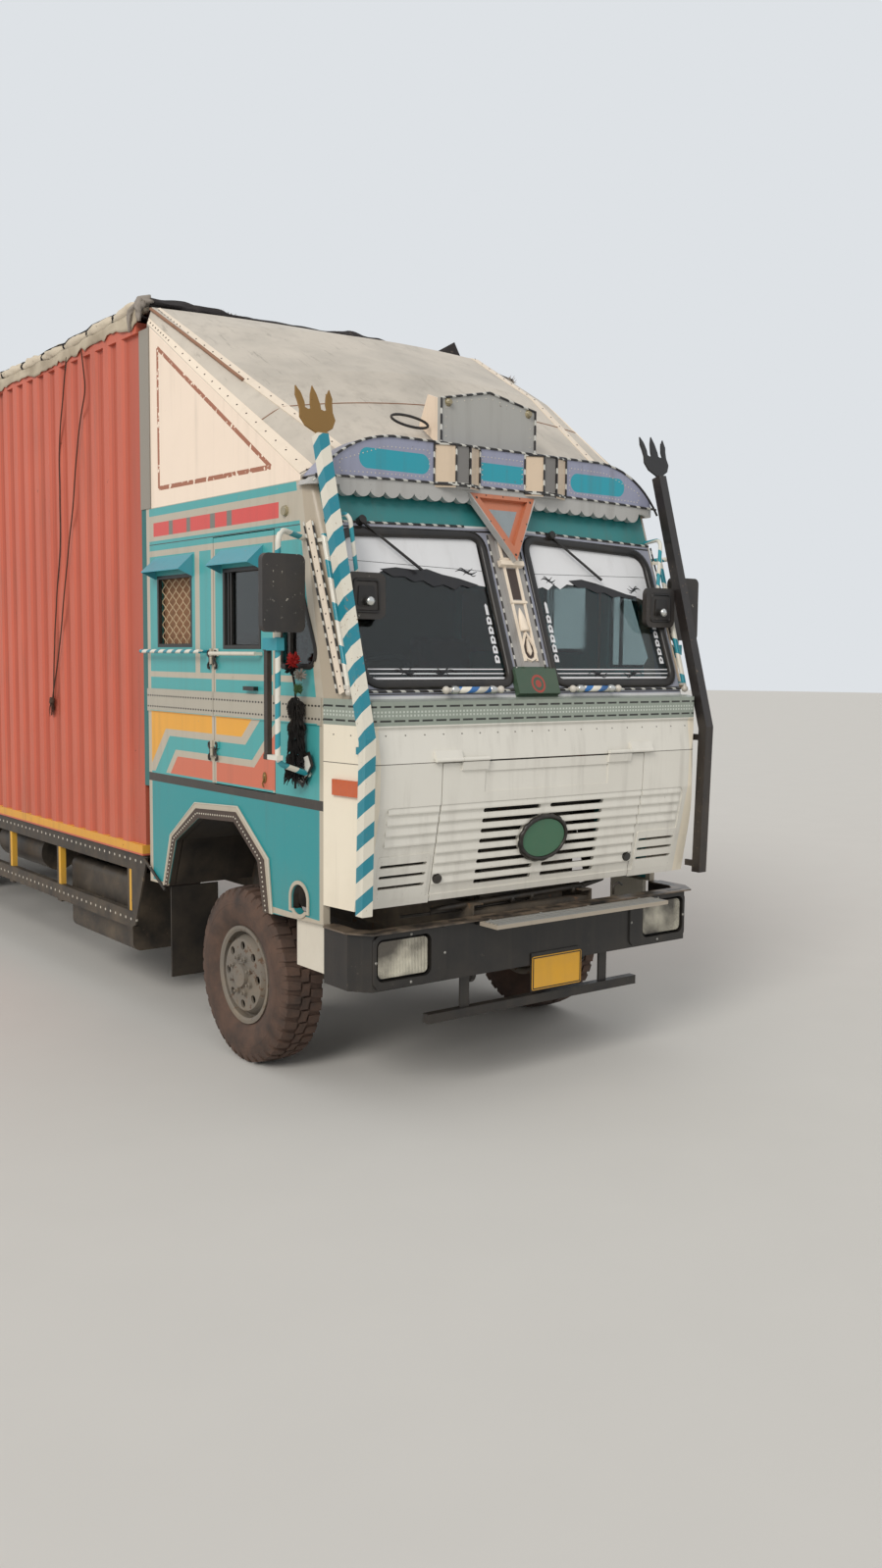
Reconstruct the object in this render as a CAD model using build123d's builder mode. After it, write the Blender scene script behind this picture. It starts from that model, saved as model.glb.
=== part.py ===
import os
from math import atan, cos, pi, radians, sin, sqrt, tan
from build123d import *

os.makedirs("parts", exist_ok=True)

# Overall layout: +X is the truck's left, +Y the rear, +Z up, in millimetres.
# Distances are measured backwards from the front panel, heights from the ground.
nose = -5966
front_axle = 1275
wheelbase = 6730
rear_axle = front_axle + wheelbase
wheel_height = 505
cab_half = 1200
cab_wall = 40
cab_back = 2360
cab_top = 3200
belt_height = 2107
floor_height = 1500

# Tyres and rims, size 10.00-20
tyre_radius = 505
tyre_half_width = 139
tread_half_width = 108
bead_radius = 258
bead_half_width = 96
front_track_half = 1031
dual_outer = 1048
dual_inner = 722
kingpin_place = 860

# Chassis rails
rail_outer = 430
rail_flange = 70
rail_web = 8
rail_bottom = 765
rail_top = 1020
rail_front = 80
rail_rear = 11960

# Container
box_front = 2430
box_back = 12030
box_half = 1195
box_floor = 1115
box_top = 4325
box_rib = 25
box_rib_pitch = 206
box_wall = 40
box_post = 190


def side_plane(x):
    """Upright plane along the truck: local x is the distance back, local y the height."""
    return Plane(origin=(x, nose, 0), x_dir=(0, 1, 0), z_dir=(1, 0, 0))


def front_plane(distance):
    """Upright plane across the truck: local x is the truck's X, local y the height."""
    return Plane(origin=(0, nose + distance, 0), x_dir=(1, 0, 0), z_dir=(0, -1, 0))


def level_plane(height):
    """Level plane: local x is the truck's X, local y the distance back."""
    return Plane(origin=(0, nose, height))


def wheel_plane(x, distance, sign):
    """Plane through a wheel's axis: local x points away from the truck, local y up."""
    return Plane(origin=(x, nose + distance, wheel_height), x_dir=(sign, 0, 0), z_dir=(0, -sign, 0))


def wheel_axis(distance):
    return Axis((0, nose + distance, wheel_height), (1, 0, 0))


def rectangle_between(low_x, low_y, high_x, high_y, mode=Mode.ADD):
    """Rectangle given by two corners, in the sketch that is open."""
    with Locations(((low_x + high_x) / 2, (low_y + high_y) / 2)):
        Rectangle(high_x - low_x, high_y - low_y, mode=mode)


# Chassis: two channel rails with their flanges turned inwards, joined by cross-members
crossmember_places = (135, 2230, 3300, 4650, 6000, 7250, 8760, 10300, 11880)
crossmember_height = 170
crossmember_width = 60
# spring hangers: distance back, drop below the rail
hangers = ((505, 93), (2045, 93), (7205, 50), (8805, 50))
hanger_width = 90
hanger_length = 70

with BuildPart() as chassis_frame:
    with BuildSketch(front_plane(rail_front)):
        with BuildLine():
            Polyline(
                (rail_outer, rail_bottom),
                (rail_outer, rail_top),
                (rail_outer - rail_flange, rail_top),
                (rail_outer - rail_flange, rail_top - rail_web),
                (rail_outer - rail_web, rail_top - rail_web),
                (rail_outer - rail_web, rail_bottom + rail_web),
                (rail_outer - rail_flange, rail_bottom + rail_web),
                (rail_outer - rail_flange, rail_bottom),
                close=True,
            )
        make_face()
    extrude(amount=-(rail_rear - rail_front))
    for distance, drop in hangers:
        with Locations((rail_outer - rail_web, nose + distance, rail_bottom - drop / 2)):
            Box(hanger_width, hanger_length, drop)
    mirror(about=Plane.YZ)
    for distance in crossmember_places:
        with BuildSketch(side_plane(0)):
            with Locations((distance, (rail_bottom + rail_top) / 2)):
                Rectangle(crossmember_width, crossmember_height)
                Rectangle(crossmember_width - 2 * rail_web, crossmember_height - 2 * rail_web,
                          mode=Mode.SUBTRACT)
        extrude(amount=rail_outer - rail_web / 2, both=True)
chassis_frame.part.label = "chassis_frame"
export_step(chassis_frame.part, "parts/chassis_frame.step")


# Engine with its gearbox, one plain block between the rails
engine_front = 420
engine_length = 1250
engine_half = 320
engine_bottom = 620
engine_top = 1420

with BuildPart() as engine:
    with BuildSketch(side_plane(0)):
        with BuildLine():
            Polyline(
                (engine_front, engine_bottom + 120),
                (engine_front + 250, engine_bottom),
                (engine_front + engine_length, engine_bottom),
                (engine_front + engine_length, engine_top - 260),
                (engine_front + engine_length - 200, engine_top),
                (engine_front, engine_top),
                close=True,
            )
        make_face()
    extrude(amount=engine_half, both=True)
    with Locations((0, nose + engine_front + engine_length + 230, 860)):
        Box(330, 480, 330)
engine.part.label = "engine"
export_step(engine.part, "parts/engine.step")


# Radiator behind the grille: a core between a top and a bottom tank
with BuildPart() as radiator:
    with Locations((0, nose + 210, 1110)):
        Box(600, 50, 560)
    with Locations((0, nose + 210, 1420), (0, nose + 210, 800)):
        Box(640, 90, 70)
radiator.part.label = "radiator"
export_step(radiator.part, "parts/radiator.step")


# Leaf springs: packs of leaves that shorten downwards, curved up to their eyes
leaf_width = 70
leaf_thickness = 14
# centre, half length, eye height, height of the top leaf at the axle, leaves
spring_packs = (
    (front_axle, 770, 672, 620, 6),
    (rear_axle, 800, 715, 690, 7),
)
seat_half = 60
eye_size = 22

with BuildPart() as leaf_springs:
    for centre, half_length, eye_height, seat_height, leaves in spring_packs:
        rise = eye_height - seat_height
        with BuildSketch(side_plane(rail_outer - rail_web - leaf_width / 2)):
            for leaf in range(leaves):
                reach = half_length * (1 - leaf / (leaves + 1))
                lift = rise * (reach / half_length) ** 2
                top = seat_height - leaf * leaf_thickness
                with BuildLine():
                    upper = ThreePointArc((centre - reach, top + lift), (centre, top),
                                          (centre + reach, top + lift))
                    lower = ThreePointArc((centre - reach, top + lift - leaf_thickness),
                                          (centre, top - leaf_thickness),
                                          (centre + reach, top + lift - leaf_thickness))
                    Line(upper @ 0, lower @ 0)
                    Line(upper @ 1, lower @ 1)
                make_face()
            with Locations((centre, seat_height - leaves * leaf_thickness / 2)):
                Rectangle(2 * seat_half, leaves * leaf_thickness + 24)
            with Locations((centre - half_length, eye_height - eye_size),
                           (centre + half_length, eye_height - eye_size)):
                Circle(eye_size)
        extrude(amount=leaf_width)
    mirror(about=Plane.YZ)
leaf_springs.part.label = "leaf_springs"
export_step(leaf_springs.part, "parts/leaf_springs.step")


# Front axle: a dropped forged beam with an eye and a kingpin at each end
beam_depth = 90
beam_half_width = 45
eye_radius = 48
pin_radius = 22
fork_gap = 2
fork_thickness = 45
spring_seat = 515

with BuildPart() as front_axle_beam:
    with BuildSketch(front_plane(front_axle)):
        with BuildLine():
            Polyline(
                (-kingpin_place, wheel_height + beam_depth / 2),
                (-620, spring_seat),
                (620, spring_seat),
                (kingpin_place, wheel_height + beam_depth / 2),
                (kingpin_place, wheel_height - beam_depth / 2),
                (770, wheel_height - beam_depth / 2),
                (600, spring_seat - 110),
                (-600, spring_seat - 110),
                (-770, wheel_height - beam_depth / 2),
                (-kingpin_place, wheel_height - beam_depth / 2),
                close=True,
            )
        make_face()
    extrude(amount=beam_half_width, both=True)
    with Locations((kingpin_place, nose + front_axle, wheel_height),
                   (-kingpin_place, nose + front_axle, wheel_height)):
        Cylinder(eye_radius, beam_depth + 10)
        Cylinder(pin_radius, beam_depth + 2 * fork_thickness + 20)
    with Locations((rail_outer - rail_web - leaf_width / 2, nose + front_axle, spring_seat + 4),
                   (-rail_outer + rail_web + leaf_width / 2, nose + front_axle, spring_seat + 4)):
        Box(leaf_width + 20, 2 * seat_half, 10)
front_axle_beam.part.label = "front_axle"
export_step(front_axle_beam.part, "parts/front_axle.step")


# Steering knuckles: a fork round the axle's eye, the stub axle and an arm to the tie rod
fork_inner = beam_depth / 2 + 5 + fork_gap
stub_radius = 36
stub_end = 1120
arm_length = 190
arm_height = wheel_height - fork_inner - fork_thickness / 2
ball_radius = 16

for side, sign in (("right", -1), ("left", 1)):
    with BuildPart() as knuckle:
        with Locations(
            (sign * kingpin_place, nose + front_axle, wheel_height + fork_inner + fork_thickness / 2),
            (sign * kingpin_place, nose + front_axle, wheel_height - fork_inner - fork_thickness / 2),
        ):
            Cylinder(eye_radius, fork_thickness)
        with Locations((sign * (kingpin_place + 62), nose + front_axle, wheel_height)):
            Box(24, 2 * eye_radius, 2 * (fork_inner + fork_thickness))
        with Locations(
            (sign * (kingpin_place + 30), nose + front_axle, wheel_height + fork_inner + fork_thickness / 2),
            (sign * (kingpin_place + 30), nose + front_axle, wheel_height - fork_inner - fork_thickness / 2),
        ):
            Box(60, 1.4 * eye_radius, fork_thickness)
        with BuildSketch(Plane(origin=(sign * (kingpin_place + 60), nose + front_axle, wheel_height),
                               x_dir=(0, 1, 0), z_dir=(sign, 0, 0))):
            Circle(stub_radius)
        extrude(amount=stub_end - kingpin_place - 60)
        with Locations((sign * kingpin_place, nose + front_axle + arm_length / 2, arm_height)):
            Box(44, arm_length, 30)
        with Locations((sign * kingpin_place, nose + front_axle + arm_length, arm_height)):
            Cylinder(26, 30)
        with Locations((sign * kingpin_place, nose + front_axle, wheel_height)):
            Cylinder(pin_radius + 0.3, 400, mode=Mode.SUBTRACT)
    knuckle.part.label = f"knuckle_{side}"
    export_step(knuckle.part, f"parts/knuckle_{side}.step")


# Tie rod between the two knuckle arms, with a ball end over each arm
rod_radius = 19
rod_drop = 62

with BuildPart() as tie_rod:
    with BuildSketch(side_plane(0)):
        with Locations((front_axle + arm_length, arm_height - rod_drop)):
            Circle(rod_radius)
    extrude(amount=kingpin_place - 20, both=True)
    with Locations((kingpin_place, nose + front_axle + arm_length, arm_height - rod_drop),
                   (-kingpin_place, nose + front_axle + arm_length, arm_height - rod_drop)):
        Cylinder(28, 44)
tie_rod.part.label = "tie_rod"
export_step(tie_rod.part, "parts/tie_rod.step")


# Rear axle: a banjo housing with tapering tubes out to the hubs
banjo_radius = 210
tube_radius = 68
axle_end = 960

with BuildPart() as rear_axle_housing:
    with BuildSketch(side_plane(0)):
        with Locations((rear_axle, wheel_height)):
            Circle(tube_radius)
    extrude(amount=axle_end, both=True)
    with BuildSketch(front_plane(rear_axle)):
        with Locations((0, wheel_height)):
            Circle(banjo_radius)
    extrude(amount=95, both=True, taper=8)
    with BuildSketch(front_plane(rear_axle - 80)):
        with Locations((0, wheel_height + 20)):
            Circle(115)
    extrude(amount=200, taper=12)
    with Locations((rail_outer - rail_web - leaf_width / 2, nose + rear_axle, wheel_height + 37.5),
                   (-rail_outer + rail_web + leaf_width / 2, nose + rear_axle, wheel_height + 37.5)):
        Box(leaf_width + 20, 2 * seat_half, 75)
rear_axle_housing.part.label = "rear_axle"
export_step(rear_axle_housing.part, "parts/rear_axle.step")


# Propeller shaft in two halves with a hanging centre bearing
shaft_radius = 50
shaft_height = 742
bearing_place = 4650
shaft_end = (7720, wheel_height + 20)

with BuildPart() as propshaft:
    with BuildSketch(front_plane(2140)):
        with Locations((0, shaft_height)):
            Circle(shaft_radius)
    extrude(amount=-(bearing_place - 2140))
    with Locations((0, nose + bearing_place, shaft_height)):
        Box(190, 60, 130)
    with BuildSketch(Plane(origin=(0, nose + bearing_place, shaft_height),
                           z_dir=(0, shaft_end[0] - bearing_place, shaft_end[1] - shaft_height))):
        Circle(shaft_radius)
    extrude(amount=shaft_end[0] - bearing_place)
propshaft.part.label = "propshaft"
export_step(propshaft.part, "parts/propshaft.step")


# Tyres: one revolved section of tread, shoulders, bulged walls and beads
with BuildSketch() as tyre_section:
    with BuildLine():
        crown = ThreePointArc((-tread_half_width, tyre_radius - 9), (0, tyre_radius),
                              (tread_half_width, tyre_radius - 9))
        outer = ThreePointArc(crown @ 1, (tyre_half_width, 392), (bead_half_width + 5, 284))
        Polyline(outer @ 1, (bead_half_width, bead_radius), (-bead_half_width, bead_radius),
                 (-bead_half_width - 5, 284))
        ThreePointArc((-bead_half_width - 5, 284), (-tyre_half_width, 392), crown @ 0)
    make_face()


# Rims: barrel with flanges, and a dished disc with hand holes
rim_flange = 280
rim_half_width = 112
disc_thickness = 14
hand_hole_circle = 168
hand_hole_radius = 24
hand_holes = 8


with BuildSketch() as barrel_section:
    with BuildLine():
        Polyline(
            (-rim_half_width, rim_flange), (-rim_half_width + 10, rim_flange),
            (-bead_half_width, bead_radius), (-60, bead_radius), (-40, bead_radius - 14),
            (40, bead_radius - 14), (60, bead_radius), (bead_half_width, bead_radius),
            (rim_half_width - 10, rim_flange), (rim_half_width, rim_flange),
            (rim_half_width, bead_radius + 4), (rim_half_width - 8, bead_radius - 10),
            (64, bead_radius - 10), (44, bead_radius - 24), (-44, bead_radius - 24),
            (-64, bead_radius - 10), (-rim_half_width + 8, bead_radius - 10),
            (-rim_half_width, bead_radius + 4),
            close=True,
        )
    make_face()


for side, sign in (("right", -1), ("left", 1)):
    with BuildPart() as front_tyre:
        with BuildSketch(wheel_plane(sign * front_track_half, front_axle, sign)):
            add(tyre_section.sketch)
        revolve(axis=wheel_axis(front_axle))
    front_tyre.part.label = f"front_tyre_{side}"
    export_step(front_tyre.part, f"parts/front_tyre_{side}.step")

    with BuildPart() as rear_tyres:
        for place in (dual_outer, dual_inner):
            with BuildSketch(wheel_plane(sign * place, rear_axle, sign)):
                add(tyre_section.sketch)
            revolve(axis=wheel_axis(rear_axle))
    rear_tyres.part.label = f"rear_tyres_{side}"
    export_step(rear_tyres.part, f"parts/rear_tyres_{side}.step")

    # Front rim: the disc bulges outwards, with the hub and the brake drum behind it
    with BuildPart() as front_rim:
        with BuildSketch(wheel_plane(sign * front_track_half, front_axle, sign)):
            add(barrel_section.sketch)
            with BuildLine():
                Polyline(
                    (30, bead_radius - 20), (48, bead_radius - 20), (112, 205), (118, 70),
                    (142, 66), (142, 0), (20, 0), (20, 70), (104, 70), (98, 196),
                    close=True,
                )
            make_face()
            with BuildLine():
                Polyline(
                    (-62, 205), (-2, 205), (-2, 80), (30, 80), (30, 0), (-70, 0), (-70, 52),
                    (-14, 52), (-14, 190), (-62, 190),
                    close=True,
                )
            make_face()
        revolve(axis=wheel_axis(front_axle))
        with BuildSketch(side_plane(sign * (front_track_half + 150))):
            with Locations((front_axle, wheel_height)):
                with PolarLocations(hand_hole_circle, hand_holes):
                    Circle(hand_hole_radius)
        extrude(amount=-sign * 90, mode=Mode.SUBTRACT)
        with BuildSketch(side_plane(sign * (kingpin_place + 60))):
            with Locations((front_axle, wheel_height)):
                Circle(stub_radius + 0.3)
        extrude(amount=sign * (stub_end - kingpin_place - 59), mode=Mode.SUBTRACT)
    front_rim.part.label = f"front_rim_{side}"
    export_step(front_rim.part, f"parts/front_rim_{side}.step")

    # Rear rims: two discs back to back on one hub, deeply dished from outside
    middle = (dual_outer + dual_inner) / 2
    half_gap = (dual_outer - dual_inner) / 2
    with BuildPart() as rear_rims:
        for place in (dual_outer, dual_inner):
            with BuildSketch(wheel_plane(sign * place, rear_axle, sign)):
                add(barrel_section.sketch)
            revolve(axis=wheel_axis(rear_axle))
        with BuildSketch(wheel_plane(sign * middle, rear_axle, sign)):
            with BuildLine():
                Polyline(
                    (half_gap - 50, bead_radius - 18), (half_gap - 30, bead_radius - 18),
                    (30, 190), (16, 130), (16, 118), (160, 100), (190, 60), (190, 0),
                    (84, 0), (84, 72), (-130, 72), (-130, 205), (-110, 205), (-110, 118),
                    (-16, 118), (-16, 130), (-30, 190),
                    (-half_gap + 30, bead_radius - 18), (-half_gap + 50, bead_radius - 18),
                    (0, 205),
                    close=True,
                )
            make_face()
        revolve(axis=wheel_axis(rear_axle))
        with BuildSketch(side_plane(sign * (middle - 60))):
            with Locations((rear_axle, wheel_height)):
                with PolarLocations(hand_hole_circle, hand_holes):
                    Circle(hand_hole_radius)
        extrude(amount=sign * 120, mode=Mode.SUBTRACT)
    rear_rims.part.label = f"rear_rims_{side}"
    export_step(rear_rims.part, f"parts/rear_rims_{side}.step")


# Spare wheel laid flat in a cradle under the load bed
spare_place = 9950
spare_height = 612

with BuildPart() as spare_wheel:
    spare_plane = Plane(origin=(0, nose + spare_place, spare_height), x_dir=(0, 0, 1), z_dir=(0, -1, 0))
    with BuildSketch(spare_plane):
        add(tyre_section.sketch)
    revolve(axis=Axis((0, nose + spare_place, 0), (0, 0, 1)))
    with BuildSketch(spare_plane):
        add(barrel_section.sketch)
        with BuildLine():
            Polyline((-10, 0), (-10, bead_radius - 12), (10, bead_radius - 12), (10, 0), close=True)
        make_face()
    revolve(axis=Axis((0, nose + spare_place, 0), (0, 0, 1)))
    for shift in (-350, 350):
        with Locations((0, nose + spare_place + shift, spare_height - tyre_half_width - 8)):
            Box(830, 30, 16)
        with Locations((395, nose + spare_place + shift, (spare_height - tyre_half_width + rail_bottom) / 2),
                       (-395, nose + spare_place + shift, (spare_height - tyre_half_width + rail_bottom) / 2)):
            Box(40, 30, rail_bottom - spare_height + tyre_half_width)
spare_wheel.part.label = "spare_wheel"
export_step(spare_wheel.part, "parts/spare_wheel.step")


# Fuel tank and air tank on the right, battery box on the left, with the brackets to the rail
with BuildPart() as side_tanks:
    with BuildSketch(front_plane(2860)):
        with Locations((-850, 600)):
            RectangleRounded(500, 520, 60)
    extrude(amount=-1040)
    with BuildSketch(front_plane(4500)):
        with Locations((-960, 800)):
            Circle(140)
    extrude(amount=-950)
    with BuildSketch(front_plane(2900)):
        with Locations((850, 640)):
            Rectangle(480, 420)
    extrude(amount=-620)
    with Locations((-515, nose + 3100, 785), (-515, nose + 3650, 785)):
        Box(170, 50, 40)
    with Locations((-632, nose + 4700, 800), (-632, nose + 5250, 800)):
        Box(404, 50, 40)
    with Locations((520, nose + 3000, 785), (520, nose + 3420, 785)):
        Box(180, 50, 40)
side_tanks.part.label = "side_tanks"
export_step(side_tanks.part, "parts/side_tanks.step")


# Side guards: two channel rails each side, hung from posts below the load box
guard_front = 2640
guard_rear = 7180
guard_outer = 1200
guard_depth = 45
# bottom and top height of each rail
guard_rails = ((550, 660), (935, 1048))
guard_posts = (2690, 3910, 4910, 5910, 6910)
guard_post_width = 70

with BuildPart() as side_guards:
    for low, high in guard_rails:
        with BuildSketch(front_plane(guard_front)):
            with BuildLine():
                Polyline(
                    (guard_outer, low), (guard_outer, high), (guard_outer - guard_depth, high),
                    (guard_outer - guard_depth, high - 6), (guard_outer - 6, high - 6),
                    (guard_outer - 6, low + 6), (guard_outer - guard_depth, low + 6),
                    (guard_outer - guard_depth, low), close=True,
                )
            make_face()
        extrude(amount=-(guard_rear - guard_front))
    for distance in guard_posts:
        with BuildSketch(side_plane(guard_outer - guard_depth)):
            with Locations((distance, 790)):
                Rectangle(guard_post_width, 516)
        extrude(amount=guard_depth - 6)
    # three-cornered end plate and the stay rod that runs from it to the mud flap
    with BuildSketch(side_plane(guard_outer - 12)):
        with BuildLine():
            Polyline((guard_front + 8, 555), (guard_front + 8, 1042), (2412, 1042), (2598, 578), close=True)
        make_face()
    extrude(amount=12)
    with BuildSketch(Plane(origin=(guard_outer + 9.5, nose + 2135, 874), z_dir=(0, 295, 156))):
        Circle(9)
    extrude(amount=334)
    mirror(about=Plane.YZ)
side_guards.part.label = "side_guards"
export_step(side_guards.part, "parts/side_guards.step")


# Mud flaps behind the front wheels and arched guards with flaps over the rear wheels
flap_thickness = 12
guard_radius = 560
guard_span = 50

with BuildPart() as wheel_guards:
    with BuildSketch(front_plane(2110)):
        with Locations((1020, 612)):
            Rectangle(320, 566)
    extrude(amount=-flap_thickness)
    for start in (14, 116):
        with BuildSketch(side_plane(560)):
            with BuildLine():
                inner = CenterArc((rear_axle, wheel_height), guard_radius, start, guard_span)
                outer = CenterArc((rear_axle, wheel_height), guard_radius + 8, start, guard_span)
                Line(inner @ 0, outer @ 0)
                Line(inner @ 1, outer @ 1)
            make_face()
        extrude(amount=630)
    with BuildSketch(front_plane(rear_axle + 640)):
        with Locations((875, 600)):
            Rectangle(620, 560)
    extrude(amount=-flap_thickness)
    mirror(about=Plane.YZ)
wheel_guards.part.label = "wheel_guards"
export_step(wheel_guards.part, "parts/wheel_guards.step")


# Rear underrun beam on two drop arms, with the towing jaw on the last cross-member
tow_bore = 20
jaw_back = 11910
jaw_plates = (855, 925)
jaw_plate = 20

with BuildPart() as rear_bumper:
    with Locations((0, nose + 11990, 560)):
        Box(2200, 70, 120)
    with Locations((390, nose + 11981, 810), (-390, nose + 11981, 810)):
        Box(70, 42, 400)
    with Locations((0, nose + jaw_back + 10, (jaw_plates[0] + jaw_plates[1]) / 2)):
        Box(160, 20, jaw_plates[1] - jaw_plates[0] + jaw_plate)
    for height in jaw_plates:
        with BuildSketch(level_plane(height - jaw_plate / 2)):
            rectangle_between(-55, jaw_back, 55, jaw_back + 100)
            with Locations((0, jaw_back + 100)):
                Circle(55)
                Circle(tow_bore, mode=Mode.SUBTRACT)
        extrude(amount=jaw_plate)
rear_bumper.part.label = "rear_bumper"
export_step(rear_bumper.part, "parts/rear_bumper.step")


# Front bumper: a deep channel with chamfered corners and side returns under a shelf, the lamps'
# bezels and pockets, the step plate, the plate board, the bar below and two towing eyes
bumper_low = 660
bumper_high = 960
bumper_face = 10
bumper_return = 325
bumper_sheet = 60
shelf_reach = -25
shelf_sheet = 8
lamp_place = 930
lamp_half_width = 153
lamp_low = 722
lamp_high = 908
bezel_place = 888
bezel_half_width = 230
bezel_low = 668
bezel_high = 948
bezel_proud = 10
tow_eye_x = 395
tow_eye_back = 165
tow_eye_height = 640
step_left_end = -470
step_right_end = 790
step_reach = -170
step_height = 940

with BuildPart() as front_bumper:
    with BuildSketch(level_plane(bumper_low)):
        with BuildLine():
            Polyline(
                (-cab_half, bumper_return), (-cab_half, 110), (-1120, bumper_face),
                (1120, bumper_face), (cab_half, 110), (cab_half, bumper_return),
                (cab_half - bumper_sheet, bumper_return), (cab_half - bumper_sheet, 130),
                (1095, bumper_face + bumper_sheet), (-1095, bumper_face + bumper_sheet),
                (-cab_half + bumper_sheet, 130), (-cab_half + bumper_sheet, bumper_return),
                close=True,
            )
        make_face()
    extrude(amount=bumper_high - bumper_low)
    with BuildSketch(level_plane(bumper_high - shelf_sheet)):
        with BuildLine():
            Polyline(
                (-cab_half - 22, 300), (-cab_half - 22, 95), (-1140, shelf_reach),
                (1140, shelf_reach), (cab_half + 22, 95), (cab_half + 22, 300),
                (1130, 300), (1130, 140), (1080, 75), (-1080, 75), (-1130, 140), (-1130, 300),
                close=True,
            )
        make_face()
    extrude(amount=shelf_sheet)
    for sign in (-1, 1):
        with BuildSketch(front_plane(bumper_face)):
            with Locations((sign * bezel_place, (bezel_low + bezel_high) / 2)):
                RectangleRounded(2 * bezel_half_width, bezel_high - bezel_low, 45)
        extrude(amount=bezel_proud, taper=20)
        with BuildSketch(front_plane(bumper_face - bezel_proud)):
            with Locations((sign * lamp_place, (lamp_low + lamp_high) / 2)):
                RectangleRounded(2 * lamp_half_width + 30, lamp_high - lamp_low + 30, 40)
        extrude(amount=-50, mode=Mode.SUBTRACT)
        with BuildSketch(side_plane(sign * tow_eye_x - 12.5)):
            rectangle_between(tow_eye_back - 60, tow_eye_height, tow_eye_back + 60, rail_bottom)
            with Locations((tow_eye_back, tow_eye_height)):
                Circle(60)
                Circle(tow_bore, mode=Mode.SUBTRACT)
        extrude(amount=25)
    with Locations(((step_left_end + step_right_end) / 2, nose + (step_reach + 60) / 2, step_height)):
        Box(step_right_end - step_left_end, 60 - step_reach, 20)
    with Locations((90, nose + bumper_face - 4, 620)):
        Box(350, 8, 210)
    with Locations((0, nose + 60, 460)):
        Box(1500, 50, 50)
    with Locations((-500, nose + 60, 560), (500, nose + 60, 560)):
        Box(60, 12, 220)
front_bumper.part.label = "front_bumper"
export_step(front_bumper.part, "parts/front_bumper.step")


# Lamps: head lamps in the bumper, indicators on the cab's corners, a marker high on each side,
# two domes on the attic board and a pair of tail lamps on the underrun beam
attic_front = 520
dome_place = (285, 3688)
marker_place = (695, 3057)

with BuildPart() as lamps:
    for sign in (-1, 1):
        with BuildSketch(front_plane(bumper_face + 40)):
            with Locations((sign * lamp_place, (lamp_low + lamp_high) / 2)):
                RectangleRounded(2 * lamp_half_width, lamp_high - lamp_low, 28)
        extrude(amount=38)
        with BuildSketch(level_plane(1630)):
            with BuildLine():
                Polyline((sign * 1169, 50), (sign * 1191.3, 250), (sign * 1206, 244), (sign * 1186, 44),
                         close=True)
            make_face()
        extrude(amount=80)
        with BuildSketch(front_plane(attic_front)):
            with Locations((sign * dome_place[0], dome_place[1])):
                Circle(24)
        extrude(amount=20, taper=30)
        with BuildSketch(side_plane(sign * cab_half)):
            with Locations(marker_place):
                Circle(30)
        extrude(amount=sign * 16, taper=20)
    with Locations((900, nose + 12045, 560), (-900, nose + 12045, 560)):
        Box(260, 40, 100)
lamps.part.label = "lamps"
export_step(lamps.part, "parts/lamps.step")


# Cab floor with the engine cover and the posts that carry the cab on the rails
with BuildPart() as cab_floor:
    with BuildSketch(level_plane(floor_height)):
        with BuildLine():
            Polyline((-1155, 320), (-1060, 140), (1060, 140), (1155, 320), (1155, 2315), (-1155, 2315),
                     close=True)
        make_face()
    extrude(amount=40)
    with Locations((0, nose + 1100, floor_height + 140)):
        Box(760, 1300, 220)
    with Locations((395, nose + 300, 1260), (-395, nose + 300, 1260),
                   (395, nose + 2230, 1260), (-395, nose + 2230, 1260)):
        Box(70, 110, 480)
cab_floor.part.label = "cab_floor"
export_step(cab_floor.part, "parts/cab_floor.step")


# Door and window openings in the cab side, in the side plane
door_front = 806
door_rear = 1494
door_low = 1582
door_high = 2975
door_gap = 6
door_window = (954, 2350, 1378, 2794)
mesh_window = (1758, 2360, 2218, 2787)
quarter_window = ((749, 2261), (749, 2800), (600, 2800), (392, 2321), (438, 2261))
arch_points = ((2104, 904), (1989, 1198), (1690, 1366), (1249, 1389), (986, 1202), (924, 930))
arch_trim = ((2158, 903), (2055, 1227), (1726, 1455), (1214, 1481), (869, 1227), (829, 934))
hood_reach = 95
# profile of a drip hood outside the wall, and of the cheek that closes each of its ends
hood_profile = ((-5, 2905), (hood_reach, 2812), (hood_reach, 2806), (-5, 2893))
cheek_profile = ((-5, 2905), (hood_reach, 2812), (hood_reach, 2806), (-5, 2765))
cheek_sheet = 5
# small arched lamp recess ahead of the wheel arch: front, low, rear, spring height
lamp_arch = (479, 1000, 636, 1055)
hinge_offset = 15
hinge_heights = (1790, 2310)


def drip_hood(sign, front, rear):
    """Folded hood over a side window from front to rear, with its two end cheeks."""
    for profile, start, length in ((hood_profile, front, rear - front), (cheek_profile, front, cheek_sheet),
                                   (cheek_profile, rear - cheek_sheet, cheek_sheet)):
        with BuildSketch(front_plane(start)) as section:
            with BuildLine():
                Polyline(*((sign * (cab_half + out), height) for out, height in profile), close=True)
            make_face()
        extrude(section.sketch, amount=-length)


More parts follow.
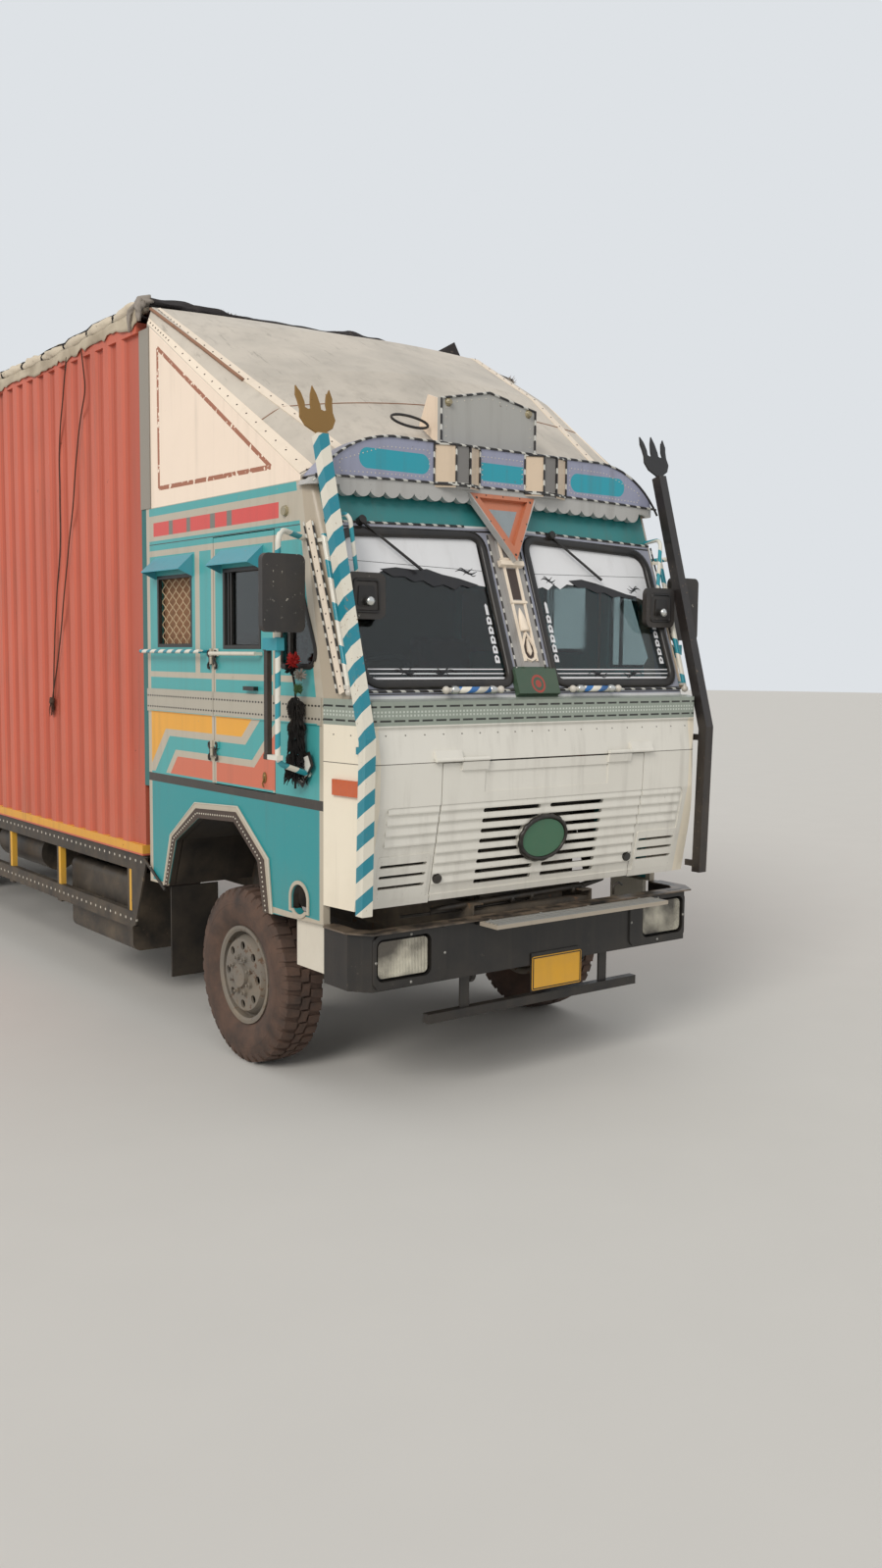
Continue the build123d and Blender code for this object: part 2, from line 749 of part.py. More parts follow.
with BuildPart() as cab_sides:
    with BuildSketch(side_plane(cab_half)):
        with BuildLine():
            Polyline((332, 957), (332, 2107), (542, 3200), (cab_back, 3200), (cab_back, 900),
                     *arch_points, close=True)
        make_face()
        rectangle_between(door_front, door_low, door_rear, door_high, mode=Mode.SUBTRACT)
        rectangle_between(*mesh_window, mode=Mode.SUBTRACT)
        with BuildLine():
            Polyline(*quarter_window, close=True)
        make_face(mode=Mode.SUBTRACT)
        rectangle_between(*lamp_arch, mode=Mode.SUBTRACT)
        with Locations(((lamp_arch[0] + lamp_arch[2]) / 2, lamp_arch[3])):
            Circle((lamp_arch[2] - lamp_arch[0]) / 2, mode=Mode.SUBTRACT)
    extrude(amount=-cab_wall)
    # border and sill of the lamp recess, and the step board below it
    with BuildSketch(side_plane(cab_half - 6)):
        rectangle_between(lamp_arch[0] - 20, lamp_arch[1] - 15, lamp_arch[2] + 20, lamp_arch[3])
        with Locations(((lamp_arch[0] + lamp_arch[2]) / 2, lamp_arch[3])):
            Circle((lamp_arch[2] - lamp_arch[0]) / 2 + 20)
            Circle((lamp_arch[2] - lamp_arch[0]) / 2, mode=Mode.SUBTRACT)
        rectangle_between(*lamp_arch, mode=Mode.SUBTRACT)
    extrude(amount=16)
    with Locations((1150, nose + 505, 825)):
        Box(30, 280, 270)
    with BuildSketch(side_plane(cab_half - 6)):
        with BuildLine():
            Polyline(*arch_trim, *reversed(arch_points), close=True)
        make_face()
    extrude(amount=16)
    with BuildSketch(side_plane(cab_half - 6)):
        with BuildLine():
            Polyline((345, 1970), (345, belt_height), (door_front, belt_height), (door_front, 1970), close=True)
        make_face()
        rectangle_between(door_rear, 1970, cab_back, belt_height)
    extrude(amount=14)
    drip_hood(1, mesh_window[0] - 20, mesh_window[2] + 20)
    for height in hinge_heights:
        with BuildSketch(level_plane(height - 45)):
            with Locations((cab_half + hinge_offset, door_rear + 3)):
                Circle(9)
            rectangle_between(cab_half - 5, door_rear + 3, cab_half + 10, door_rear + 70)
        extrude(amount=42)
    mirror(about=Plane.YZ)
cab_sides.part.label = "cab_sides"
export_step(cab_sides.part, "parts/cab_sides.step")


# Doors, hinged on their rear edges, with the window, its hood, grab bar, handle and hinge barrels
door_bar_front = 934
door_bar_rear = 1455
door_bar_height = 2325
door_bar_out = 45

for side, sign in (("right", -1), ("left", 1)):
    with BuildPart() as door:
        with BuildSketch(side_plane(sign * cab_half)):
            rectangle_between(door_front + door_gap, door_low + door_gap,
                              door_rear - door_gap, door_high - door_gap)
            rectangle_between(*door_window, mode=Mode.SUBTRACT)
        extrude(amount=-sign * cab_wall)
        with BuildSketch(side_plane(sign * (cab_half - 6))):
            rectangle_between(door_front + door_gap, 1970, door_rear - door_gap, belt_height)
        extrude(amount=sign * 14)
        drip_hood(sign, door_window[0] - 25, door_window[2] + 25)
        with BuildSketch(front_plane(door_bar_front)):
            with Locations((sign * (cab_half + door_bar_out), door_bar_height)):
                Circle(11)
        extrude(amount=-(door_bar_rear - door_bar_front))
        with Locations((sign * (cab_half + door_bar_out / 2), nose + door_bar_front + 11, door_bar_height),
                       (sign * (cab_half + door_bar_out / 2), nose + door_bar_rear - 11, door_bar_height)):
            Box(door_bar_out, 22, 18)
        with Locations((sign * (cab_half + 15), nose + 1040, 2138)):
            Box(34, 118, 22)
        for height in hinge_heights:
            with BuildSketch(level_plane(height)):
                with Locations((sign * (cab_half + hinge_offset), door_rear + 3)):
                    Circle(9)
                with Locations((sign * (cab_half + 5), door_rear - 32)):
                    Rectangle(10, 70)
            extrude(amount=42)
    door.part.label = f"door_{side}"
    export_step(door.part, f"parts/door_{side}.step")

    with BuildPart() as door_glass:
        with BuildSketch(side_plane(sign * (cab_half - 18))):
            rectangle_between(*door_window)
        extrude(amount=-sign * 5)
    door_glass.part.label = f"door_glass_{side}"
    export_step(door_glass.part, f"parts/door_glass_{side}.step")


# Rear wall and roof panel of the cab
with BuildPart() as cab_rear_wall:
    with BuildSketch(front_plane(cab_back)):
        rectangle_between(-cab_half + cab_wall, floor_height + 40, cab_half - cab_wall, cab_top - 40)
    extrude(amount=40)
    for sign in (-1, 1):
        with Locations((sign * 1177.5, nose + cab_back + 32, (floor_height + cab_top) / 2)):
            Box(45, 64, cab_top - floor_height)
cab_rear_wall.part.label = "cab_rear_wall"
export_step(cab_rear_wall.part, "parts/cab_rear_wall.step")

with BuildPart() as cab_roof:
    with BuildSketch(level_plane(cab_top - 40)):
        rectangle_between(-cab_half + cab_wall, 545, cab_half - cab_wall, cab_back)
    extrude(amount=40)
cab_roof.part.label = "cab_roof"
export_step(cab_roof.part, "parts/cab_roof.step")


# Front panel: its plan with rounded corners crossed with its side profile, then hollowed
panel_bottom = 1060
panel_sheet = 28
sill_top = belt_height
# distance back and height down the middle of the panel
panel_profile = ((92, 1060), (-16, 1575), (-25, 1790), (0, 1960), (-12, 1972), (-12, 2097), (81, sill_top))
hatch_half = 720
hatch_top = 1790
# hatch hinges: the pin line, then where the hatch's barrels start, meet the panel's and end
hinge_back = -40
hinge_height = 1800
hinge_radius = 12
hinge_start = 430
hinge_meet = 600
hinge_end = 770
panel_leaf = ((-48, 1800), (-32, 1800), (-20, 1815), (-14, 1850), (-30, 1850))
hatch_leaf = ((-48, 1800), (-32, 1800), (-28, 1782), (-20, 1778), (-20, 1745), (-36, 1745))


# The leaning lower part of the panel: its own plane, with local y up along the slope
lean = atan((panel_profile[0][0] - panel_profile[1][0]) / (panel_profile[1][1] - panel_profile[0][1]))
grille_plane = Plane(origin=(0, nose + panel_profile[0][0], panel_bottom), x_dir=(1, 0, 0),
                     z_dir=(0, -cos(lean), -sin(lean)))
field_half = 1062
field_low = 1100
field_high = 1574
field_depth = 6
slot_rows = 8
slot_pitch = 55
slot_first = 1142
# cross-section of the lip pressed out above each slot: height over the slot, distance out
lip_profile = ((13, -field_depth - 2), (13, 3), (20, 3), (48, -field_depth), (48, -field_depth - 2))
lip_inner = 726
lip_outer = 1040
cover_place = (905, 1210)
cover_slots = (1165, 1220, 1275)


def up_grille(height):
    """Local y on the leaning grille plane for a height above the ground."""
    return (height - panel_bottom) / cos(lean)


def grille_field():
    """Rounded outline of the recessed grille field, on the leaning plane."""
    with BuildSketch(grille_plane) as section:
        with Locations((0, up_grille((field_low + field_high) / 2))):
            RectangleRounded(2 * field_half, up_grille(field_high) - up_grille(field_low), 40)
    return section.sketch


def slot_lip(row, start, length):
    """Pressed lip above one row of slots, across the truck from start."""
    with BuildSketch(Plane(origin=(start, 0, 0) + grille_plane.origin, x_dir=grille_plane.z_dir,
                           z_dir=(-1, 0, 0))) as section:
        with BuildLine():
            Polyline(*((out, up_grille(slot_first + row * slot_pitch + over)) for over, out in lip_profile),
                     close=True)
        make_face()
    extrude(section.sketch, amount=-length)


def nose_section(front, corner, turn_x, turn_y, end_x, end_y, side, inset, back):
    """Plan of the cab's nose at one height: flat front, an arc and a straight on each side."""
    with BuildSketch() as section:
        with BuildLine():
            arc = ThreePointArc((corner - inset, front + inset), (turn_x - inset, turn_y + inset),
                                (end_x - inset, end_y + inset))
            Polyline((0, front + inset), arc @ 0)
            Polyline(arc @ 1, (cab_half - inset, side), (cab_half - inset, back), (0, back), (0, front + inset))
        make_face()
        mirror(about=Plane.YZ)
    return section.sketch


# front, corner start, arc middle, arc end, side start: of the panel, at the belt and at the visor
panel_section = (-25, 1090, 1143, -6, 1168, 45, 331)
low_section = (81, 1100, 1146, 99, 1171, 150, 331)
high_section = (480, 1145, 1174, 490, 1188, 514, 541)


with BuildPart() as panel_core:
    with BuildSketch(level_plane(panel_bottom)):
        add(nose_section(*panel_section, panel_sheet, 400))
    extrude(amount=sill_top - panel_bottom)
    with BuildSketch(side_plane(0)):
        with BuildLine():
            Polyline(*((back + panel_sheet, height) for back, height in panel_profile), (500, sill_top),
                     (500, panel_bottom), close=True)
        make_face()
    extrude(amount=1300, both=True, mode=Mode.INTERSECT)

with BuildPart() as cab_front:
    with BuildSketch(level_plane(panel_bottom)):
        add(nose_section(*panel_section, 0, 331.5))
    extrude(amount=sill_top - panel_bottom)
    with BuildSketch(side_plane(0)):
        with BuildLine():
            Polyline(*panel_profile, (500, sill_top), (500, panel_bottom), close=True)
        make_face()
    extrude(amount=1300, both=True, mode=Mode.INTERSECT)
    add(panel_core.part, mode=Mode.SUBTRACT)
    with BuildSketch(front_plane(-100)):
        rectangle_between(-hatch_half, panel_bottom - 10, hatch_half, hatch_top)
    extrude(amount=-300, mode=Mode.SUBTRACT)
    extrude(grille_field(), amount=-field_depth, mode=Mode.SUBTRACT)
    for sign in (-1, 1):
        with BuildSketch(grille_plane.offset(-field_depth - 2)):
            with Locations((sign * cover_place[0], up_grille(cover_place[1]))):
                RectangleRounded(320, 235, 12)
        extrude(amount=field_depth + 3)
        for row in range(4, slot_rows):
            slot_lip(row, lip_inner if sign > 0 else -lip_outer, lip_outer - lip_inner)
        with BuildSketch(front_plane(-100)):
            for height in cover_slots:
                with Locations((sign * cover_place[0], height)):
                    SlotOverall(290, 15)
        extrude(amount=-400, mode=Mode.SUBTRACT)
        with BuildSketch(side_plane(sign * hinge_end)):
            with BuildLine():
                Polyline(*panel_leaf, close=True)
            make_face()
            with Locations((hinge_back, hinge_height)):
                Circle(hinge_radius)
        extrude(amount=-sign * (hinge_end - hinge_meet - 2))
cab_front.part.label = "cab_front"
export_step(cab_front.part, "parts/cab_front.step")


# Top-hinged hatch: rows of louvre slots under pressed lips, an oval boss between them, two locks
# and the shallow recess for a name along the top
slot_height = 22
slot_inner = 34
slot_outer = 430
boss_height = 1350
boss_half = 164
boss_rise = 122
lock_place = (682, 1184)

with BuildPart() as hatch:
    with BuildSketch(side_plane(0)):
        with BuildLine():
            Polyline((91, 1066), (-16, 1575), (-25, hatch_top - 6), (3, hatch_top - 6),
                     (12, 1575), (119, 1066), close=True)
        make_face()
    extrude(amount=hatch_half - 6, both=True)
    extrude(grille_field(), amount=-field_depth, mode=Mode.SUBTRACT)
    with BuildSketch(front_plane(-100)):
        rectangle_between(-440, 1625, 440, 1735)
    extrude(amount=-86, mode=Mode.SUBTRACT)
    for row in range(slot_rows):
        slot_lip(row, -hatch_half + 6, 2 * hatch_half - 12)
    with BuildSketch(front_plane(-100)):
        for row in range(slot_rows):
            height = slot_first + row * slot_pitch
            # the slots beside the boss run in under its edge
            covered = max(0, 1 - ((height - boss_height) / boss_rise) ** 2)
            inner = max(slot_inner, boss_half * sqrt(covered) - 25)
            for sign in (-1, 1):
                with Locations((sign * (inner + slot_outer) / 2, height)):
                    SlotOverall(slot_outer - inner, slot_height)
    extrude(amount=-400, mode=Mode.SUBTRACT)
    with BuildSketch(grille_plane.offset(-24)):
        with Locations((0, up_grille(boss_height))):
            Ellipse(boss_half, boss_rise)
    extrude(amount=42)
    for sign in (-1, 1):
        with BuildSketch(grille_plane.offset(-field_depth - 2)):
            with Locations((sign * lock_place[0], up_grille(lock_place[1]))):
                Circle(24)
        extrude(amount=field_depth + 14)
    for sign in (-1, 1):
        with BuildSketch(side_plane(sign * hinge_start)):
            with BuildLine():
                Polyline(*hatch_leaf, close=True)
            make_face()
            with Locations((hinge_back, hinge_height)):
                Circle(hinge_radius)
        extrude(amount=sign * (hinge_meet - hinge_start))
hatch.part.label = "hatch"
export_step(hatch.part, "parts/hatch.step")


# Windscreen frame: a raked wall lofted from the belt to the visor, with two windows cut
screen_base = 2105
screen_slope = 0.365
rake = atan(screen_slope)
screen_plane = Plane(origin=(0, nose + 80, screen_base), x_dir=(1, 0, 0), z_dir=(0, -cos(rake), sin(rake)))
screen_sheet = 45
pane_inner = 156
pane_outer = 1092
pane_low = 80
pane_high = 926
pane_drop = 38


pane_corner = 60

with BuildSketch() as panes:
    with BuildLine():
        Polyline((pane_inner, pane_low), (pane_outer, pane_low), (pane_outer, pane_high - pane_drop),
                 (pane_inner, pane_high), close=True)
    make_face()
    fillet(panes.vertices(), pane_corner)
    mirror(about=Plane.YZ)

with BuildPart() as screen_core:
    with BuildSketch(level_plane(belt_height)):
        add(nose_section(*low_section, screen_sheet, 420))
    with BuildSketch(level_plane(cab_top)):
        add(nose_section(*high_section, screen_sheet, 630))
    loft(ruled=True)

with BuildPart() as windscreen_frame:
    with BuildSketch(level_plane(belt_height)):
        add(nose_section(*low_section, 0, 331.5))
    with BuildSketch(level_plane(cab_top)):
        add(nose_section(*high_section, 0, 541.5))
    loft(ruled=True)
    add(screen_core.part, mode=Mode.SUBTRACT)
    with BuildSketch(screen_plane):
        add(panes.sketch)
    extrude(amount=80, both=True, mode=Mode.SUBTRACT)
    # raised moulding up the centre pillar and the box at its foot
    with BuildSketch(screen_plane.offset(-4)):
        rectangle_between(-62, 150, 62, 905)
    extrude(amount=16, taper=20)
    with BuildSketch(screen_plane.offset(-4)):
        rectangle_between(-150, 8, 150, 158)
    extrude(amount=34, taper=8)
windscreen_frame.part.label = "windscreen_frame"
export_step(windscreen_frame.part, "parts/windscreen_frame.step")


# Glass: two windscreens and two quarter windows
with BuildPart() as cab_glass:
    with BuildSketch(screen_plane.offset(-14)):
        add(panes.sketch)
    extrude(amount=-6)
    with BuildSketch(side_plane(cab_half - 16)):
        with BuildLine():
            Polyline(*quarter_window, close=True)
        make_face()
    extrude(amount=-5)
    with BuildSketch(side_plane(-cab_half + 16)):
        with BuildLine():
            Polyline(*quarter_window, close=True)
        make_face()
    extrude(amount=5)
cab_glass.part.label = "cab_glass"
export_step(cab_glass.part, "parts/cab_glass.step")


# Painted visor over the windscreens, with rounded shoulders and a scalloped lower edge
visor_front = 400
visor_back = 547
visor_low = 3170
visor_high = 3450
visor_half = 1222
visor_sheet = 20
scallop_pitch = 92
scallop_radius = 50
scallops = 23
# plan of one post between the painted panels
post_plan = ((160, 402), (262, 355), (358, 355), (470, 402))
# triangular board hung over the centre pillar: half width and heights up the screen's slope
board_outer = (240, 1136, 758)
board_inner = (172, 1114, 838)
board_thickness = 40


def visor_outline(inset):
    """Front view of the visor: level top, long rounded ends, a shallow arch below."""
    half = visor_half - inset
    high = visor_high - inset
    with BuildSketch() as section:
        with BuildLine():
            ThreePointArc((half, visor_low), (0, visor_low + 25), (-half, visor_low))
            ThreePointArc((-half, visor_low), (-1012 + inset / 2, 3366 - inset), (-740, high))
            Line((-740, high), (740, high))
            ThreePointArc((740, high), (1012 - inset / 2, 3366 - inset), (half, visor_low))
        make_face()
    return section.sketch


with BuildPart() as visor_cap:
    with BuildSketch(front_plane(300)):
        add(visor_outline(0))
        add(visor_outline(visor_sheet), mode=Mode.SUBTRACT)
        rectangle_between(-visor_half + visor_sheet, visor_low - 10, visor_half - visor_sheet, visor_low + 40,
                          mode=Mode.SUBTRACT)
    extrude(amount=-(visor_back - 300))
    with BuildSketch(level_plane(visor_low - 60)):
        with BuildLine():
            outer = ThreePointArc((1125, visor_front), (1196, 428), (visor_half, 526))
            Polyline(outer @ 1, (visor_half, visor_back), (0, visor_back), (0, visor_front), outer @ 0)
        make_face()
        mirror(about=Plane.YZ)
    extrude(amount=400, mode=Mode.INTERSECT)

with BuildPart() as visor:
    with BuildSketch(level_plane(visor_low - 60)):
        with BuildLine():
            outer = ThreePointArc((1125, visor_front), (1196, 428), (visor_half, 526))
            inner = ThreePointArc((1120, visor_front + 40), (1180, 460), (1204, 526))
            Line((0, visor_front), outer @ 0)
            Line((0, visor_front + 40), inner @ 0)
            Line((0, visor_front), (0, visor_front + 40))
            Line(outer @ 1, inner @ 1)
        make_face()
        mirror(about=Plane.YZ)
    extrude(amount=400)
    with BuildSketch(front_plane(300)):
        add(visor_outline(0))
        for scallop in range(scallops):
            x = (scallop - (scallops - 1) / 2) * scallop_pitch
            with Locations((x, visor_low + 25 * (1 - (x / visor_half) ** 2) - 4)):
                Circle(scallop_radius)
    extrude(amount=-400, mode=Mode.INTERSECT)
    add(visor_cap.part)
    with BuildSketch(level_plane(3212)):
        for sign in (-1, 1):
            with BuildLine():
                Polyline(*((sign * across, back) for across, back in post_plan), close=True)
            make_face()
    extrude(amount=228)
    with BuildSketch(screen_plane.offset(board_thickness)):
        with BuildLine():
            Polyline((-board_outer[0], board_outer[1]), (board_outer[0], board_outer[1]),
                     (0, board_outer[2]), close=True)
        make_face()
    extrude(amount=board_thickness)
    with BuildSketch(screen_plane.offset(board_thickness + 14)):
        with BuildLine():
            Polyline((-board_inner[0], board_inner[1]), (board_inner[0], board_inner[1]),
                     (0, board_inner[2]), close=True)
        make_face()
    extrude(amount=board_thickness, mode=Mode.SUBTRACT)
visor.part.label = "visor"
export_step(visor.part, "parts/visor.step")


# Attic board on the visor: a five-sided board with cheeks that run back to the fairing
with BuildPart() as attic_board:
    with BuildSketch(front_plane(attic_front)):
        with BuildLine():
            Polyline((-340, 3450), (-340, 3710), (0, 3778), (340, 3710), (340, 3450), close=True)
        make_face()
    extrude(amount=-25)
    for sign in (-1, 1):
        with BuildSketch(side_plane(sign * 340)):
            with BuildLine():
                Polyline((545, 3450), (545, 3708), (635, 3740), (714, 3582), (558, 3471), close=True)
            make_face()
        extrude(amount=-sign * 15)
attic_board.part.label = "attic_board"
export_step(attic_board.part, "parts/attic_board.step")


# Roof fairing: a crowned sloping sheet over two side panels, with a wide chamfer on the truck's
# right and a tight edge on its left
fairing_sheet = 22
left_edge = 1150
# distance back; on the right: side height, edge distance, edge height; crown; left edge, left side
fairing_sections = (
    (548, 3222, 950, 3355, 3455, 3370, 3300),
    (1350, 3705, 1075, 3832, 4010, 3965, 3905),
    (2050, 4127, 1138, 4240, 4365, 4360, 4300),
    (2320, 4290, 1165, 4400, 4440, 4425, 4365),
)


def fairing_section(right_side, right_edge, right_height, crown, left_height, left_side, inset, low):
    """Cross-section of the fairing: upright sides, an edge on each, then the crowned top."""
    half = cab_half - inset
    with BuildSketch() as section:
        with BuildLine():
            top = ThreePointArc((left_edge - inset, left_height - inset), (0, crown - inset),
                                (-right_edge + inset, right_height - inset))
            Polyline(top @ 1, (-half, right_side - inset / 2), (-half, low),
                     (half, low), (half, left_side - inset / 2), top @ 0)
        make_face()
    return section.sketch


with BuildPart() as fairing_core:
    for back, *heights in fairing_sections:
        with BuildSketch(front_plane(back)):
            add(fairing_section(*heights, fairing_sheet, cab_top - 10))
    loft(ruled=True)

with BuildPart() as roof_fairing:
    for back, *heights in fairing_sections:
        with BuildSketch(front_plane(back)):
            add(fairing_section(*heights, 0, cab_top))
    loft(ruled=True)
    add(fairing_core.part, mode=Mode.SUBTRACT)
    # flanges that close the gap to the load box
    for sign in (-1, 1):
        with Locations((sign * (cab_half + 3), nose + 2357, 3735)):
            Box(6, 134, 1070)
roof_fairing.part.label = "roof_fairing"
export_step(roof_fairing.part, "parts/roof_fairing.step")


# Seats: driver's cushion and back, the bench beside it and the berth behind
with BuildPart() as seats:
    with Locations((-650, nose + 1450, 1860), (620, nose + 1450, 1860)):
        Box(560, 500, 160)
    with Locations((-650, nose + 1765, 2200), (620, nose + 1765, 2200)):
        Box(560, 110, 560)
    with Locations((0, nose + 2075, 1900)):
        Box(2200, 460, 120)
    fillet(seats.edges(), 30)
seats.part.label = "seats"
export_step(seats.part, "parts/seats.step")


# Seat boxes and the berth's base
with BuildPart() as seat_boxes:
    with Locations((-650, nose + 1450, 1660), (650, nose + 1450, 1660)):
        Box(500, 440, 240)
    with Locations((0, nose + 2070, 1690)):
        Box(2280, 480, 300)
seat_boxes.part.label = "seat_boxes"
export_step(seat_boxes.part, "parts/seat_boxes.step")


# Dashboard with the column that carries the steering wheel
steer_wheel_x = -650
steer_wheel_back = 760
steer_wheel_height = 2190
steer_tilt = 32
steer_axis = (0, sin(radians(steer_tilt)), cos(radians(steer_tilt)))
steer_plane = Plane(origin=(steer_wheel_x, nose + steer_wheel_back, steer_wheel_height),
                    x_dir=(1, 0, 0), z_dir=steer_axis)

with BuildPart() as dashboard:
    with BuildSketch(side_plane(0)):
        with BuildLine():
            Polyline((130, 1950), (130, 2090), (420, 2130), (520, 2090), (520, 1990), (420, 1900), close=True)
        make_face()
    extrude(amount=1090, both=True)
    with BuildSketch(steer_plane.offset(-70)):
        Circle(42)
    extrude(amount=-670)
    with Locations((steer_wheel_x, nose + 480, 1865)):
        Box(70, 60, 130)
dashboard.part.label = "dashboard"
export_step(dashboard.part, "parts/dashboard.step")

# Steering wheel: rim, three spokes and hub
with BuildPart() as steering_wheel:
    with BuildSketch(Plane(origin=steer_plane.origin, x_dir=(1, 0, 0), z_dir=steer_plane.y_dir * -1)):
        with Locations((240, 0)):
            Circle(15)
    revolve(axis=Axis(steer_plane.origin, steer_plane.z_dir))
    with BuildSketch(steer_plane.offset(-60)):
        Circle(45)
    extrude(amount=75)
    with BuildSketch(steer_plane.offset(-8)):
        with PolarLocations(130, 3, start_angle=90):
            Rectangle(210, 26)
    extrude(amount=12)
steering_wheel.part.label = "steering_wheel"
export_step(steering_wheel.part, "parts/steering_wheel.step")


# Checked corner poles: square tubes bent back above the belt, with a trident on each
pole_side = 60
pole_x = 1196
pole_foot = (-30, 1060)
pole_bend = (-55, 1915)
pole_tip = (368, 3400)
pole_brackets = (1110, 1860)

with BuildPart() as corner_poles:
    for sign in (-1, 1):
        with BuildSketch(side_plane(sign * pole_x - pole_side / 2)):
            with BuildLine():
                Polyline(
                    (pole_foot[0] - 30, pole_foot[1]), (pole_foot[0] + 30, pole_foot[1]),
                    (pole_bend[0] + 30, pole_bend[1] - 8), (pole_tip[0] + 29, pole_tip[1] - 10),
                    (pole_tip[0] - 29, pole_tip[1] + 10), (pole_bend[0] - 30, pole_bend[1] + 8),
                    close=True,
                )
            make_face()
        extrude(amount=pole_side)
        with BuildSketch(Plane(origin=(sign * pole_x, nose + pole_tip[0], pole_tip[1]), x_dir=(1, 0, 0),
                               z_dir=(0, -cos(radians(17.6)), sin(radians(17.6))))):
            with BuildLine():
                Polyline((-12, 0), (-12, 80), (-95, 110), (-105, 200), (-75, 225), (-68, 135), (-14, 115),
                         (-16, 215), (0, 250), (16, 215), (14, 115), (68, 135), (75, 225), (105, 200),
                         (95, 110), (12, 80), (12, 0), close=True)
            make_face()
        extrude(amount=3, both=True)
        for height in pole_brackets:
            with Locations((sign * 1178, nose + 10, height)):
                Box(16, 98, 36)
corner_poles.part.label = "corner_poles"
export_step(corner_poles.part, "parts/corner_poles.step")


# Mirrors: a large head on a bent frame with a flat bar clamped beside it, and a small head on an
# arched arm, each side
mirror_tube = 14
# across, distance back, height, size of each clamp and of the bar between them
frame_blocks = (
    ((1420, 445, 2372), (44, 140, 62)),
    ((1420, 500, 2070), (26, 34, 545)),
    ((1420, 450, 1812), (34, 136, 24)),
)
with BuildPart() as mirrors:
    for sign in (-1, 1):
        with BuildLine() as long_arm:
            FilletPolyline((sign * 1207, nose + 505, 2905), (sign * 1420, nose + 395, 2935),
                           (sign * 1420, nose + 405, 1785), (sign * 1206, nose + 455, 1715), radius=60)
        with BuildSketch(Plane(origin=long_arm.line @ 0, z_dir=long_arm.line % 0)):
            Circle(mirror_tube)
        sweep(path=long_arm.line)
        with BuildLine() as short_arm:
            FilletPolyline((sign * 1130, nose + 405, 3010), (sign * 1100, nose + 250, 3020),
                           (sign * 1050, nose + 225, 2560), radius=50)
        with BuildSketch(Plane(origin=short_arm.line @ 0, z_dir=short_arm.line % 0)):
            Circle(mirror_tube - 3)
        sweep(path=short_arm.line)
        with BuildSketch(front_plane(340)):
            with Locations((sign * 1420, 2620)):
                RectangleRounded(240, 380, 35)
        extrude(amount=-38)
        with BuildSketch(front_plane(185)):
            with Locations((sign * 1044, 2615)):
                RectangleRounded(235, 230, 40)
        extrude(amount=-34)
        for (across, back, height), size in frame_blocks:
            with Locations((sign * across, nose + back, height)):
                Box(*size)
mirrors.part.label = "mirrors"
export_step(mirrors.part, "parts/mirrors.step")


# Wipers hanging from above the windscreens
with BuildPart() as wipers:
    for x in (-940, 350):
        with BuildSketch(screen_plane.offset(0)):
            with Locations((x, 950)):
                Circle(22)
        extrude(amount=40)
        with BuildSketch(screen_plane.offset(14)):
            with BuildLine():
                Polyline((x - 8, 950), (x + 8, 950), (x + 330, 700), (x + 318, 692), close=True)
            make_face()
        extrude(amount=8)
wipers.part.label = "wipers"
export_step(wipers.part, "parts/wipers.step")


# Grab rails: round bars with ball ends under the windscreens, up the corner pillars and along the
# sides, each on two short posts
rail_radius = 12
ball_end = 20
side_rail = (1255, 1550, 2340, 2336)
pillar_foot = (1190, 112, 2141)
pillar_head = (1190, 344, 2916)

with BuildPart() as grab_rails:
    for low_x, high_x in ((-660, -300), (210, 555)):
        with BuildSketch(side_plane(low_x)):
            with Locations((30, 2150)):
                Circle(rail_radius)
        extrude(amount=high_x - low_x)
        with Locations((low_x, nose + 30, 2150), (high_x, nose + 30, 2150)):
            Sphere(ball_end)
        for x in (low_x + 35, high_x - 35):
            with BuildSketch(front_plane(30)):
                with Locations((x, 2150)):
                    Circle(9)
            extrude(amount=-80)
    for sign in (-1, 1):
        across, front, rear, height = side_rail
        with BuildSketch(front_plane(front)):
            with Locations((sign * across, height)):
                Circle(rail_radius)
        extrude(amount=-(rear - front))
        with BuildSketch(side_plane(sign * cab_half)):
            with Locations((front + 14, height), (rear - 14, height)):
                Circle(9)
        extrude(amount=sign * (across - cab_half))
        with BuildSketch(Plane(origin=(sign * pillar_foot[0], nose + pillar_foot[1], pillar_foot[2]),
                               z_dir=(0, pillar_head[1] - pillar_foot[1], pillar_head[2] - pillar_foot[2]))):
            Circle(rail_radius + 2)
        extrude(amount=809)
        with Locations((sign * pillar_foot[0], nose + pillar_foot[1], pillar_foot[2])):
            Sphere(ball_end)
        with Locations((sign * 1178, nose + 145, 2172)):
            Box(26, 70, 18)
        with Locations((sign * 1182, nose + 378, 2890)):
            Box(26, 110, 18)
    add(windscreen_frame.part, mode=Mode.SUBTRACT)
grab_rails.part.label = "grab_rails"
export_step(grab_rails.part, "parts/grab_rails.step")


# Container floor on cross-bearers that rest on the rails
with BuildPart() as container_floor:
    with BuildSketch(level_plane(box_floor)):
        rectangle_between(-box_half + box_wall, box_front + 60, box_half - box_wall, box_back - 60)
    extrude(amount=35)
    for bearer in range(16):
        with Locations((0, nose + box_front + 150 + bearer * 620, (rail_top + box_floor) / 2)):
            Box(2 * (box_half - box_wall), 80, box_floor - rail_top)
container_floor.part.label = "container_floor"
export_step(container_floor.part, "parts/container_floor.step")


# Container sides: corrugated sheet between a bottom rail, a top rail and flat end posts
rib_count = int((box_back - box_front - 2 * box_post) / box_rib_pitch)
rib_start = box_front + box_post
rail_depth = 65

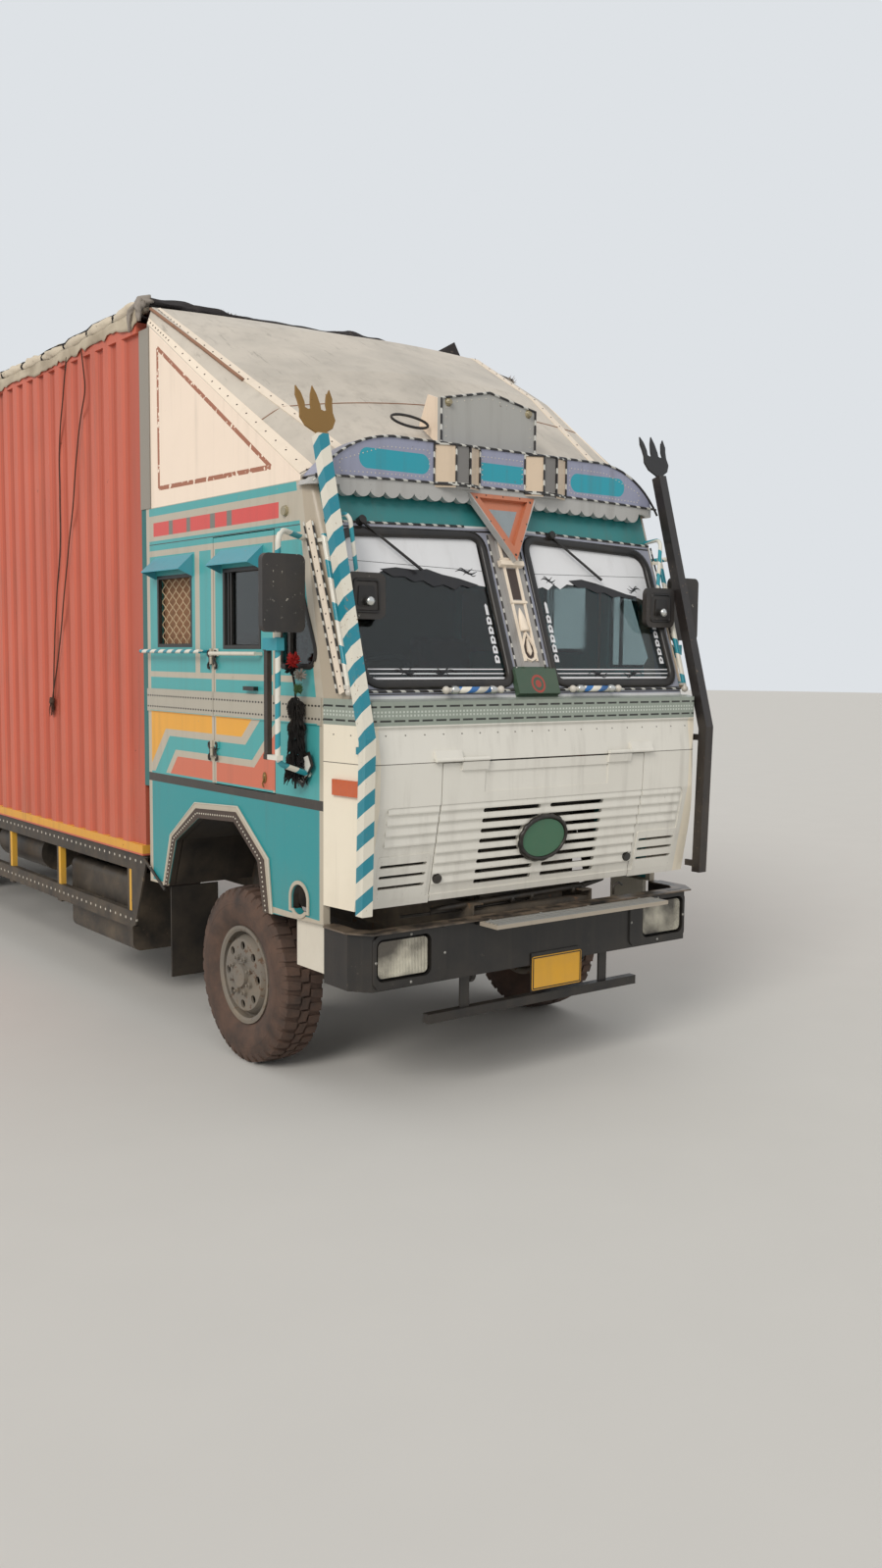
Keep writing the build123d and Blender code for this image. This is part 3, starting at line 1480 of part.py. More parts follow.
with BuildPart() as container_sides:
    with BuildSketch(level_plane(box_floor)):
        with BuildLine():
            points = [(box_half - box_wall, box_front), (box_half, box_front), (box_half, rib_start)]
            for rib in range(rib_count):
                back = rib_start + rib * box_rib_pitch
                points += [
                    (box_half + box_rib, back + 26), (box_half + box_rib, back + 104),
                    (box_half, back + 130), (box_half, back + box_rib_pitch),
                ]
            points += [(box_half, box_back), (box_half - box_wall, box_back)]
            Polyline(*points, close=True)
        make_face()
    extrude(amount=box_top - box_floor)
    for low in (box_floor - rail_depth, box_top - rail_depth):
        with BuildSketch(front_plane(box_front)):
            rectangle_between(box_half - box_wall, low, box_half + box_rib, low + rail_depth)
        extrude(amount=-(box_back - box_front))
    mirror(about=Plane.YZ)
container_sides.part.label = "container_sides"
export_step(container_sides.part, "parts/container_sides.step")


# Container front wall and roof
with BuildPart() as container_front:
    with BuildSketch(front_plane(box_front)):
        rectangle_between(-box_half + box_wall, box_floor - rail_depth, box_half - box_wall, box_top)
    extrude(amount=-60)
container_front.part.label = "container_front"
export_step(container_front.part, "parts/container_front.step")

with BuildPart() as container_roof:
    with BuildSketch(level_plane(box_top - 30)):
        rectangle_between(-box_half + box_wall, box_front + 60, box_half - box_wall, box_back - 60)
    extrude(amount=30)
container_roof.part.label = "container_roof"
export_step(container_roof.part, "parts/container_roof.step")

# Rear frame round the cargo doors
with BuildPart() as container_rear_frame:
    with BuildSketch(front_plane(box_back - 60)):
        rectangle_between(-box_half + box_wall, box_floor - rail_depth, box_half - box_wall, box_top)
        rectangle_between(-box_half + 100, box_floor + 35, box_half - 100, box_top - 120, mode=Mode.SUBTRACT)
    extrude(amount=-60)
container_rear_frame.part.label = "container_rear_frame"
export_step(container_rear_frame.part, "parts/container_rear_frame.step")


# Cargo doors with lock rods, hinged at the rear corners
cargo_pin_x = 1222
cargo_pin_back = box_back + 56
cargo_sheet = 40
cargo_low = box_floor + 10
cargo_high = box_top - 60
cargo_hinges = (1400, 2250, 3100, 3950)

for side, sign in (("right", -1), ("left", 1)):
    with BuildPart() as cargo_door:
        with BuildSketch(front_plane(box_back + 6)):
            rectangle_between(min(sign * 5, sign * 1192), cargo_low, max(sign * 5, sign * 1192), cargo_high)
        extrude(amount=-cargo_sheet)
        for x in (330, 860):
            with Locations((sign * x, nose + box_back + 6 + cargo_sheet + 12, (cargo_low + cargo_high) / 2)):
                Cylinder(13, cargo_high - cargo_low - 40)
        for height in cargo_hinges:
            with Locations((sign * cargo_pin_x, nose + cargo_pin_back, height)):
                Cylinder(9, 60)
            with Locations((sign * 1150, nose + box_back + 6 + cargo_sheet + 6, height)):
                Box(140, 14, 50)
    cargo_door.part.label = f"cargo_door_{side}"
    export_step(cargo_door.part, f"parts/cargo_door_{side}.step")


# Tarpaulin folded over the container's roof
with BuildPart() as tarpaulin:
    with BuildSketch(side_plane(0)):
        with BuildLine():
            Polyline((box_front - 15, box_top + 1), (box_front - 15, 4415), (box_front + 300, 4430),
                     (box_front + 2400, 4385), (box_back - 10, 4380), (box_back - 10, box_top + 1), close=True)
        make_face()
    extrude(amount=1215, both=True)
tarpaulin.part.label = "tarpaulin"
export_step(tarpaulin.part, "parts/tarpaulin.step")


# Two loose ropes that hang down the box's right side and meet in a knot near their ends
rope_radius = 5
# distance back and height of each bend, from the roof's edge down
long_rope_x = -1239
long_rope_route = (
    (3236, 4296), (3200, 4165), (3174, 4030), (3238, 3918), (3291, 3800), (3334, 3660), (3374, 3520),
    (3401, 3375), (3440, 3232), (3492, 3098), (3531, 2955), (3577, 2813), (3621, 2670), (3656, 2522),
    (3702, 2380), (3751, 2240), (3812, 2108), (3862, 1985), (3876, 1880),
)
short_rope_x = -1227
short_rope_route = (
    (3520, 4300), (3562, 4170), (3594, 4035), (3640, 3900), (3668, 3760), (3684, 3615), (3677, 3470),
    (3684, 3325), (3680, 3180), (3692, 3035), (3724, 2895), (3764, 2760), (3786, 2620), (3818, 2480),
    (3832, 2340), (3852, 2200), (3860, 2080), (3872, 1985),
)


def rope_points(across, route):
    return [Vector(across, nose + back, height) for back, height in route]


def bend_radii(points):
    """Radius of the arc at each bend, from the shorter run beside it and the turn."""
    radii = []
    for before, bend, after in zip(points, points[1:], points[2:]):
        shorter = min((bend - before).length, (after - bend).length)
        turn = radians((bend - before).get_angle(after - bend))
        radii.append(0.45 * shorter / tan(turn / 2))
    return radii


long_rope_points = rope_points(long_rope_x, long_rope_route)
print("rope_long radii", [round(radius) for radius in bend_radii(long_rope_points)])

with BuildPart() as rope_long:
    with BuildLine() as long_rope_line:
        FilletPolyline(*long_rope_points, radius=bend_radii(long_rope_points))
    with BuildSketch(Plane(origin=long_rope_line.line @ 0, z_dir=long_rope_line.line % 0)):
        Circle(rope_radius)
    sweep(path=long_rope_line.line)
rope_long.part.label = "rope_long"
export_step(rope_long.part, "parts/rope_long.step")
long_rope_length = long_rope_line.wire().length
print("rope_long length", round(long_rope_length), "volume", round(rope_long.part.volume),
      "section x length", round(long_rope_length * pi * rope_radius ** 2))


short_rope_points = rope_points(short_rope_x, short_rope_route)
print("rope_short radii", [round(radius) for radius in bend_radii(short_rope_points)])

with BuildPart() as rope_short:
    with BuildLine() as short_rope_line:
        FilletPolyline(*short_rope_points, radius=bend_radii(short_rope_points))
    with BuildSketch(Plane(origin=short_rope_line.line @ 0, z_dir=short_rope_line.line % 0)):
        Circle(rope_radius)
    sweep(path=short_rope_line.line)
rope_short.part.label = "rope_short"
export_step(rope_short.part, "parts/rope_short.step")
short_rope_length = short_rope_line.wire().length
print("rope_short length", round(short_rope_length), "volume", round(rope_short.part.volume),
      "section x length", round(short_rope_length * pi * rope_radius ** 2))


# Cloth tassel that hangs beside the right quarter window
tassel_x = -1250
# distance back, height, radius
tassel_sections = ((563, 2318, 12), (545, 2230, 27), (505, 1980, 33), (488, 1640, 28))

with BuildPart() as tassel:
    for back, height, radius in tassel_sections:
        with BuildSketch(level_plane(height)):
            with Locations((tassel_x, back)):
                Circle(radius)
    loft()
tassel.part.label = "tassel"
export_step(tassel.part, "parts/tassel.step")
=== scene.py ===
import random
from math import exp, atan, cos, pi, radians, sin, tau

import bmesh
import bpy
from mathutils.bvhtree import BVHTree
from mathutils import Matrix, Vector, noise


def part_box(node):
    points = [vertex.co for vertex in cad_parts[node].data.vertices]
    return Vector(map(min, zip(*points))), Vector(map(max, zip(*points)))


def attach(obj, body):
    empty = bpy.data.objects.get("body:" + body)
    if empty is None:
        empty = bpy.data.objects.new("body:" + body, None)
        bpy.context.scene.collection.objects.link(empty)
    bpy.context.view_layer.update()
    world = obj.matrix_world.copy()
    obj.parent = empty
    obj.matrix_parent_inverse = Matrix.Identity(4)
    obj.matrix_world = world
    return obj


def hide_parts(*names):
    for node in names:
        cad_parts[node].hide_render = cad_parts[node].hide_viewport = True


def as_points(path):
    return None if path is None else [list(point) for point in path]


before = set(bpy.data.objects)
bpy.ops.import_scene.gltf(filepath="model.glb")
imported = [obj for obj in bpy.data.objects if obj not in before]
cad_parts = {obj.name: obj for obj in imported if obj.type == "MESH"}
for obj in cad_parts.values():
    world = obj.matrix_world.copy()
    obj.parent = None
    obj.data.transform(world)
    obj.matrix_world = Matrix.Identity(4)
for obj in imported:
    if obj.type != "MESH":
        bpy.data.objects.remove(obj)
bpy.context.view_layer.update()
scene = bpy.context.scene
scene.view_settings.view_transform = "Standard"
random.seed(11)
print("frame loaded")


# Truck layout: distances are measured back from the front panel, heights from the ground, in metres
truck = {
    "nose": -5.966,
    "cabHalf": 1.2,
    "wheelHeight": 0.505,
    "frontAxle": 1.275,
    "rearAxle": 8.005,
    "boxHalf": 1.195,
    "boxFront": 2.43,
    "boxBack": 12.03,
    "screenSlope": 0.365,
    "screenBase": 2.105,
    "screenFoot": 0.08,
}


def at(x, back, height):
    return Vector((x, truck["nose"] + back, height))


def tone(red, green, blue):
    # a colour as a paint card gives it, 0 to 255, as the linear value that a shader takes
    values = (channel / 255 for channel in (red, green, blue))
    return (*(value / 12.92 if value <= 0.04045 else ((value + 0.055) / 1.055) ** 2.4
              for value in values), 1.0)


# Mesh helpers
def finishPiece(name, build, material, body="truck", smooth=False, outward=True):
    # every form becomes a piece of the scene here, riding on its body, with its faces turned outwards
    if outward:
        bmesh.ops.recalc_face_normals(build, faces=build.faces)
    mesh = bpy.data.meshes.new(name)
    build.to_mesh(mesh)
    build.free()
    if material:
        mesh.materials.append(finish[material])
    if smooth:
        mesh.polygons.foreach_set("use_smooth", [True] * len(mesh.polygons))
    piece = bpy.data.objects.new(name, mesh)
    scene.collection.objects.link(piece)
    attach(piece, body)
    return piece


def addBlock(build, low, high, bevel=0.0):
    # a block between two corners, with its edges eased
    low, high = Vector(low), Vector(high)
    size = high - low
    matrix = Matrix.Translation((low + high) / 2) @ Matrix.Diagonal((*size, 1.0))
    made = bmesh.ops.create_cube(build, size=1.0, matrix=matrix)
    if bevel:
        edges = {edge for vertex in made["verts"] for edge in vertex.link_edges}
        bmesh.ops.bevel(build, geom=list(edges), offset=bevel, segments=2, affect="EDGES")


def addRing(build, centre, across, upright, radius, sides):
    turns = [tau * step / sides for step in range(sides)]
    spots = [centre + across * (cos(turn) * radius) + upright * (sin(turn) * radius) for turn in turns]
    return [build.verts.new(spot) for spot in spots]


def joinRings(build, rings, around=True, closed=False, capped=False):
    # faces from each ring or row of vertices to the next one
    for span in range(len(rings) - (not closed)):
        first, second = rings[span], rings[(span + 1) % len(rings)]
        for step in range(len(first) - (not around)):
            following = (step + 1) % len(first)
            build.faces.new((first[step], first[following], second[following], second[step]))
    if capped:
        build.faces.new(rings[0][::-1])
        build.faces.new(rings[-1])


def addPath(build, points, radius, sides=10, closed=False):
    # a round bar along points, mitred at its corners
    points = [Vector(point) for point in points]
    count = len(points)
    rings = []
    across = None
    for index, point in enumerate(points):
        if closed:
            before, after = points[index - 1], points[(index + 1) % count]
        else:
            before, after = points[max(index - 1, 0)], points[min(index + 1, count - 1)]
        direction = (after - before).normalized()
        if across is None:
            across = direction.orthogonal().normalized()
        across = (across - direction * across.dot(direction)).normalized()
        upright = direction.cross(across)
        size = radius[index] if isinstance(radius, (list, tuple)) else radius
        rings.append(addRing(build, point, across, upright, size, sides))
    joinRings(build, rings, closed=closed, capped=not closed)


def addTurned(build, profile, centre, steps, axis="X"):
    # a profile of (along the axis, radius) pairs turned round an axis through the centre
    rings = []
    for along, radius in profile:
        ring = []
        for step in range(steps):
            first, second = cos(tau * step / steps) * radius, sin(tau * step / steps) * radius
            offset = {"X": (along, first, second), "Y": (first, along, second),
                      "Z": (first, second, along)}[axis]
            ring.append(build.verts.new(Vector(centre) + Vector(offset)))
        rings.append(ring)
    joinRings(build, rings)
    return rings


def addPrism(build, front, rear):
    # a solid between two outlines that have as many corners
    front, rear = ([build.verts.new(corner) for corner in outline] for outline in (front, rear))
    build.faces.new(front)
    build.faces.new(rear[::-1])
    for index in range(len(front)):
        following = (index + 1) % len(front)
        build.faces.new((front[following], front[index], rear[index], rear[following]))


def addPlate(build, outline, thickness):
    # a flat plate: an outline of points pushed through by a thickness vector
    addPrism(build, outline, [Vector(point) + Vector(thickness) for point in outline])


def addMoulding(build, path, section, place, closed=False):
    # a strip of one section, (offset across, height over the surface), laid along a path on a surface
    count = len(path)
    rings = []
    for index, here in enumerate(path):
        here = Vector(here)
        before = Vector(path[index - 1]) if closed or index else None
        after = Vector(path[(index + 1) % count]) if closed or index + 1 < count else None
        leaving = (after - here).normalized() if after is not None else (here - before).normalized()
        coming = (here - before).normalized() if before is not None else leaving
        middle = (coming + leaving).normalized()
        side = Vector((-middle.y, middle.x)) / max(0.6, middle.dot(leaving))
        rings.append([build.verts.new(place(here.x + side.x * offset, here.y + side.y * offset, proud))
                      for offset, proud in section])
    joinRings(build, rings, closed=closed, capped=not closed)


def roundedOutline(corners, radius, steps=6):
    # a closed outline with every corner rounded to its own or the same radius
    outline = []
    for index, corner in enumerate(corners):
        here = Vector(corner)
        size = radius[index] if isinstance(radius, (list, tuple)) else radius
        before = (Vector(corners[index - 1]) - here).normalized()
        after = (Vector(corners[(index + 1) % len(corners)]) - here).normalized()
        start, end = here + before * size, here + after * size
        for step in range(steps + 1):
            share = step / steps
            outline.append(tuple(start.lerp(here, share).lerp(here.lerp(end, share), share)))
    return outline


def addFlat(build, outline, thickness, place, proud=0.0):
    # a thin flat shape lying on a surface
    levels = (proud + thickness, proud)
    addPrism(build, *([place(across, up, level) for across, up in outline] for level in levels))


def corners(left, right, low, high):
    return (left, low), (right, low), (right, high), (left, high)


def roundSection(radius, lift=0.0):
    return [(cos(tau * step / 8) * radius, lift + sin(tau * step / 8) * radius) for step in range(8)]


def ridge(foot, top, low, high):
    # section of a raised strip: half widths and heights of its foot and its top
    return (-foot, low), (-top, high), (top, high), (foot, low)


def addDome(build, centre, radius, outward, rise=0.5, sides=8):
    # a rivet head, screw or bead on a surface
    outward = Vector(outward).normalized()
    across = outward.orthogonal().normalized()
    upright = outward.cross(across)
    rings = []
    for share in (0.0, 0.55, 0.9):
        ring = radius * cos(share * pi / 2)
        lift = radius * rise * sin(share * pi / 2)
        rings.append(addRing(build, Vector(centre) + outward * lift, across, upright, ring, sides))
    joinRings(build, rings)
    build.faces.new(rings[-1])
    build.faces.new(rings[0][::-1])


def addStrand(build, root, tip, bulge, width, steps=3):
    # one three-sided strand of yarn from its root to its tip, bowed by a vector
    root, tip, bulge = Vector(root), Vector(tip), Vector(bulge)
    shares = [step / steps for step in range(steps + 1)]
    points = [root.lerp(tip, share) + bulge * (4 * share * (1 - share)) for share in shares]
    addPath(build, points, [width * (1 - 0.7 * share) for share in shares], sides=3)


def onSide(sign):
    # a surface place on one side wall: distance back, height, proud of the wall
    return lambda back, height, proud=0.0: at(sign * (truck["cabHalf"] + proud), back, height)


def onScreen(x, up, proud=0.0):
    # a surface place on the leaning windscreen wall: across, up the slope, proud of it
    lean = atan(truck["screenSlope"])
    back = truck["screenFoot"] + up * sin(lean) - proud * cos(lean)
    return at(x, back, truck["screenBase"] + up * cos(lean) + proud * sin(lean))


# Camera at the photo's angle, worked out from the truck's known widths and heights
photoCamera = {
    "place": (-4.746, -11.266, 2.319),
    "turn": 37.29,  # degrees from straight along the truck
    "dip": 5.494,  # degrees below level
    "lean": 0.5,
    "lens": 30.44,  # mm, on a long side of 36 mm
}


def makeCamera(settings):
    turn, dip, lean = (radians(settings[key]) for key in ("turn", "dip", "lean"))
    ahead = Vector((sin(turn) * cos(dip), cos(turn) * cos(dip), -sin(dip)))
    level = Vector((cos(turn), -sin(turn), 0.0))
    above = level.cross(ahead)
    right = level * cos(lean) + above * sin(lean)
    up = above * cos(lean) - level * sin(lean)
    data = bpy.data.cameras.new("photoCamera")
    data.lens = settings["lens"]
    data.sensor_width = 36
    data.clip_end = 400
    camera = bpy.data.objects.new("photoCamera", data)
    facing = Matrix((right, up, -ahead)).transposed().to_4x4()
    camera.matrix_world = Matrix.Translation(settings["place"]) @ facing
    scene.collection.objects.link(camera)
    scene.camera = camera


makeCamera(photoCamera)
print("camera placed")


# Two loose ropes on the box's right side, (distance back, height) from the roof's edge down,
# tied in one knot with a frayed end
ropeLook = {
    "radius": 0.005,
    "longX": -1.239,
    "shortX": -1.227,
    "longLength": 2.538,
    "shortLength": 2.354,
    "knotTurns": 5,
    "frays": 26,
    "step": 0.005,  # between places along a strand
    "lay": 0.042,  # one full turn of the strands
}
longRoute = (
    (3.236, 4.296), (3.2, 4.165), (3.174, 4.03), (3.238, 3.918), (3.291, 3.8), (3.334, 3.66), (3.374, 3.52),
    (3.401, 3.375), (3.44, 3.232), (3.492, 3.098), (3.531, 2.955), (3.577, 2.813), (3.621, 2.67),
    (3.656, 2.522),
    (3.702, 2.38), (3.751, 2.24), (3.812, 2.108), (3.862, 1.985), (3.876, 1.88),
)
shortRoute = (
    (3.52, 4.3), (3.562, 4.17), (3.594, 4.035), (3.64, 3.9), (3.668, 3.76), (3.684, 3.615), (3.677, 3.47),
    (3.684, 3.325), (3.68, 3.18), (3.692, 3.035), (3.724, 2.895), (3.764, 2.76), (3.786, 2.62), (3.818, 2.48),
    (3.832, 2.34), (3.852, 2.2), (3.86, 2.08), (3.872, 1.985),
)


def makeRope(name, node, across, route):
    # the route's smooth line, which three strands wind round
    curve = bpy.data.curves.new(name + "Route", "CURVE")
    curve.dimensions = "3D"
    curve.resolution_u = 8
    spline = curve.splines.new("NURBS")
    spline.points.add(len(route) - 1)
    for point, (back, height) in zip(spline.points, route):
        point.co = (*at(across, back, height), 1.0)
    spline.order_u = 3
    spline.use_endpoint_u = True
    guide = bpy.data.objects.new(name + "Route", curve)
    line = bpy.data.meshes.new_from_object(guide)
    spots = [vertex.co.copy() for vertex in line.vertices]
    bpy.data.meshes.remove(line)
    bpy.data.objects.remove(guide)
    bpy.data.curves.remove(curve)
    centres, travelled = [], [0.0]
    for first, second in zip(spots, spots[1:]):
        steps = max(1, round((second - first).length / ropeLook["step"]))
        centres += [first.lerp(second, step / steps) for step in range(steps)]
    centres.append(spots[-1])
    for first, second in zip(centres, centres[1:]):
        travelled.append(travelled[-1] + (second - first).length)
    build = bmesh.new()
    outward = Vector((1, 0, 0))
    for strand in range(3):
        wound = []
        for number, (centre, reach) in enumerate(zip(centres, travelled)):
            run = (centres[min(number + 1, len(centres) - 1)] - centres[max(number - 1, 0)]).normalized()
            across1 = (outward - run * outward.dot(run)).normalized()
            across2 = run.cross(across1)
            turn = tau * (reach / ropeLook["lay"] + strand / 3)
            wound.append(centre + (across1 * cos(turn) + across2 * sin(turn)) * ropeLook["radius"] * 0.54)
        addPath(build, wound, ropeLook["radius"] * 0.47, sides=6)
    rope = finishPiece(name, build, None, smooth=True)
    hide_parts(node)
    return rope, spots


def makeKnot():
    # turns of yarn round both ropes where they meet
    build = bmesh.new()
    turns = ropeLook["knotTurns"]
    for turn in range(turns):
        height = 1.998 - turn * 0.0085
        swell = 0.004 * sin(pi * (turn + 0.5) / turns)
        ring = [at(-1.2385 + cos(tau * step / 14) * (0.0115 + swell),
                   3.867 + sin(tau * step / 14) * (0.0155 + swell),
                   height + 0.0045 * sin(tau * step / 14 + turn)) for step in range(14)]
        addPath(build, ring, 0.0048, sides=7, closed=True)
    return finishPiece("ropeKnot", build, None, smooth=True)


def makeFrays():
    # loose yarns below the knot
    build = bmesh.new()
    for _ in range(ropeLook["frays"]):
        turn, spread, drop = random.uniform(0, tau), random.uniform(0.004, 0.02), random.uniform(0.055, 0.105)
        root = at(-1.2385 + cos(turn) * 0.006, 3.869 + sin(turn) * 0.008, 1.968)
        tip = root + Vector((cos(turn) * spread * 0.7, sin(turn) * spread, -drop))
        addStrand(build, root, tip, (cos(turn) * 0.006, sin(turn) * 0.01, 0), 0.0024, steps=4)
    return finishPiece("ropeFrays", build, None, smooth=True)


ropeLong, longLine = makeRope("ropeLong", "rope_long", ropeLook["longX"], longRoute)
ropeShort, shortLine = makeRope("ropeShort", "rope_short", ropeLook["shortX"], shortRoute)
ropeKnot = makeKnot()
ropeFrays = makeFrays()
at(ropeLook["longX"], *longRoute[0])
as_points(longLine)
at(ropeLook["shortX"], *shortRoute[0])
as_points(shortLine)
print("ropes hung")


# Node helpers: every material and node group below is put together with these
def wireMath(operation, swapped=False):
    def work(self, other=0.0):
        first, second = (other, self) if swapped else (self, other)
        node = addNode(self.tree, "ShaderNodeMath", {0: first, 1: second}, operation=operation)
        return Wire(node.outputs[0])
    return work


class Wire:
    # a node's output that sums can be written with: each operation adds one math node to its tree
    __add__, __radd__ = wireMath("ADD"), wireMath("ADD", True)
    __sub__, __rsub__ = wireMath("SUBTRACT"), wireMath("SUBTRACT", True)
    __mul__, __rmul__ = wireMath("MULTIPLY"), wireMath("MULTIPLY", True)
    __truediv__, __lt__, __gt__ = wireMath("DIVIDE"), wireMath("LESS_THAN"), wireMath("GREATER_THAN")
    __abs__, fract, sine, root = (wireMath(name) for name in ("ABSOLUTE", "FRACT", "SINE", "SQRT"))
    larger, smaller, angle = (wireMath(name) for name in ("MAXIMUM", "MINIMUM", "ARCTAN2"))

    def __init__(self, socket):
        self.socket = socket
        self.tree = socket.id_data

    def clamped(self):
        self.socket.node.use_clamp = True
        return self

    def between(self, low, high):
        return useGroup(self.tree, band, {"Value": self, "Low": low, "High": high})["Mask"]


def addNode(tree, kind, inputs=None, **settings):
    node = tree.nodes.new(kind)
    for name, value in settings.items():
        setattr(node, name, value)
    for socket, value in (inputs or {}).items():
        if isinstance(value, Wire):
            tree.links.new(value.socket, node.inputs[socket])
        else:
            node.inputs[socket].default_value = value
    return node


def link(value, node, socket):
    node.id_data.links.new(value.socket, node.inputs[socket])


def mixTone(mask, first, second):
    return Wire(addNode(mask.tree, "ShaderNodeMix", {0: mask, 6: first, 7: second},
                        data_type="RGBA").outputs[2])


def useGroup(tree, group, inputs):
    node = addNode(tree, "ShaderNodeGroup", inputs, node_tree=group)
    return {socket.name: Wire(socket) for socket in node.outputs}


def startGroup(name, inputs, outputs):
    group = bpy.data.node_groups.new(name, "ShaderNodeTree")
    for way, label in [("INPUT", label) for label in inputs] + [("OUTPUT", label) for label in outputs]:
        kind = "NodeSocketColor" if "Color" in label else "NodeSocketFloat"
        socket = group.interface.new_socket(label, in_out=way, socket_type=kind)
        if way == "INPUT" and inputs[label] is not None:
            socket.default_value = inputs[label]
    wires = {socket.name: Wire(socket) for socket in group.nodes.new("NodeGroupInput").outputs if socket.name}
    return group, wires, group.nodes.new("NodeGroupOutput")


def startMaterial(name, values):
    material = bpy.data.materials.new(name)
    material.use_nodes = True
    tree = material.node_tree
    tree.nodes.clear()
    output = tree.nodes.new("ShaderNodeOutputMaterial")
    shader = tree.nodes.new("ShaderNodeBsdfPrincipled")
    tree.links.new(shader.outputs["BSDF"], output.inputs["Surface"])
    for socket, value in values.items():
        shader.inputs[socket].default_value = value
    return material, shader


def objectPlace(tree):
    return Wire(tree.nodes.new("ShaderNodeTexCoord").outputs["Object"])


def apart(place):
    return [Wire(socket) for socket in addNode(place.tree, "ShaderNodeSeparateXYZ", {0: place}).outputs]


def splitPlace(place):
    x, along, height = apart(place)
    return x, along - truck["nose"], height


def cloudy(place, scale, detail, rough=0.5):
    inputs = {"Vector": place, "Scale": scale, "Detail": detail, "Roughness": rough}
    return Wire(addNode(place.tree, "ShaderNodeTexNoise", inputs).outputs[0])


def stretched(place, factors):
    return Wire(addNode(place.tree, "ShaderNodeVectorMath", {0: place, 1: factors},
                        operation="MULTIPLY").outputs[0])


def addBump(shader, height, strength, distance):
    inputs = {"Height": height, "Strength": strength, "Distance": distance}
    link(Wire(addNode(shader.id_data, "ShaderNodeBump", inputs).outputs["Normal"]), shader, "Normal")


def dashRow(along, height, centre, width, pitch, fill):
    return useGroup(along.tree, dashes, {"Along": along, "Height": height, "Centre": centre, "Width": width,
                                         "Pitch": pitch, "Fill": fill})["Mask"]


# Shared effects, one node group each
def makeCoating(name, label, colour, values, maskOf):
    # an effect that lays its own colour over another one, through a mask
    group, inputs, output = startGroup(name, {"Color": None, label: colour, **values}, ("Color", "Mask"))
    mask = maskOf(objectPlace(group), inputs).clamped()
    link(mixTone(mask, inputs["Color"], inputs[label]), output, "Color")
    link(mask, output, "Mask")
    return group


def dustMask(place, inputs):
    # dust that lies thickest near the road and thins out upwards
    low = (1.0 - apart(place)[2] / inputs["Reach"]).clamped()
    broken = ((cloudy(place, inputs["Grain"], 7.0, 0.62) - 0.28) * 2.2).clamped()
    return broken * (low * 0.9 + 0.12) * inputs["Amount"]


def streakMask(place, inputs):
    # dirt drawn down in narrow runs
    runs = cloudy(stretched(place, (1.0, 1.0, 0.07)), inputs["Scale"], 5.0, 0.6)
    broken = ((cloudy(place, 1.3, 3.0) - 0.3) * 2.4).clamped()
    return ((runs - 0.5) * 4.0).clamped() * broken * inputs["Amount"]


def chipMask(place, inputs):
    # flakes gone from a paint, down to what is under it
    flakes = cloudy(place, inputs["Scale"], 9.0, 0.66)
    limit = 0.86 - cloudy(place, 2.1, 4.0) * 0.6 * inputs["Amount"]
    return (flakes - limit * 0.86) * 18.0


def makeFineGrain():
    # small unevenness of a brushed or rolled coat, with broad dents behind it
    group, inputs, output = startGroup("fineGrain", {"Scale": 90.0, "Dents": 0.5}, ("Height", "Shade"))
    place = objectPlace(group)
    grain = cloudy(place, inputs["Scale"], 4.0)
    link(grain * 0.25 + cloudy(place, 2.6, 2.0) * inputs["Dents"], output, "Height")
    link(grain, output, "Shade")
    return group


def makeWeave():
    # crossing threads that carry on round an edge, because back and height are counted together
    group, inputs, output = startGroup("clothWeave", {"Threads": 500.0}, ("Height", "Shade"))
    x, along, height = apart(objectPlace(group))
    threads = (x * inputs["Threads"]).sine() * ((along + height) * inputs["Threads"]).sine()
    link(threads * 0.5 + 0.5, output, "Height")
    link(cloudy(objectPlace(group), 4.0, 6.0), output, "Shade")
    return group


def makeBand():
    # 1 where a value lies between two limits
    group, inputs, output = startGroup("band", {"Value": 0.0, "Low": 0.0, "High": 1.0}, ("Mask",))
    link((inputs["Value"] > inputs["Low"]) * (inputs["Value"] < inputs["High"]), output, "Mask")
    return group


def makeDashes():
    # a row of dashes along one line
    group, inputs, output = startGroup("dashes", {"Along": 0.0, "Height": 0.0, "Centre": 0.0, "Width": 0.01,
                                                  "Pitch": 0.06, "Fill": 0.6}, ("Mask",))
    on = (inputs["Along"] / inputs["Pitch"]).fract() < inputs["Fill"]
    line = abs(inputs["Height"] - inputs["Centre"]) < inputs["Width"] * 0.5
    link(on * line, output, "Mask")
    return group


roadDust = makeCoating("roadDust", "Dust Color", tone(150, 132, 108),
                       {"Amount": 0.5, "Reach": 1.5, "Grain": 5.0}, dustMask)
rainStreaks = makeCoating("rainStreaks", "Streak Color", tone(92, 82, 70), {"Amount": 0.4, "Scale": 14.0},
                          streakMask)
paintChips = makeCoating("paintChips", "Bare Color", tone(96, 66, 48), {"Amount": 0.3, "Scale": 22.0},
                         chipMask)
fineGrain = makeFineGrain()
clothWeave = makeWeave()
band = makeBand()
dashes = makeDashes()
print("shared effects made")


def rectangle(across, height, limits):
    left, right, low, high = limits
    return across.between(left, right) * height.between(low, high)


def ellipse(across, height, shape):
    middle, level, half, rise = shape
    first, second = (across - middle) / half, (height - level) / rise
    return first * first + second * second < 1.0


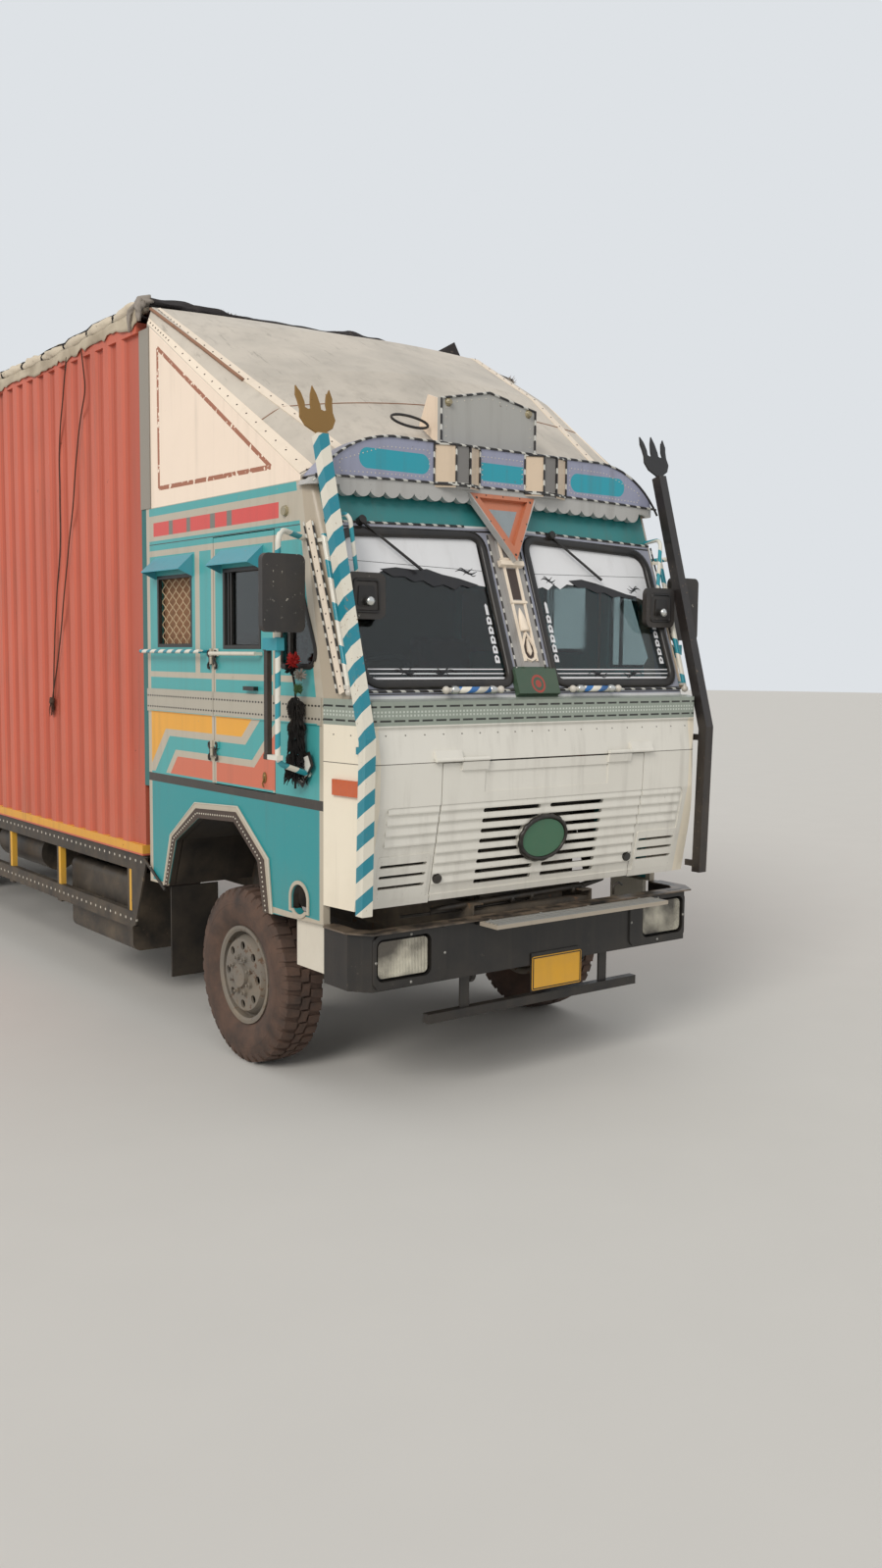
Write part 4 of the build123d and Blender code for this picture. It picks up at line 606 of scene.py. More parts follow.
def weather(shader, colour, look):
    # the wear that every finish gets, each with its own amounts
    tree = shader.id_data
    chips = useGroup(tree, paintChips, {"Color": colour, "Bare Color": look["bare"], "Amount": look["chips"],
                                        "Scale": look.get("chipScale", 22.0)})
    streaks = useGroup(tree, rainStreaks, {"Color": chips["Color"], "Amount": look["streaks"]})
    dust = useGroup(tree, roadDust, {"Color": streaks["Color"], "Amount": look["dust"],
                                     "Reach": look["reach"]})
    link(dust["Color"], shader, "Base Color")
    grain = useGroup(tree, fineGrain, {"Scale": look.get("grain", 90.0), "Dents": look.get("dents", 0.5)})
    addBump(shader, grain["Height"] - chips["Mask"] * 0.5, look.get("bump", 0.25), 0.004)
    worn = (dust["Mask"] + chips["Mask"] * 0.6).clamped()
    rough = (look["rough"] + worn * (0.9 - look["rough"])).clamped()
    link(rough + (grain["Shade"] - 0.5) * 0.12, shader, "Roughness")


def wear(bare, rough, chips, streaks, dust, reach, **more):
    # what shows under the paint, roughness, and how much is chipped, streaked and dusty, up to what height
    return {"bare": tone(*bare), "rough": rough, "chips": chips, "streaks": streaks, "dust": dust,
            "reach": reach, **more}


# Plain finishes: paint colour and its wear
plainFinishes = {
    "chassisPaint": ((46, 44, 42), wear((104, 74, 52), 0.62, 0.55, 0.3, 0.85, 1.6)),
    "engineIron": ((74, 72, 70), wear((96, 62, 42), 0.7, 0.6, 0.3, 0.6, 2.0)),
    "blackSteel": ((30, 29, 29), wear((92, 80, 68), 0.48, 0.35, 0.25, 0.5, 1.5)),
    "rimPaint": ((112, 108, 102), wear((84, 56, 40), 0.55, 0.6, 0.2, 0.7, 1.4)),
    "dashPlastic": ((52, 50, 48), wear((40, 38, 36), 0.6, 0.0, 0.0, 0.3, 4.0, grain=320.0)),
    "cabInside": ((120, 112, 100), wear((92, 84, 74), 0.65, 0.2, 0.2, 0.3, 3.0)),
    "creamPaint": ((240, 226, 208), wear((150, 120, 96), 0.5, 0.12, 0.22, 0.1, 4.0)),
    "plateYellow": ((226, 168, 40), wear((150, 120, 70), 0.5, 0.2, 0.2, 0.4, 1.2)),
    "brass": ((146, 112, 62), wear((92, 70, 44), 0.42, 0.35, 0.2, 0.1, 5.0, metal=0.55)),
    "rubberTrim": ((24, 23, 23), wear((60, 56, 50), 0.55, 0.1, 0.1, 0.15, 3.5, grain=200.0)),
    "whiteEnamel": ((222, 220, 212), wear((120, 108, 92), 0.4, 0.3, 0.25, 0.12, 3.0)),
    "galvanised": ((150, 150, 146), wear((110, 84, 62), 0.45, 0.3, 0.3, 0.2, 3.0, metal=0.6)),
    "ropeFibre": ((74, 52, 42), wear((44, 32, 28), 0.85, 0.3, 0.0, 0.2, 5.0, grain=700.0, bump=0.6)),
    "blackYarn": ((20, 19, 22), wear((34, 31, 34), 0.9, 0.2, 0.0, 0.12, 4.0, grain=900.0)),
    "redCloth": ((196, 44, 42), wear((120, 26, 30), 0.85, 0.2, 0.0, 0.1, 4.0, grain=600.0)),
    "greenYarn": ((74, 104, 62), wear((44, 62, 44), 0.9, 0.2, 0.0, 0.15, 4.0, grain=900.0)),
    "greyCloth": ((150, 142, 134), wear((92, 84, 78), 0.85, 0.4, 0.2, 0.2, 4.0, grain=600.0)),
    "blackEnamel": ((24, 23, 24), wear((70, 60, 50), 0.35, 0.18, 0.15, 0.15, 3.5)),
    "brownBand": ((62, 48, 42), wear((120, 104, 88), 0.5, 0.3, 0.2, 0.3, 2.0)),
    "paleBead": ((206, 200, 186), wear((150, 138, 120), 0.4, 0.2, 0.1, 0.2, 2.5)),
    "meshWire": ((206, 184, 150), wear((130, 104, 80), 0.5, 0.4, 0.1, 0.1, 4.0)),
    "meshBoard": ((142, 104, 76), wear((104, 76, 58), 0.8, 0.4, 0.4, 0.2, 4.0)),
    "chrome": ((206, 206, 202), wear((120, 104, 88), 0.16, 0.12, 0.1, 0.12, 2.5, metal=0.95)),
    "stripWhite": ((226, 228, 232), wear((190, 188, 184), 0.35, 0.14, 0.18, 0.05, 5.0)),
    "stripBlack": ((24, 24, 28), wear((60, 60, 64), 0.3, 0.1, 0.1, 0.05, 5.0)),
    "rustCord": ((150, 112, 90), wear((96, 66, 50), 0.8, 0.4, 0.3, 0.1, 6.0)),
    "clothRoll": ((214, 202, 182), wear((132, 114, 94), 0.85, 0.45, 0.35, 0.05, 6.0, grain=500.0, dents=1.4,
                                        bump=0.5)),
    "blackRag": ((44, 41, 43), wear((92, 84, 78), 0.9, 0.35, 0.3, 0.08, 6.0, grain=500.0, dents=1.4,
                                    bump=0.5)),
}


def makePlainFinish(name, colour, look):
    material, shader = startMaterial(name, {"Metallic": look.get("metal", 0.0)})
    shade = ((cloudy(objectPlace(shader.id_data), 3.0, 5.0) - 0.4) * 0.6).clamped()
    weather(shader, mixTone(shade, tone(*colour), darker(tone(*colour), 0.78)), look)
    return material


def darker(colour, share):
    return tuple(channel * share for channel in colour[:3]) + (1.0,)


finish = {name: makePlainFinish(name, colour, look) for name, (colour, look) in plainFinishes.items()}
for piece in (ropeLong, ropeShort, ropeKnot, ropeFrays):
    piece.data.materials.append(finish["ropeFibre"])
print("plain finishes made")


def layered(colour, paints, layers):
    # one paint after another over a colour, each through its own mask
    for mask, paint in layers:
        colour = mixTone(mask, colour, paints[paint])
    return colour


# Each painted finish has a function that gives its colour from the place on the truck. First the cab
# side: teal with beige lining, the belt, a red band and stepped stripes on the door and behind it
sidePaint = {
    "upperTeal": tone(70, 166, 168), "lowerTeal": tone(30, 146, 152), "beige": tone(188, 179, 162),
    "yellow": tone(234, 168, 50), "coral": tone(208, 110, 82), "red": tone(216, 72, 66),
    "greyGap": tone(118, 116, 108), "dark": tone(48, 44, 40), "belt": tone(178, 172, 158),
    "hood": tone(70, 158, 176), "white": tone(220, 214, 200), "black": tone(14, 13, 13),
}
# parts that stand out from the wall: paint, back from, back to, height from, height to
proudAreas = (
    ("beige", 0.3, 2.2, 0.8, 1.5), ("hood", 0.8, 2.3, 2.75, 2.912),
    ("white", 0.92, 1.47, 2.29, 2.36), ("black", 0.96, 1.12, 2.12, 2.158),
)
# paint, back from, back to, height from, height to
sideAreas = (
    ("lowerTeal", 0.3, 2.37, 0.8, 1.56), ("beige", 0.3, 2.37, 3.14, 3.148), ("beige", 0.3, 2.37, 3.196, 3.21),
    ("beige", 0.3, 2.37, 3.0, 3.15), ("red", 0.765, 2.26, 3.026, 3.108),
    ("greyGap", 1.998, 2.05, 3.026, 3.108), ("greyGap", 1.77, 1.818, 3.026, 3.108),
    ("greyGap", 1.467, 1.526, 3.026, 3.108), ("greyGap", 1.272, 1.329, 3.026, 3.108),
    ("dark", 0.3, 2.37, 2.976, 2.981), ("beige", 0.3, 2.37, 2.907, 2.942), ("beige", 2.318, 2.37, 0.8, 3.2),
    ("beige", 1.66, 1.718, 2.21, 2.91), ("beige", 1.47, 1.52, 1.59, 2.91), ("beige", 0.806, 0.83, 1.59, 2.91),
    ("beige", 0.62, 2.37, 2.18, 2.214), ("beige", 0.3, 0.368, 0.9, 1.975),
    ("beige", 0.3, 2.37, 0.88, 0.918), ("beige", 0.3, 0.84, 0.94, 0.972),
)
# stepped boundaries from the rear: paint in front of it, height of the step, its rear and its front corner
steppedStripes = (
    ("beige", 1.868, 2.12, 1.176), ("upperTeal", 1.827, 2.067, 1.132),
    ("beige", 1.748, 1.989, 1.056), ("coral", 1.709, 1.964, 1.035),
)
stripeField = (0.806, 2.318, 1.6, 1.972)
rearLean = -0.9  # how far a boundary moves forward for each metre up, at its rear end
frontLean = -1.15  # and at its front end


def sideColour(x, back, height, place):
    def areas(rows, also=None):
        for paint, left, right, low, high in rows:
            mask = rectangle(back, height, (left, right, low, high))
            yield (also * mask if also else mask), paint

    def stripes():
        # in front of the rear slope, and below the level run or in front of the front slope
        for paint, step, rearCorner, frontCorner in steppedStripes:
            rise = height - step
            aheadOfFront = back < rise * frontLean + frontCorner
            yield (back < rise * rearLean + rearCorner) * (rise < 0.0).larger(aheadOfFront), paint

    side = abs(x)
    # lining that follows the raked front edge of the side above the belt
    edge = (height - 1.97) * 0.1732 + 0.327
    lining = (back - edge).between(-0.05, 0.05) * (height > 1.97)
    colour = layered(sidePaint["upperTeal"], sidePaint, (*areas(sideAreas), (lining, "beige")))
    striped = layered(sidePaint["yellow"], sidePaint, stripes())
    colour = mixTone(rectangle(back, height, stripeField), colour, striped)
    return layered(colour, sidePaint, (
        (rectangle(back, height, (1.47, 1.52, 1.59, 1.972)), "beige"),
        (height.between(1.976, 2.109), "belt"),
        *((dashRow(back, height, centre, 0.01, 0.032, 0.55), "dark") for centre in (2.0, 2.066)),
        (height.between(1.537, 1.588), "dark"),
        *areas(proudAreas, side > truck["cabHalf"] + 0.0035),
        ((side < 1.168) * (height < 0.962), "white"),  # the step board
        ((side < truck["cabHalf"] - 0.0015) * rectangle(back, height, (0.83, 2.2, 0.8, 1.45)), "dark"),
        ((side < truck["cabHalf"] - 0.006) * rectangle(back, height, (0.477, 0.638, 0.998, 1.136)), "black"),
    ))


# Front panel and hatch: off-white with the belt along its top and the pressed lines of the panel
frontPaint = {
    "white": tone(228, 226, 218), "warm": tone(210, 207, 198), "corner": tone(240, 231, 212),
    "seam": tone(92, 88, 80),
    "belt": tone(148, 158, 148), "bead": tone(196, 204, 196), "dash": tone(34, 38, 36),
    "boss": tone(58, 112, 84),
    "lock": tone(26, 26, 27),
}
bossDisc = (0.0, 1.35, 0.152, 0.111)  # middle across and up, half width, half height
lockDiscs = (1.184 - 0.502, 1.184, 0.027, 0.027)


def frontColour(x, back, height, place):
    warm = ((cloudy(place, 1.6, 4.0) - 0.35) * 0.9).clamped()
    along = x + back
    return layered(frontPaint["white"], frontPaint, (
        (warm, "warm"),
        (abs(x) > 1.096, "corner"),
        (height.between(1.7885, 1.7925), "seam"),
        (height.between(1.978, 2.2), "belt"),
        *((dashRow(along, height, centre, 0.01, 0.085, 0.78), "dash") for centre in (2.002, 2.072)),
        *((dashRow(along, height, centre, 0.01, 0.022, 0.5), "bead") for centre in (2.028, 2.046)),
        (dashRow(along, height, 1.93, 0.007, 0.118, 0.07), "seam"),
        (ellipse(x, height, bossDisc), "boss"),
        (ellipse(abs(x), height, lockDiscs), "lock"),
    ))


# Windscreen wall: pale blue-grey, with the teal name band left bare above the panes; the band's teal is
# deeper than the visor's, partly painted shadow of the visor's overhang
screenPaint = {
    "wall": tone(150, 154, 170), "teal": tone(38, 124, 126), "white": tone(206, 208, 210),
    "dark": tone(36, 36, 38),
    "weathered": tone(178, 166, 148), "pillar": tone(158, 156, 154), "boxGreen": tone(56, 84, 66),
    "boxRed": tone(168, 56, 46),
}
# the box at the pillar's foot carries a plain red sun: middle height, disc, ring
footMotif = (2.178, 0.02, (0.036, 0.048))


def screenColour(x, back, height, place):
    side = abs(x)
    droop = height + side * 0.03
    middle, disc, ring = footMotif
    off = height - middle
    away = (off * off + x * x).root()
    return layered(screenPaint["wall"], screenPaint, (
        # partly painted shadow: the name band under the visor's overhang is a deeper teal than the visor's
        (droop.between(3.03, 3.4), "teal"),
        (droop.between(3.018, 3.03), "white"),
        (droop.between(2.996, 3.006), "dark"),
        (height.between(2.107, 2.12), "white"),
        (height.between(2.126, 2.132), "dark"),
        (height.between(2.15, 2.156), "dark"),
        (side > 1.145, "weathered"),
        ((side < 0.112) * (height < 2.985), "pillar"),
        (rectangle(x, height, (-0.152, 0.152, 2.09, 2.268)), "boxGreen"),
        ((away < disc).larger(away.between(*ring)), "boxRed"),
    ))


# Visor and attic board: lavender grey with dashed piping along the edges and bare teal name fields
visorPaint = {
    "lavender": tone(150, 154, 178), "silver": tone(178, 178, 176), "teal": tone(24, 158, 178),
    "cream": tone(216, 196, 172), "dark": tone(40, 38, 40), "piping": tone(206, 206, 200),
    "pebble": tone(122, 120, 118), "orange": tone(192, 116, 84), "slate": tone(140, 152, 158),
}
# centre x, half width, centre height, half height
visorOvals = ((-0.722, 0.222, 3.322, 0.052), (0.722, 0.215, 3.318, 0.052))
visorTablet = (-0.15, 0.15, 3.32 - 0.048, 3.32 + 0.048)


def stadium(x, height, centre, half, middle, rise):
    # a field with half-round ends
    past = (abs(x - centre) - (half - rise)).larger(0.0)
    off = height - middle
    return past * past + off * off < rise * rise


def hangingTriangle(side, height, slope, tip, top):
    # inside a triangle that hangs on its point in the middle
    return (side < (height - tip) * slope) * (height < top)


def visorColour(x, back, height, place):
    side = abs(x)
    arched = height + side * side * 0.0165
    post = (arched > 3.215) * (back < 0.3995) * (side < 0.475)
    return layered(visorPaint["lavender"], visorPaint, (
        (arched < 3.232, "silver"),
        (post, "cream"),
        (post * side.between(0.262, 0.358), "dark"),
        (post * side.between(0.27, 0.35), "pebble"),
        *((stadium(x, height, *oval), "teal") for oval in visorOvals),
        (rectangle(x, height, visorTablet), "teal"),
        (arched.between(3.229, 3.243), "piping"),
        (dashRow(x, arched, 3.236, 0.012, 0.075, 0.72), "dark"),
        (hangingTriangle(side, height, 0.64, 2.843, 3.202), "orange"),
        (hangingTriangle(side, height, 0.65, 2.966, 3.12), "slate"),
    ))


# Roof fairing: cream sides with a faded brown outline, weathered sheet on top with brown edges
fairingPaint = {
    "cream": tone(250, 232, 214), "sheet": tone(206, 198, 186), "stain": tone(172, 166, 156),
    "brown": tone(168, 108, 82), "grime": tone(128, 120, 110), "flange": tone(148, 142, 132),
}
outlineTriangle = ((2.18, 4.131), (2.177, 3.309), (0.844, 3.295))


def lineMask(back, height, start, end, width):
    # 1 near the straight line between two points of the side
    run, rise = end[0] - start[0], end[1] - start[1]
    length = (run ** 2 + rise ** 2) ** 0.5
    run, rise = run / length, rise / length
    away = (back - start[0]) * -rise + (height - start[1]) * run
    along = (back - start[0]) * run + (height - start[1]) * rise
    return (abs(away) < width / 2) * along.between(0.0, length)


def fairingColour(x, back, height, place):
    side = abs(x) > 1.1985
    stained = ((cloudy(place, 1.4, 7.0, 0.6) - 0.42) * 3.0).clamped()
    scratch = ((cloudy(stretched(place, (9.0, 1.1, 1.1)), 3.0, 8.0, 0.7) - 0.6) * 6.0).clamped()
    sheet = layered(fairingPaint["sheet"], fairingPaint, ((stained, "stain"), (scratch, "grime")))
    faded = cloudy(place, 26.0, 5.0) > 0.4
    ends = zip(outlineTriangle, outlineTriangle[1:] + outlineTriangle[:1])
    lines = ((lineMask(back, height, start, end, 0.026) * faded, "brown") for start, end in ends)
    cream = layered(fairingPaint["cream"], fairingPaint, lines)
    return layered(mixTone(side, sheet, cream), fairingPaint, ((side * (back > 2.286), "flange"),))


# Container: faded orange-red sheet with painted shade in the valleys of its corrugation, and a yellow line
# along the bottom rail
containerPaint = {"red": tone(206, 104, 80), "faded": tone(190, 88, 66), "dark": tone(150, 66, 50),
                  "yellow": tone(226, 164, 60)}


def containerColour(x, back, height, place):
    rail = rectangle(back, height, (truck["boxFront"] - 0.01, truck["boxBack"] + 0.01, 1.062, 1.117))
    return layered(containerPaint["red"], containerPaint, (
        (((cloudy(place, 0.9, 6.0) - 0.35) * 1.6).clamped(), "faded"),
        # painted shade: the valleys, set back from the ridges, are darkened by a third towards the dark tone
        ((abs(x) < truck["boxHalf"] + 0.012) * 0.35, "dark"),
        (rail * (abs(x) > 1.15), "yellow"),
    ))


# Corner poles: slanting checks on the right one, black on the left one, brass and black tridents
poleLook = {"pitch": 0.158, "slant": 0.65, "teal": tone(18, 132, 152), "white": tone(226, 222, 208),
            "black": tone(34, 30, 30), "brass": tone(150, 114, 62)}


def poleColour(x, back, height, place):
    # how far a place lies behind the tube's front face, which leans back above its bend
    lean = (height - 1.915).larger(0.0) * 0.2848
    drop = (height - 1.06).smaller(0.855) * -0.029
    behind = back - (lean + drop + -0.06)
    along = height + (behind - x) * poleLook["slant"]
    return layered(poleLook["white"], poleLook, (
        ((along / poleLook["pitch"]).fract() < 0.48, "teal"),
        (x > 0.0, "black"),
        ((height > 3.405) * (x < 0.0), "brass"),
    ))


# Grab rails: two paints wound round the bar
railLook = {
    "pitch": 0.115,
    "bandPitch": 0.21,
    "sideBar": (1.255, 2.336),  # x and height of the side bar's middle
    "frontBar": (0.03, 2.15),  # back and height of the front bar's middle
    "balls": (-0.66, -0.3, 0.21, 0.555),
    "blue": tone(40, 110, 180), "teal": tone(24, 140, 158), "white": tone(232, 228, 216),
    "silver": tone(206, 200, 190),
}


def spiral(along, first, second, middle):
    turn = along / railLook["pitch"] + (second - middle[1]).angle(first - middle[0]) / tau
    return turn.fract() < 0.45


def railColour(x, back, height, place):
    side = abs(x)
    onSideBar = mixTone(spiral(back, side, height, railLook["sideBar"]), railLook["white"], railLook["teal"])
    onFrontBar = mixTone(spiral(x, back, height, railLook["frontBar"]), railLook["white"], railLook["blue"])
    colour = mixTone(side > 1.1, onFrontBar, onSideBar)
    colour = layered(colour, railLook, ((abs(x - ball) < 0.03, "silver") for ball in railLook["balls"]))
    banded = ((height + x * 0.5) / railLook["bandPitch"]).fract() < 0.42
    tube = layered(railLook["white"], railLook, ((banded, "teal"), (height < 2.175, "silver")))
    return mixTone((side > 1.1) * (back < 0.9), colour, tube)


# Mirrors: black heads, banded teal and white tubes, a teal clamp and a worn black bar
mirrorPaint = {
    "head": tone(44, 42, 42), "teal": tone(34, 148, 164), "white": tone(224, 222, 212),
    "bar": tone(40, 32, 29),
    "bandPitch": 0.15,
    # heads: across from and to, height from and to, back from and to
    "heads": ((1.295, 1.545, 2.425, 2.815, 0.335, 0.382), (0.915, 1.165, 2.49, 2.735, 0.18, 0.2235)),
}


def mirrorColour(x, back, height, place):
    side = abs(x)
    outer = side > 1.38
    return layered(mirrorPaint["white"], mirrorPaint, (
        (((height + side * 0.8) / mirrorPaint["bandPitch"]).fract() < 0.5, "teal"),
        (outer * height.between(2.338, 2.406), "teal"),
        (outer * (back.between(0.4795, 0.56) * height.between(1.795, 2.345)), "bar"),
        *((rectangle(side, height, head[:4]) * back.between(*head[4:]), "head")
          for head in mirrorPaint["heads"]),
    ))


# Lamps: silvered lenses with upright flutes, orange, red and olive ones elsewhere, and headlamp bowls with
# painted reflections
lampPaint = {"lens": tone(176, 172, 160), "orange": tone(206, 88, 24), "red": tone(168, 26, 20),
             "olive": tone(150, 138, 104), "flutes": 700.0}


def makeLampPaint():
    material, shader = startMaterial("lampPaint", {"Coat Weight": 0.8, "Coat Roughness": 0.06})
    place = objectPlace(shader.id_data)
    x, back, height = splitPlace(place)
    ahead = back < 0.3
    colour = layered(lampPaint["lens"], lampPaint, (
        (ahead * (height > 1.5), "orange"), (height > 2.9, "olive"), (back > 11.0, "red")))
    headLamp = ahead * (height < 1.2)
    # painted reflections: bright and dark patches over the headlamp bowls
    paintedReflection = ((cloudy(place, 6.0, 3.0) - 0.4) * 3.0).clamped()
    colour = mixTone(headLamp, colour, mixTone(paintedReflection, tone(84, 82, 78), tone(236, 232, 214)))
    dust = useGroup(shader.id_data, roadDust, {"Color": colour, "Amount": 0.35, "Reach": 1.5})
    link(dust["Color"], shader, "Base Color")
    addBump(shader, ((x + back) * lampPaint["flutes"]).sine(), 0.5, 0.002)
    link(headLamp * 0.75, shader, "Metallic")
    link(dust["Mask"] * 0.5 + 0.16, shader, "Roughness")
    return material


# Bumper: black channel, a shelf worn to bare brown and the aluminium step plate
bumperLook = {"black": tone(27, 27, 28), "shelf": tone(112, 98, 84), "plate": tone(168, 158, 144)}


def bumperColour(x, back, height, place):
    worn = ((cloudy(place, 9.0, 8.0) - 0.34) * 4.0).clamped()
    return layered(bumperLook["black"], bumperLook, (
        ((height > 0.9515) * worn, "shelf"), ((back < -0.027) * (height > 0.928), "plate")))


# Attic board: silver face, cream cheeks; rear wall: grey cloth inside, dark teal edge strips outside, darker
# than the cab side's teal, partly painted shade of the gap in front of the box
def atticColour(x, back, height, place):
    return mixTone(back > 0.5445, tone(172, 172, 168), tone(236, 216, 194))


def rearWallColour(x, back, height, place):
    # the edge strips' dark teal is partly painted shade: they face the box across a shaded gap
    return mixTone(abs(x) > 1.154, tone(120, 112, 100), tone(28, 106, 106))


# Dashed piping: black and white lengths in turn along an edge
def pipingColour(x, back, height, place):
    return mixTone(((x + back + height) / 0.085).fract() < 0.66, tone(204, 204, 198), tone(30, 29, 31))


# Guard rails: black with a row of small painted dots, yellow on the posts
guardLook = {"black": tone(30, 29, 29), "yellow": tone(232, 176, 46), "dot": tone(206, 202, 190),
             "dotPitch": 0.082,
             "dotRadius": 0.009, "dotRows": (1.0, 0.606), "posts": (2.69, 3.91, 4.91, 5.91, 6.91)}


def guardColour(x, back, height, place):
    def dots():
        for row in guardLook["dotRows"]:
            across = ((back / guardLook["dotPitch"]).fract() - 0.5) * guardLook["dotPitch"]
            off = height - row
            yield across * across + off * off < guardLook["dotRadius"] ** 2, "dot"

    posts = ((rectangle(back, height, (post - 0.036, post + 0.004, 0.66, 0.935)), "yellow")
             for post in guardLook["posts"])
    return layered(guardLook["black"], guardLook, (*posts, *dots()))


# Tyre rubber: dusty brown walls, the dust in patches
def makeTyreRubber():
    material, shader = startMaterial("tyreRubber", {})
    place = objectPlace(shader.id_data)
    dusty = ((cloudy(place, 7.0, 8.0, 0.65) - 0.25) * 1.7).clamped()
    link(mixTone(dusty, tone(52, 44, 40), tone(110, 84, 70)), shader, "Base Color")
    link(dusty * 0.2 + 0.72, shader, "Roughness")
    addBump(shader, cloudy(place, 160.0, 5.0), 0.3, 0.002)
    return material


# Cloths: the tarpaulin's coated canvas and the seats' woven cover
def makeCloth(name, light, dark, threads, rough):
    material, shader = startMaterial(name, {"Sheen Weight": 0.15, "Specular IOR Level": 0.3})
    weave = useGroup(shader.id_data, clothWeave, {"Threads": threads})
    soiled = ((weave["Shade"] - 0.36) * 2.6).clamped()
    link(mixTone(weave["Height"] * 0.25, mixTone(soiled, light, dark), dark), shader, "Base Color")
    addBump(shader, weave["Height"], 0.35, 0.001)
    link(soiled * 0.12 + rough, shader, "Roughness")
    return material


def makeGlass(name, colour, rough):
    material, shader = startMaterial(name, {"Transmission Weight": 1.0, "IOR": 1.46, "Metallic": 0.0})
    dirty = ((cloudy(objectPlace(shader.id_data), 3.5, 6.0) - 0.45) * 0.5).clamped()
    link(mixTone(dirty, colour, darker(colour, 0.8)), shader, "Base Color")
    link((dirty + rough).clamped(), shader, "Roughness")
    return material


def makePaint(name, colourOf, coat, coatRough, look):
    values = {"Coat Weight": coat, "Coat Roughness": coatRough} if coatRough else {"Coat Weight": coat}
    material, shader = startMaterial(name, values if coat else {})
    place = objectPlace(shader.id_data)
    weather(shader, colourOf(*splitPlace(place), place), look)
    return material


# material name, its colour function, weight and roughness of a clear coat, and the wear
paintedFinishes = {
    "sidePaint": ("cabSidePaint", sideColour, 0.15, 0.25,
                  wear((170, 150, 128), 0.36, 0.26, 0.3, 0.35, 1.4, dents=1.0, chipScale=34.0)),
    "frontPaint": ("frontPanelPaint", frontColour, 0.2, 0.2,
                   wear((120, 92, 70), 0.34, 0.16, 0.32, 0.35, 1.5, dents=1.1, chipScale=30.0)),
    "screenPaint": ("screenWallPaint", screenColour, 0.15, 0.25,
                    wear((120, 104, 88), 0.4, 0.24, 0.4, 0.2, 3.6, dents=0.6, chipScale=36.0)),
    "visorPaint": ("visorPaint", visorColour, 0.2, 0.2,
                   wear((108, 96, 86), 0.36, 0.28, 0.45, 0.12, 4.5, dents=0.6, chipScale=40.0)),
    "fairingPaint": ("fairingPaint", fairingColour, 0, 0,
                     wear((140, 112, 90), 0.5, 0.14, 0.3, 0.1, 5.0, dents=1.2, chipScale=26.0)),
    "containerPaint": ("containerPaint", containerColour, 0, 0,
                       wear((110, 62, 44), 0.5, 0.22, 0.5, 0.3, 1.9, dents=1.4, chipScale=18.0)),
    "polePaint": ("polePaint", poleColour, 0.1, 0, wear((150, 124, 96), 0.38, 0.42, 0.25, 0.25, 2.0,
                                                        dents=0.3, chipScale=60.0)),
    "railPaint": ("railPaint", railColour, 0.2, 0, wear((120, 104, 86), 0.32, 0.3, 0.1, 0.1, 3.0, dents=0.1,
                                                        chipScale=80.0)),
    "guardPaint": ("guardPaint", guardColour, 0, 0, wear((96, 84, 70), 0.5, 0.35, 0.3, 0.55, 1.6)),
    "mirrorPaint": ("mirrorPaint", mirrorColour, 0, 0,
                    wear((196, 190, 178), 0.45, 0.34, 0.2, 0.2, 4.0, chipScale=34.0)),
    "bumperWorn": ("bumperWornPaint", bumperColour, 0, 0, wear((84, 78, 70), 0.36, 0.3, 0.25, 0.16, 1.0)),
    "atticPaint": ("atticPaint", atticColour, 0.1, 0, wear((120, 104, 90), 0.42, 0.2, 0.4, 0.1, 5.0)),
    "rearWallPaint": ("rearWallPaint", rearWallColour, 0, 0, wear((92, 84, 74), 0.5, 0.2, 0.3, 0.3, 3.0)),
    "piping": ("dashedPiping", pipingColour, 0.2, 0, wear((120, 110, 98), 0.4, 0.25, 0.2, 0.15, 3.5,
                                                          chipScale=50.0)),
}
finish.update({key: makePaint(*values) for key, values in paintedFinishes.items()})
finish["lampPaint"] = makeLampPaint()
finish["tyreRubber"] = makeTyreRubber()
finish["canvas"] = makeCloth("tarpaulinCanvas", tone(206, 194, 172), tone(140, 126, 106), 1200.0, 0.75)
finish["seatCloth"] = makeCloth("seatCloth", tone(112, 44, 40), tone(62, 26, 26), 1500.0, 0.8)
finish["windowGlass"] = makeGlass("windowGlass", tone(176, 190, 190), 0.02)
print("painted finishes made")


# Which frame pieces get which finish
nodeFinish = {
    "chassisPaint": "chassis_frame radiator leaf_springs front_axle rear_axle propshaft knuckle_right "
                    "knuckle_left tie_rod cab_floor container_floor",
    "engineIron": "engine", "blackSteel": "side_tanks rear_bumper", "guardPaint": "side_guards",
    "rubberTrim": "wheel_guards wipers", "bumperWorn": "front_bumper", "lampPaint": "lamps",
    "sidePaint": "cab_sides door_right door_left", "rearWallPaint": "cab_rear_wall", "creamPaint": "cab_roof",
    "frontPaint": "cab_front hatch", "screenPaint": "windscreen_frame", "visorPaint": "visor",
    "windowGlass": "cab_glass door_glass_right door_glass_left", "atticPaint": "attic_board",
    "fairingPaint": "roof_fairing", "seatCloth": "seats", "cabInside": "seat_boxes",
    "dashPlastic": "dashboard steering_wheel", "polePaint": "corner_poles", "mirrorPaint": "mirrors",
    "railPaint": "grab_rails", "canvas": "tarpaulin",
    "containerPaint": "container_sides container_front container_roof container_rear_frame cargo_door_right "
                      "cargo_door_left",
    "rimPaint": "front_rim_right front_rim_left rear_rims_right rear_rims_left",
    "tyreRubber": "spare_wheel front_tyre_right front_tyre_left rear_tyres_right rear_tyres_left",
}
for name, nodes in nodeFinish.items():
    for node in nodes.split():
        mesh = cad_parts[node].data
        mesh.materials.clear()
        mesh.materials.append(finish[name])
print("frame pieces finished")


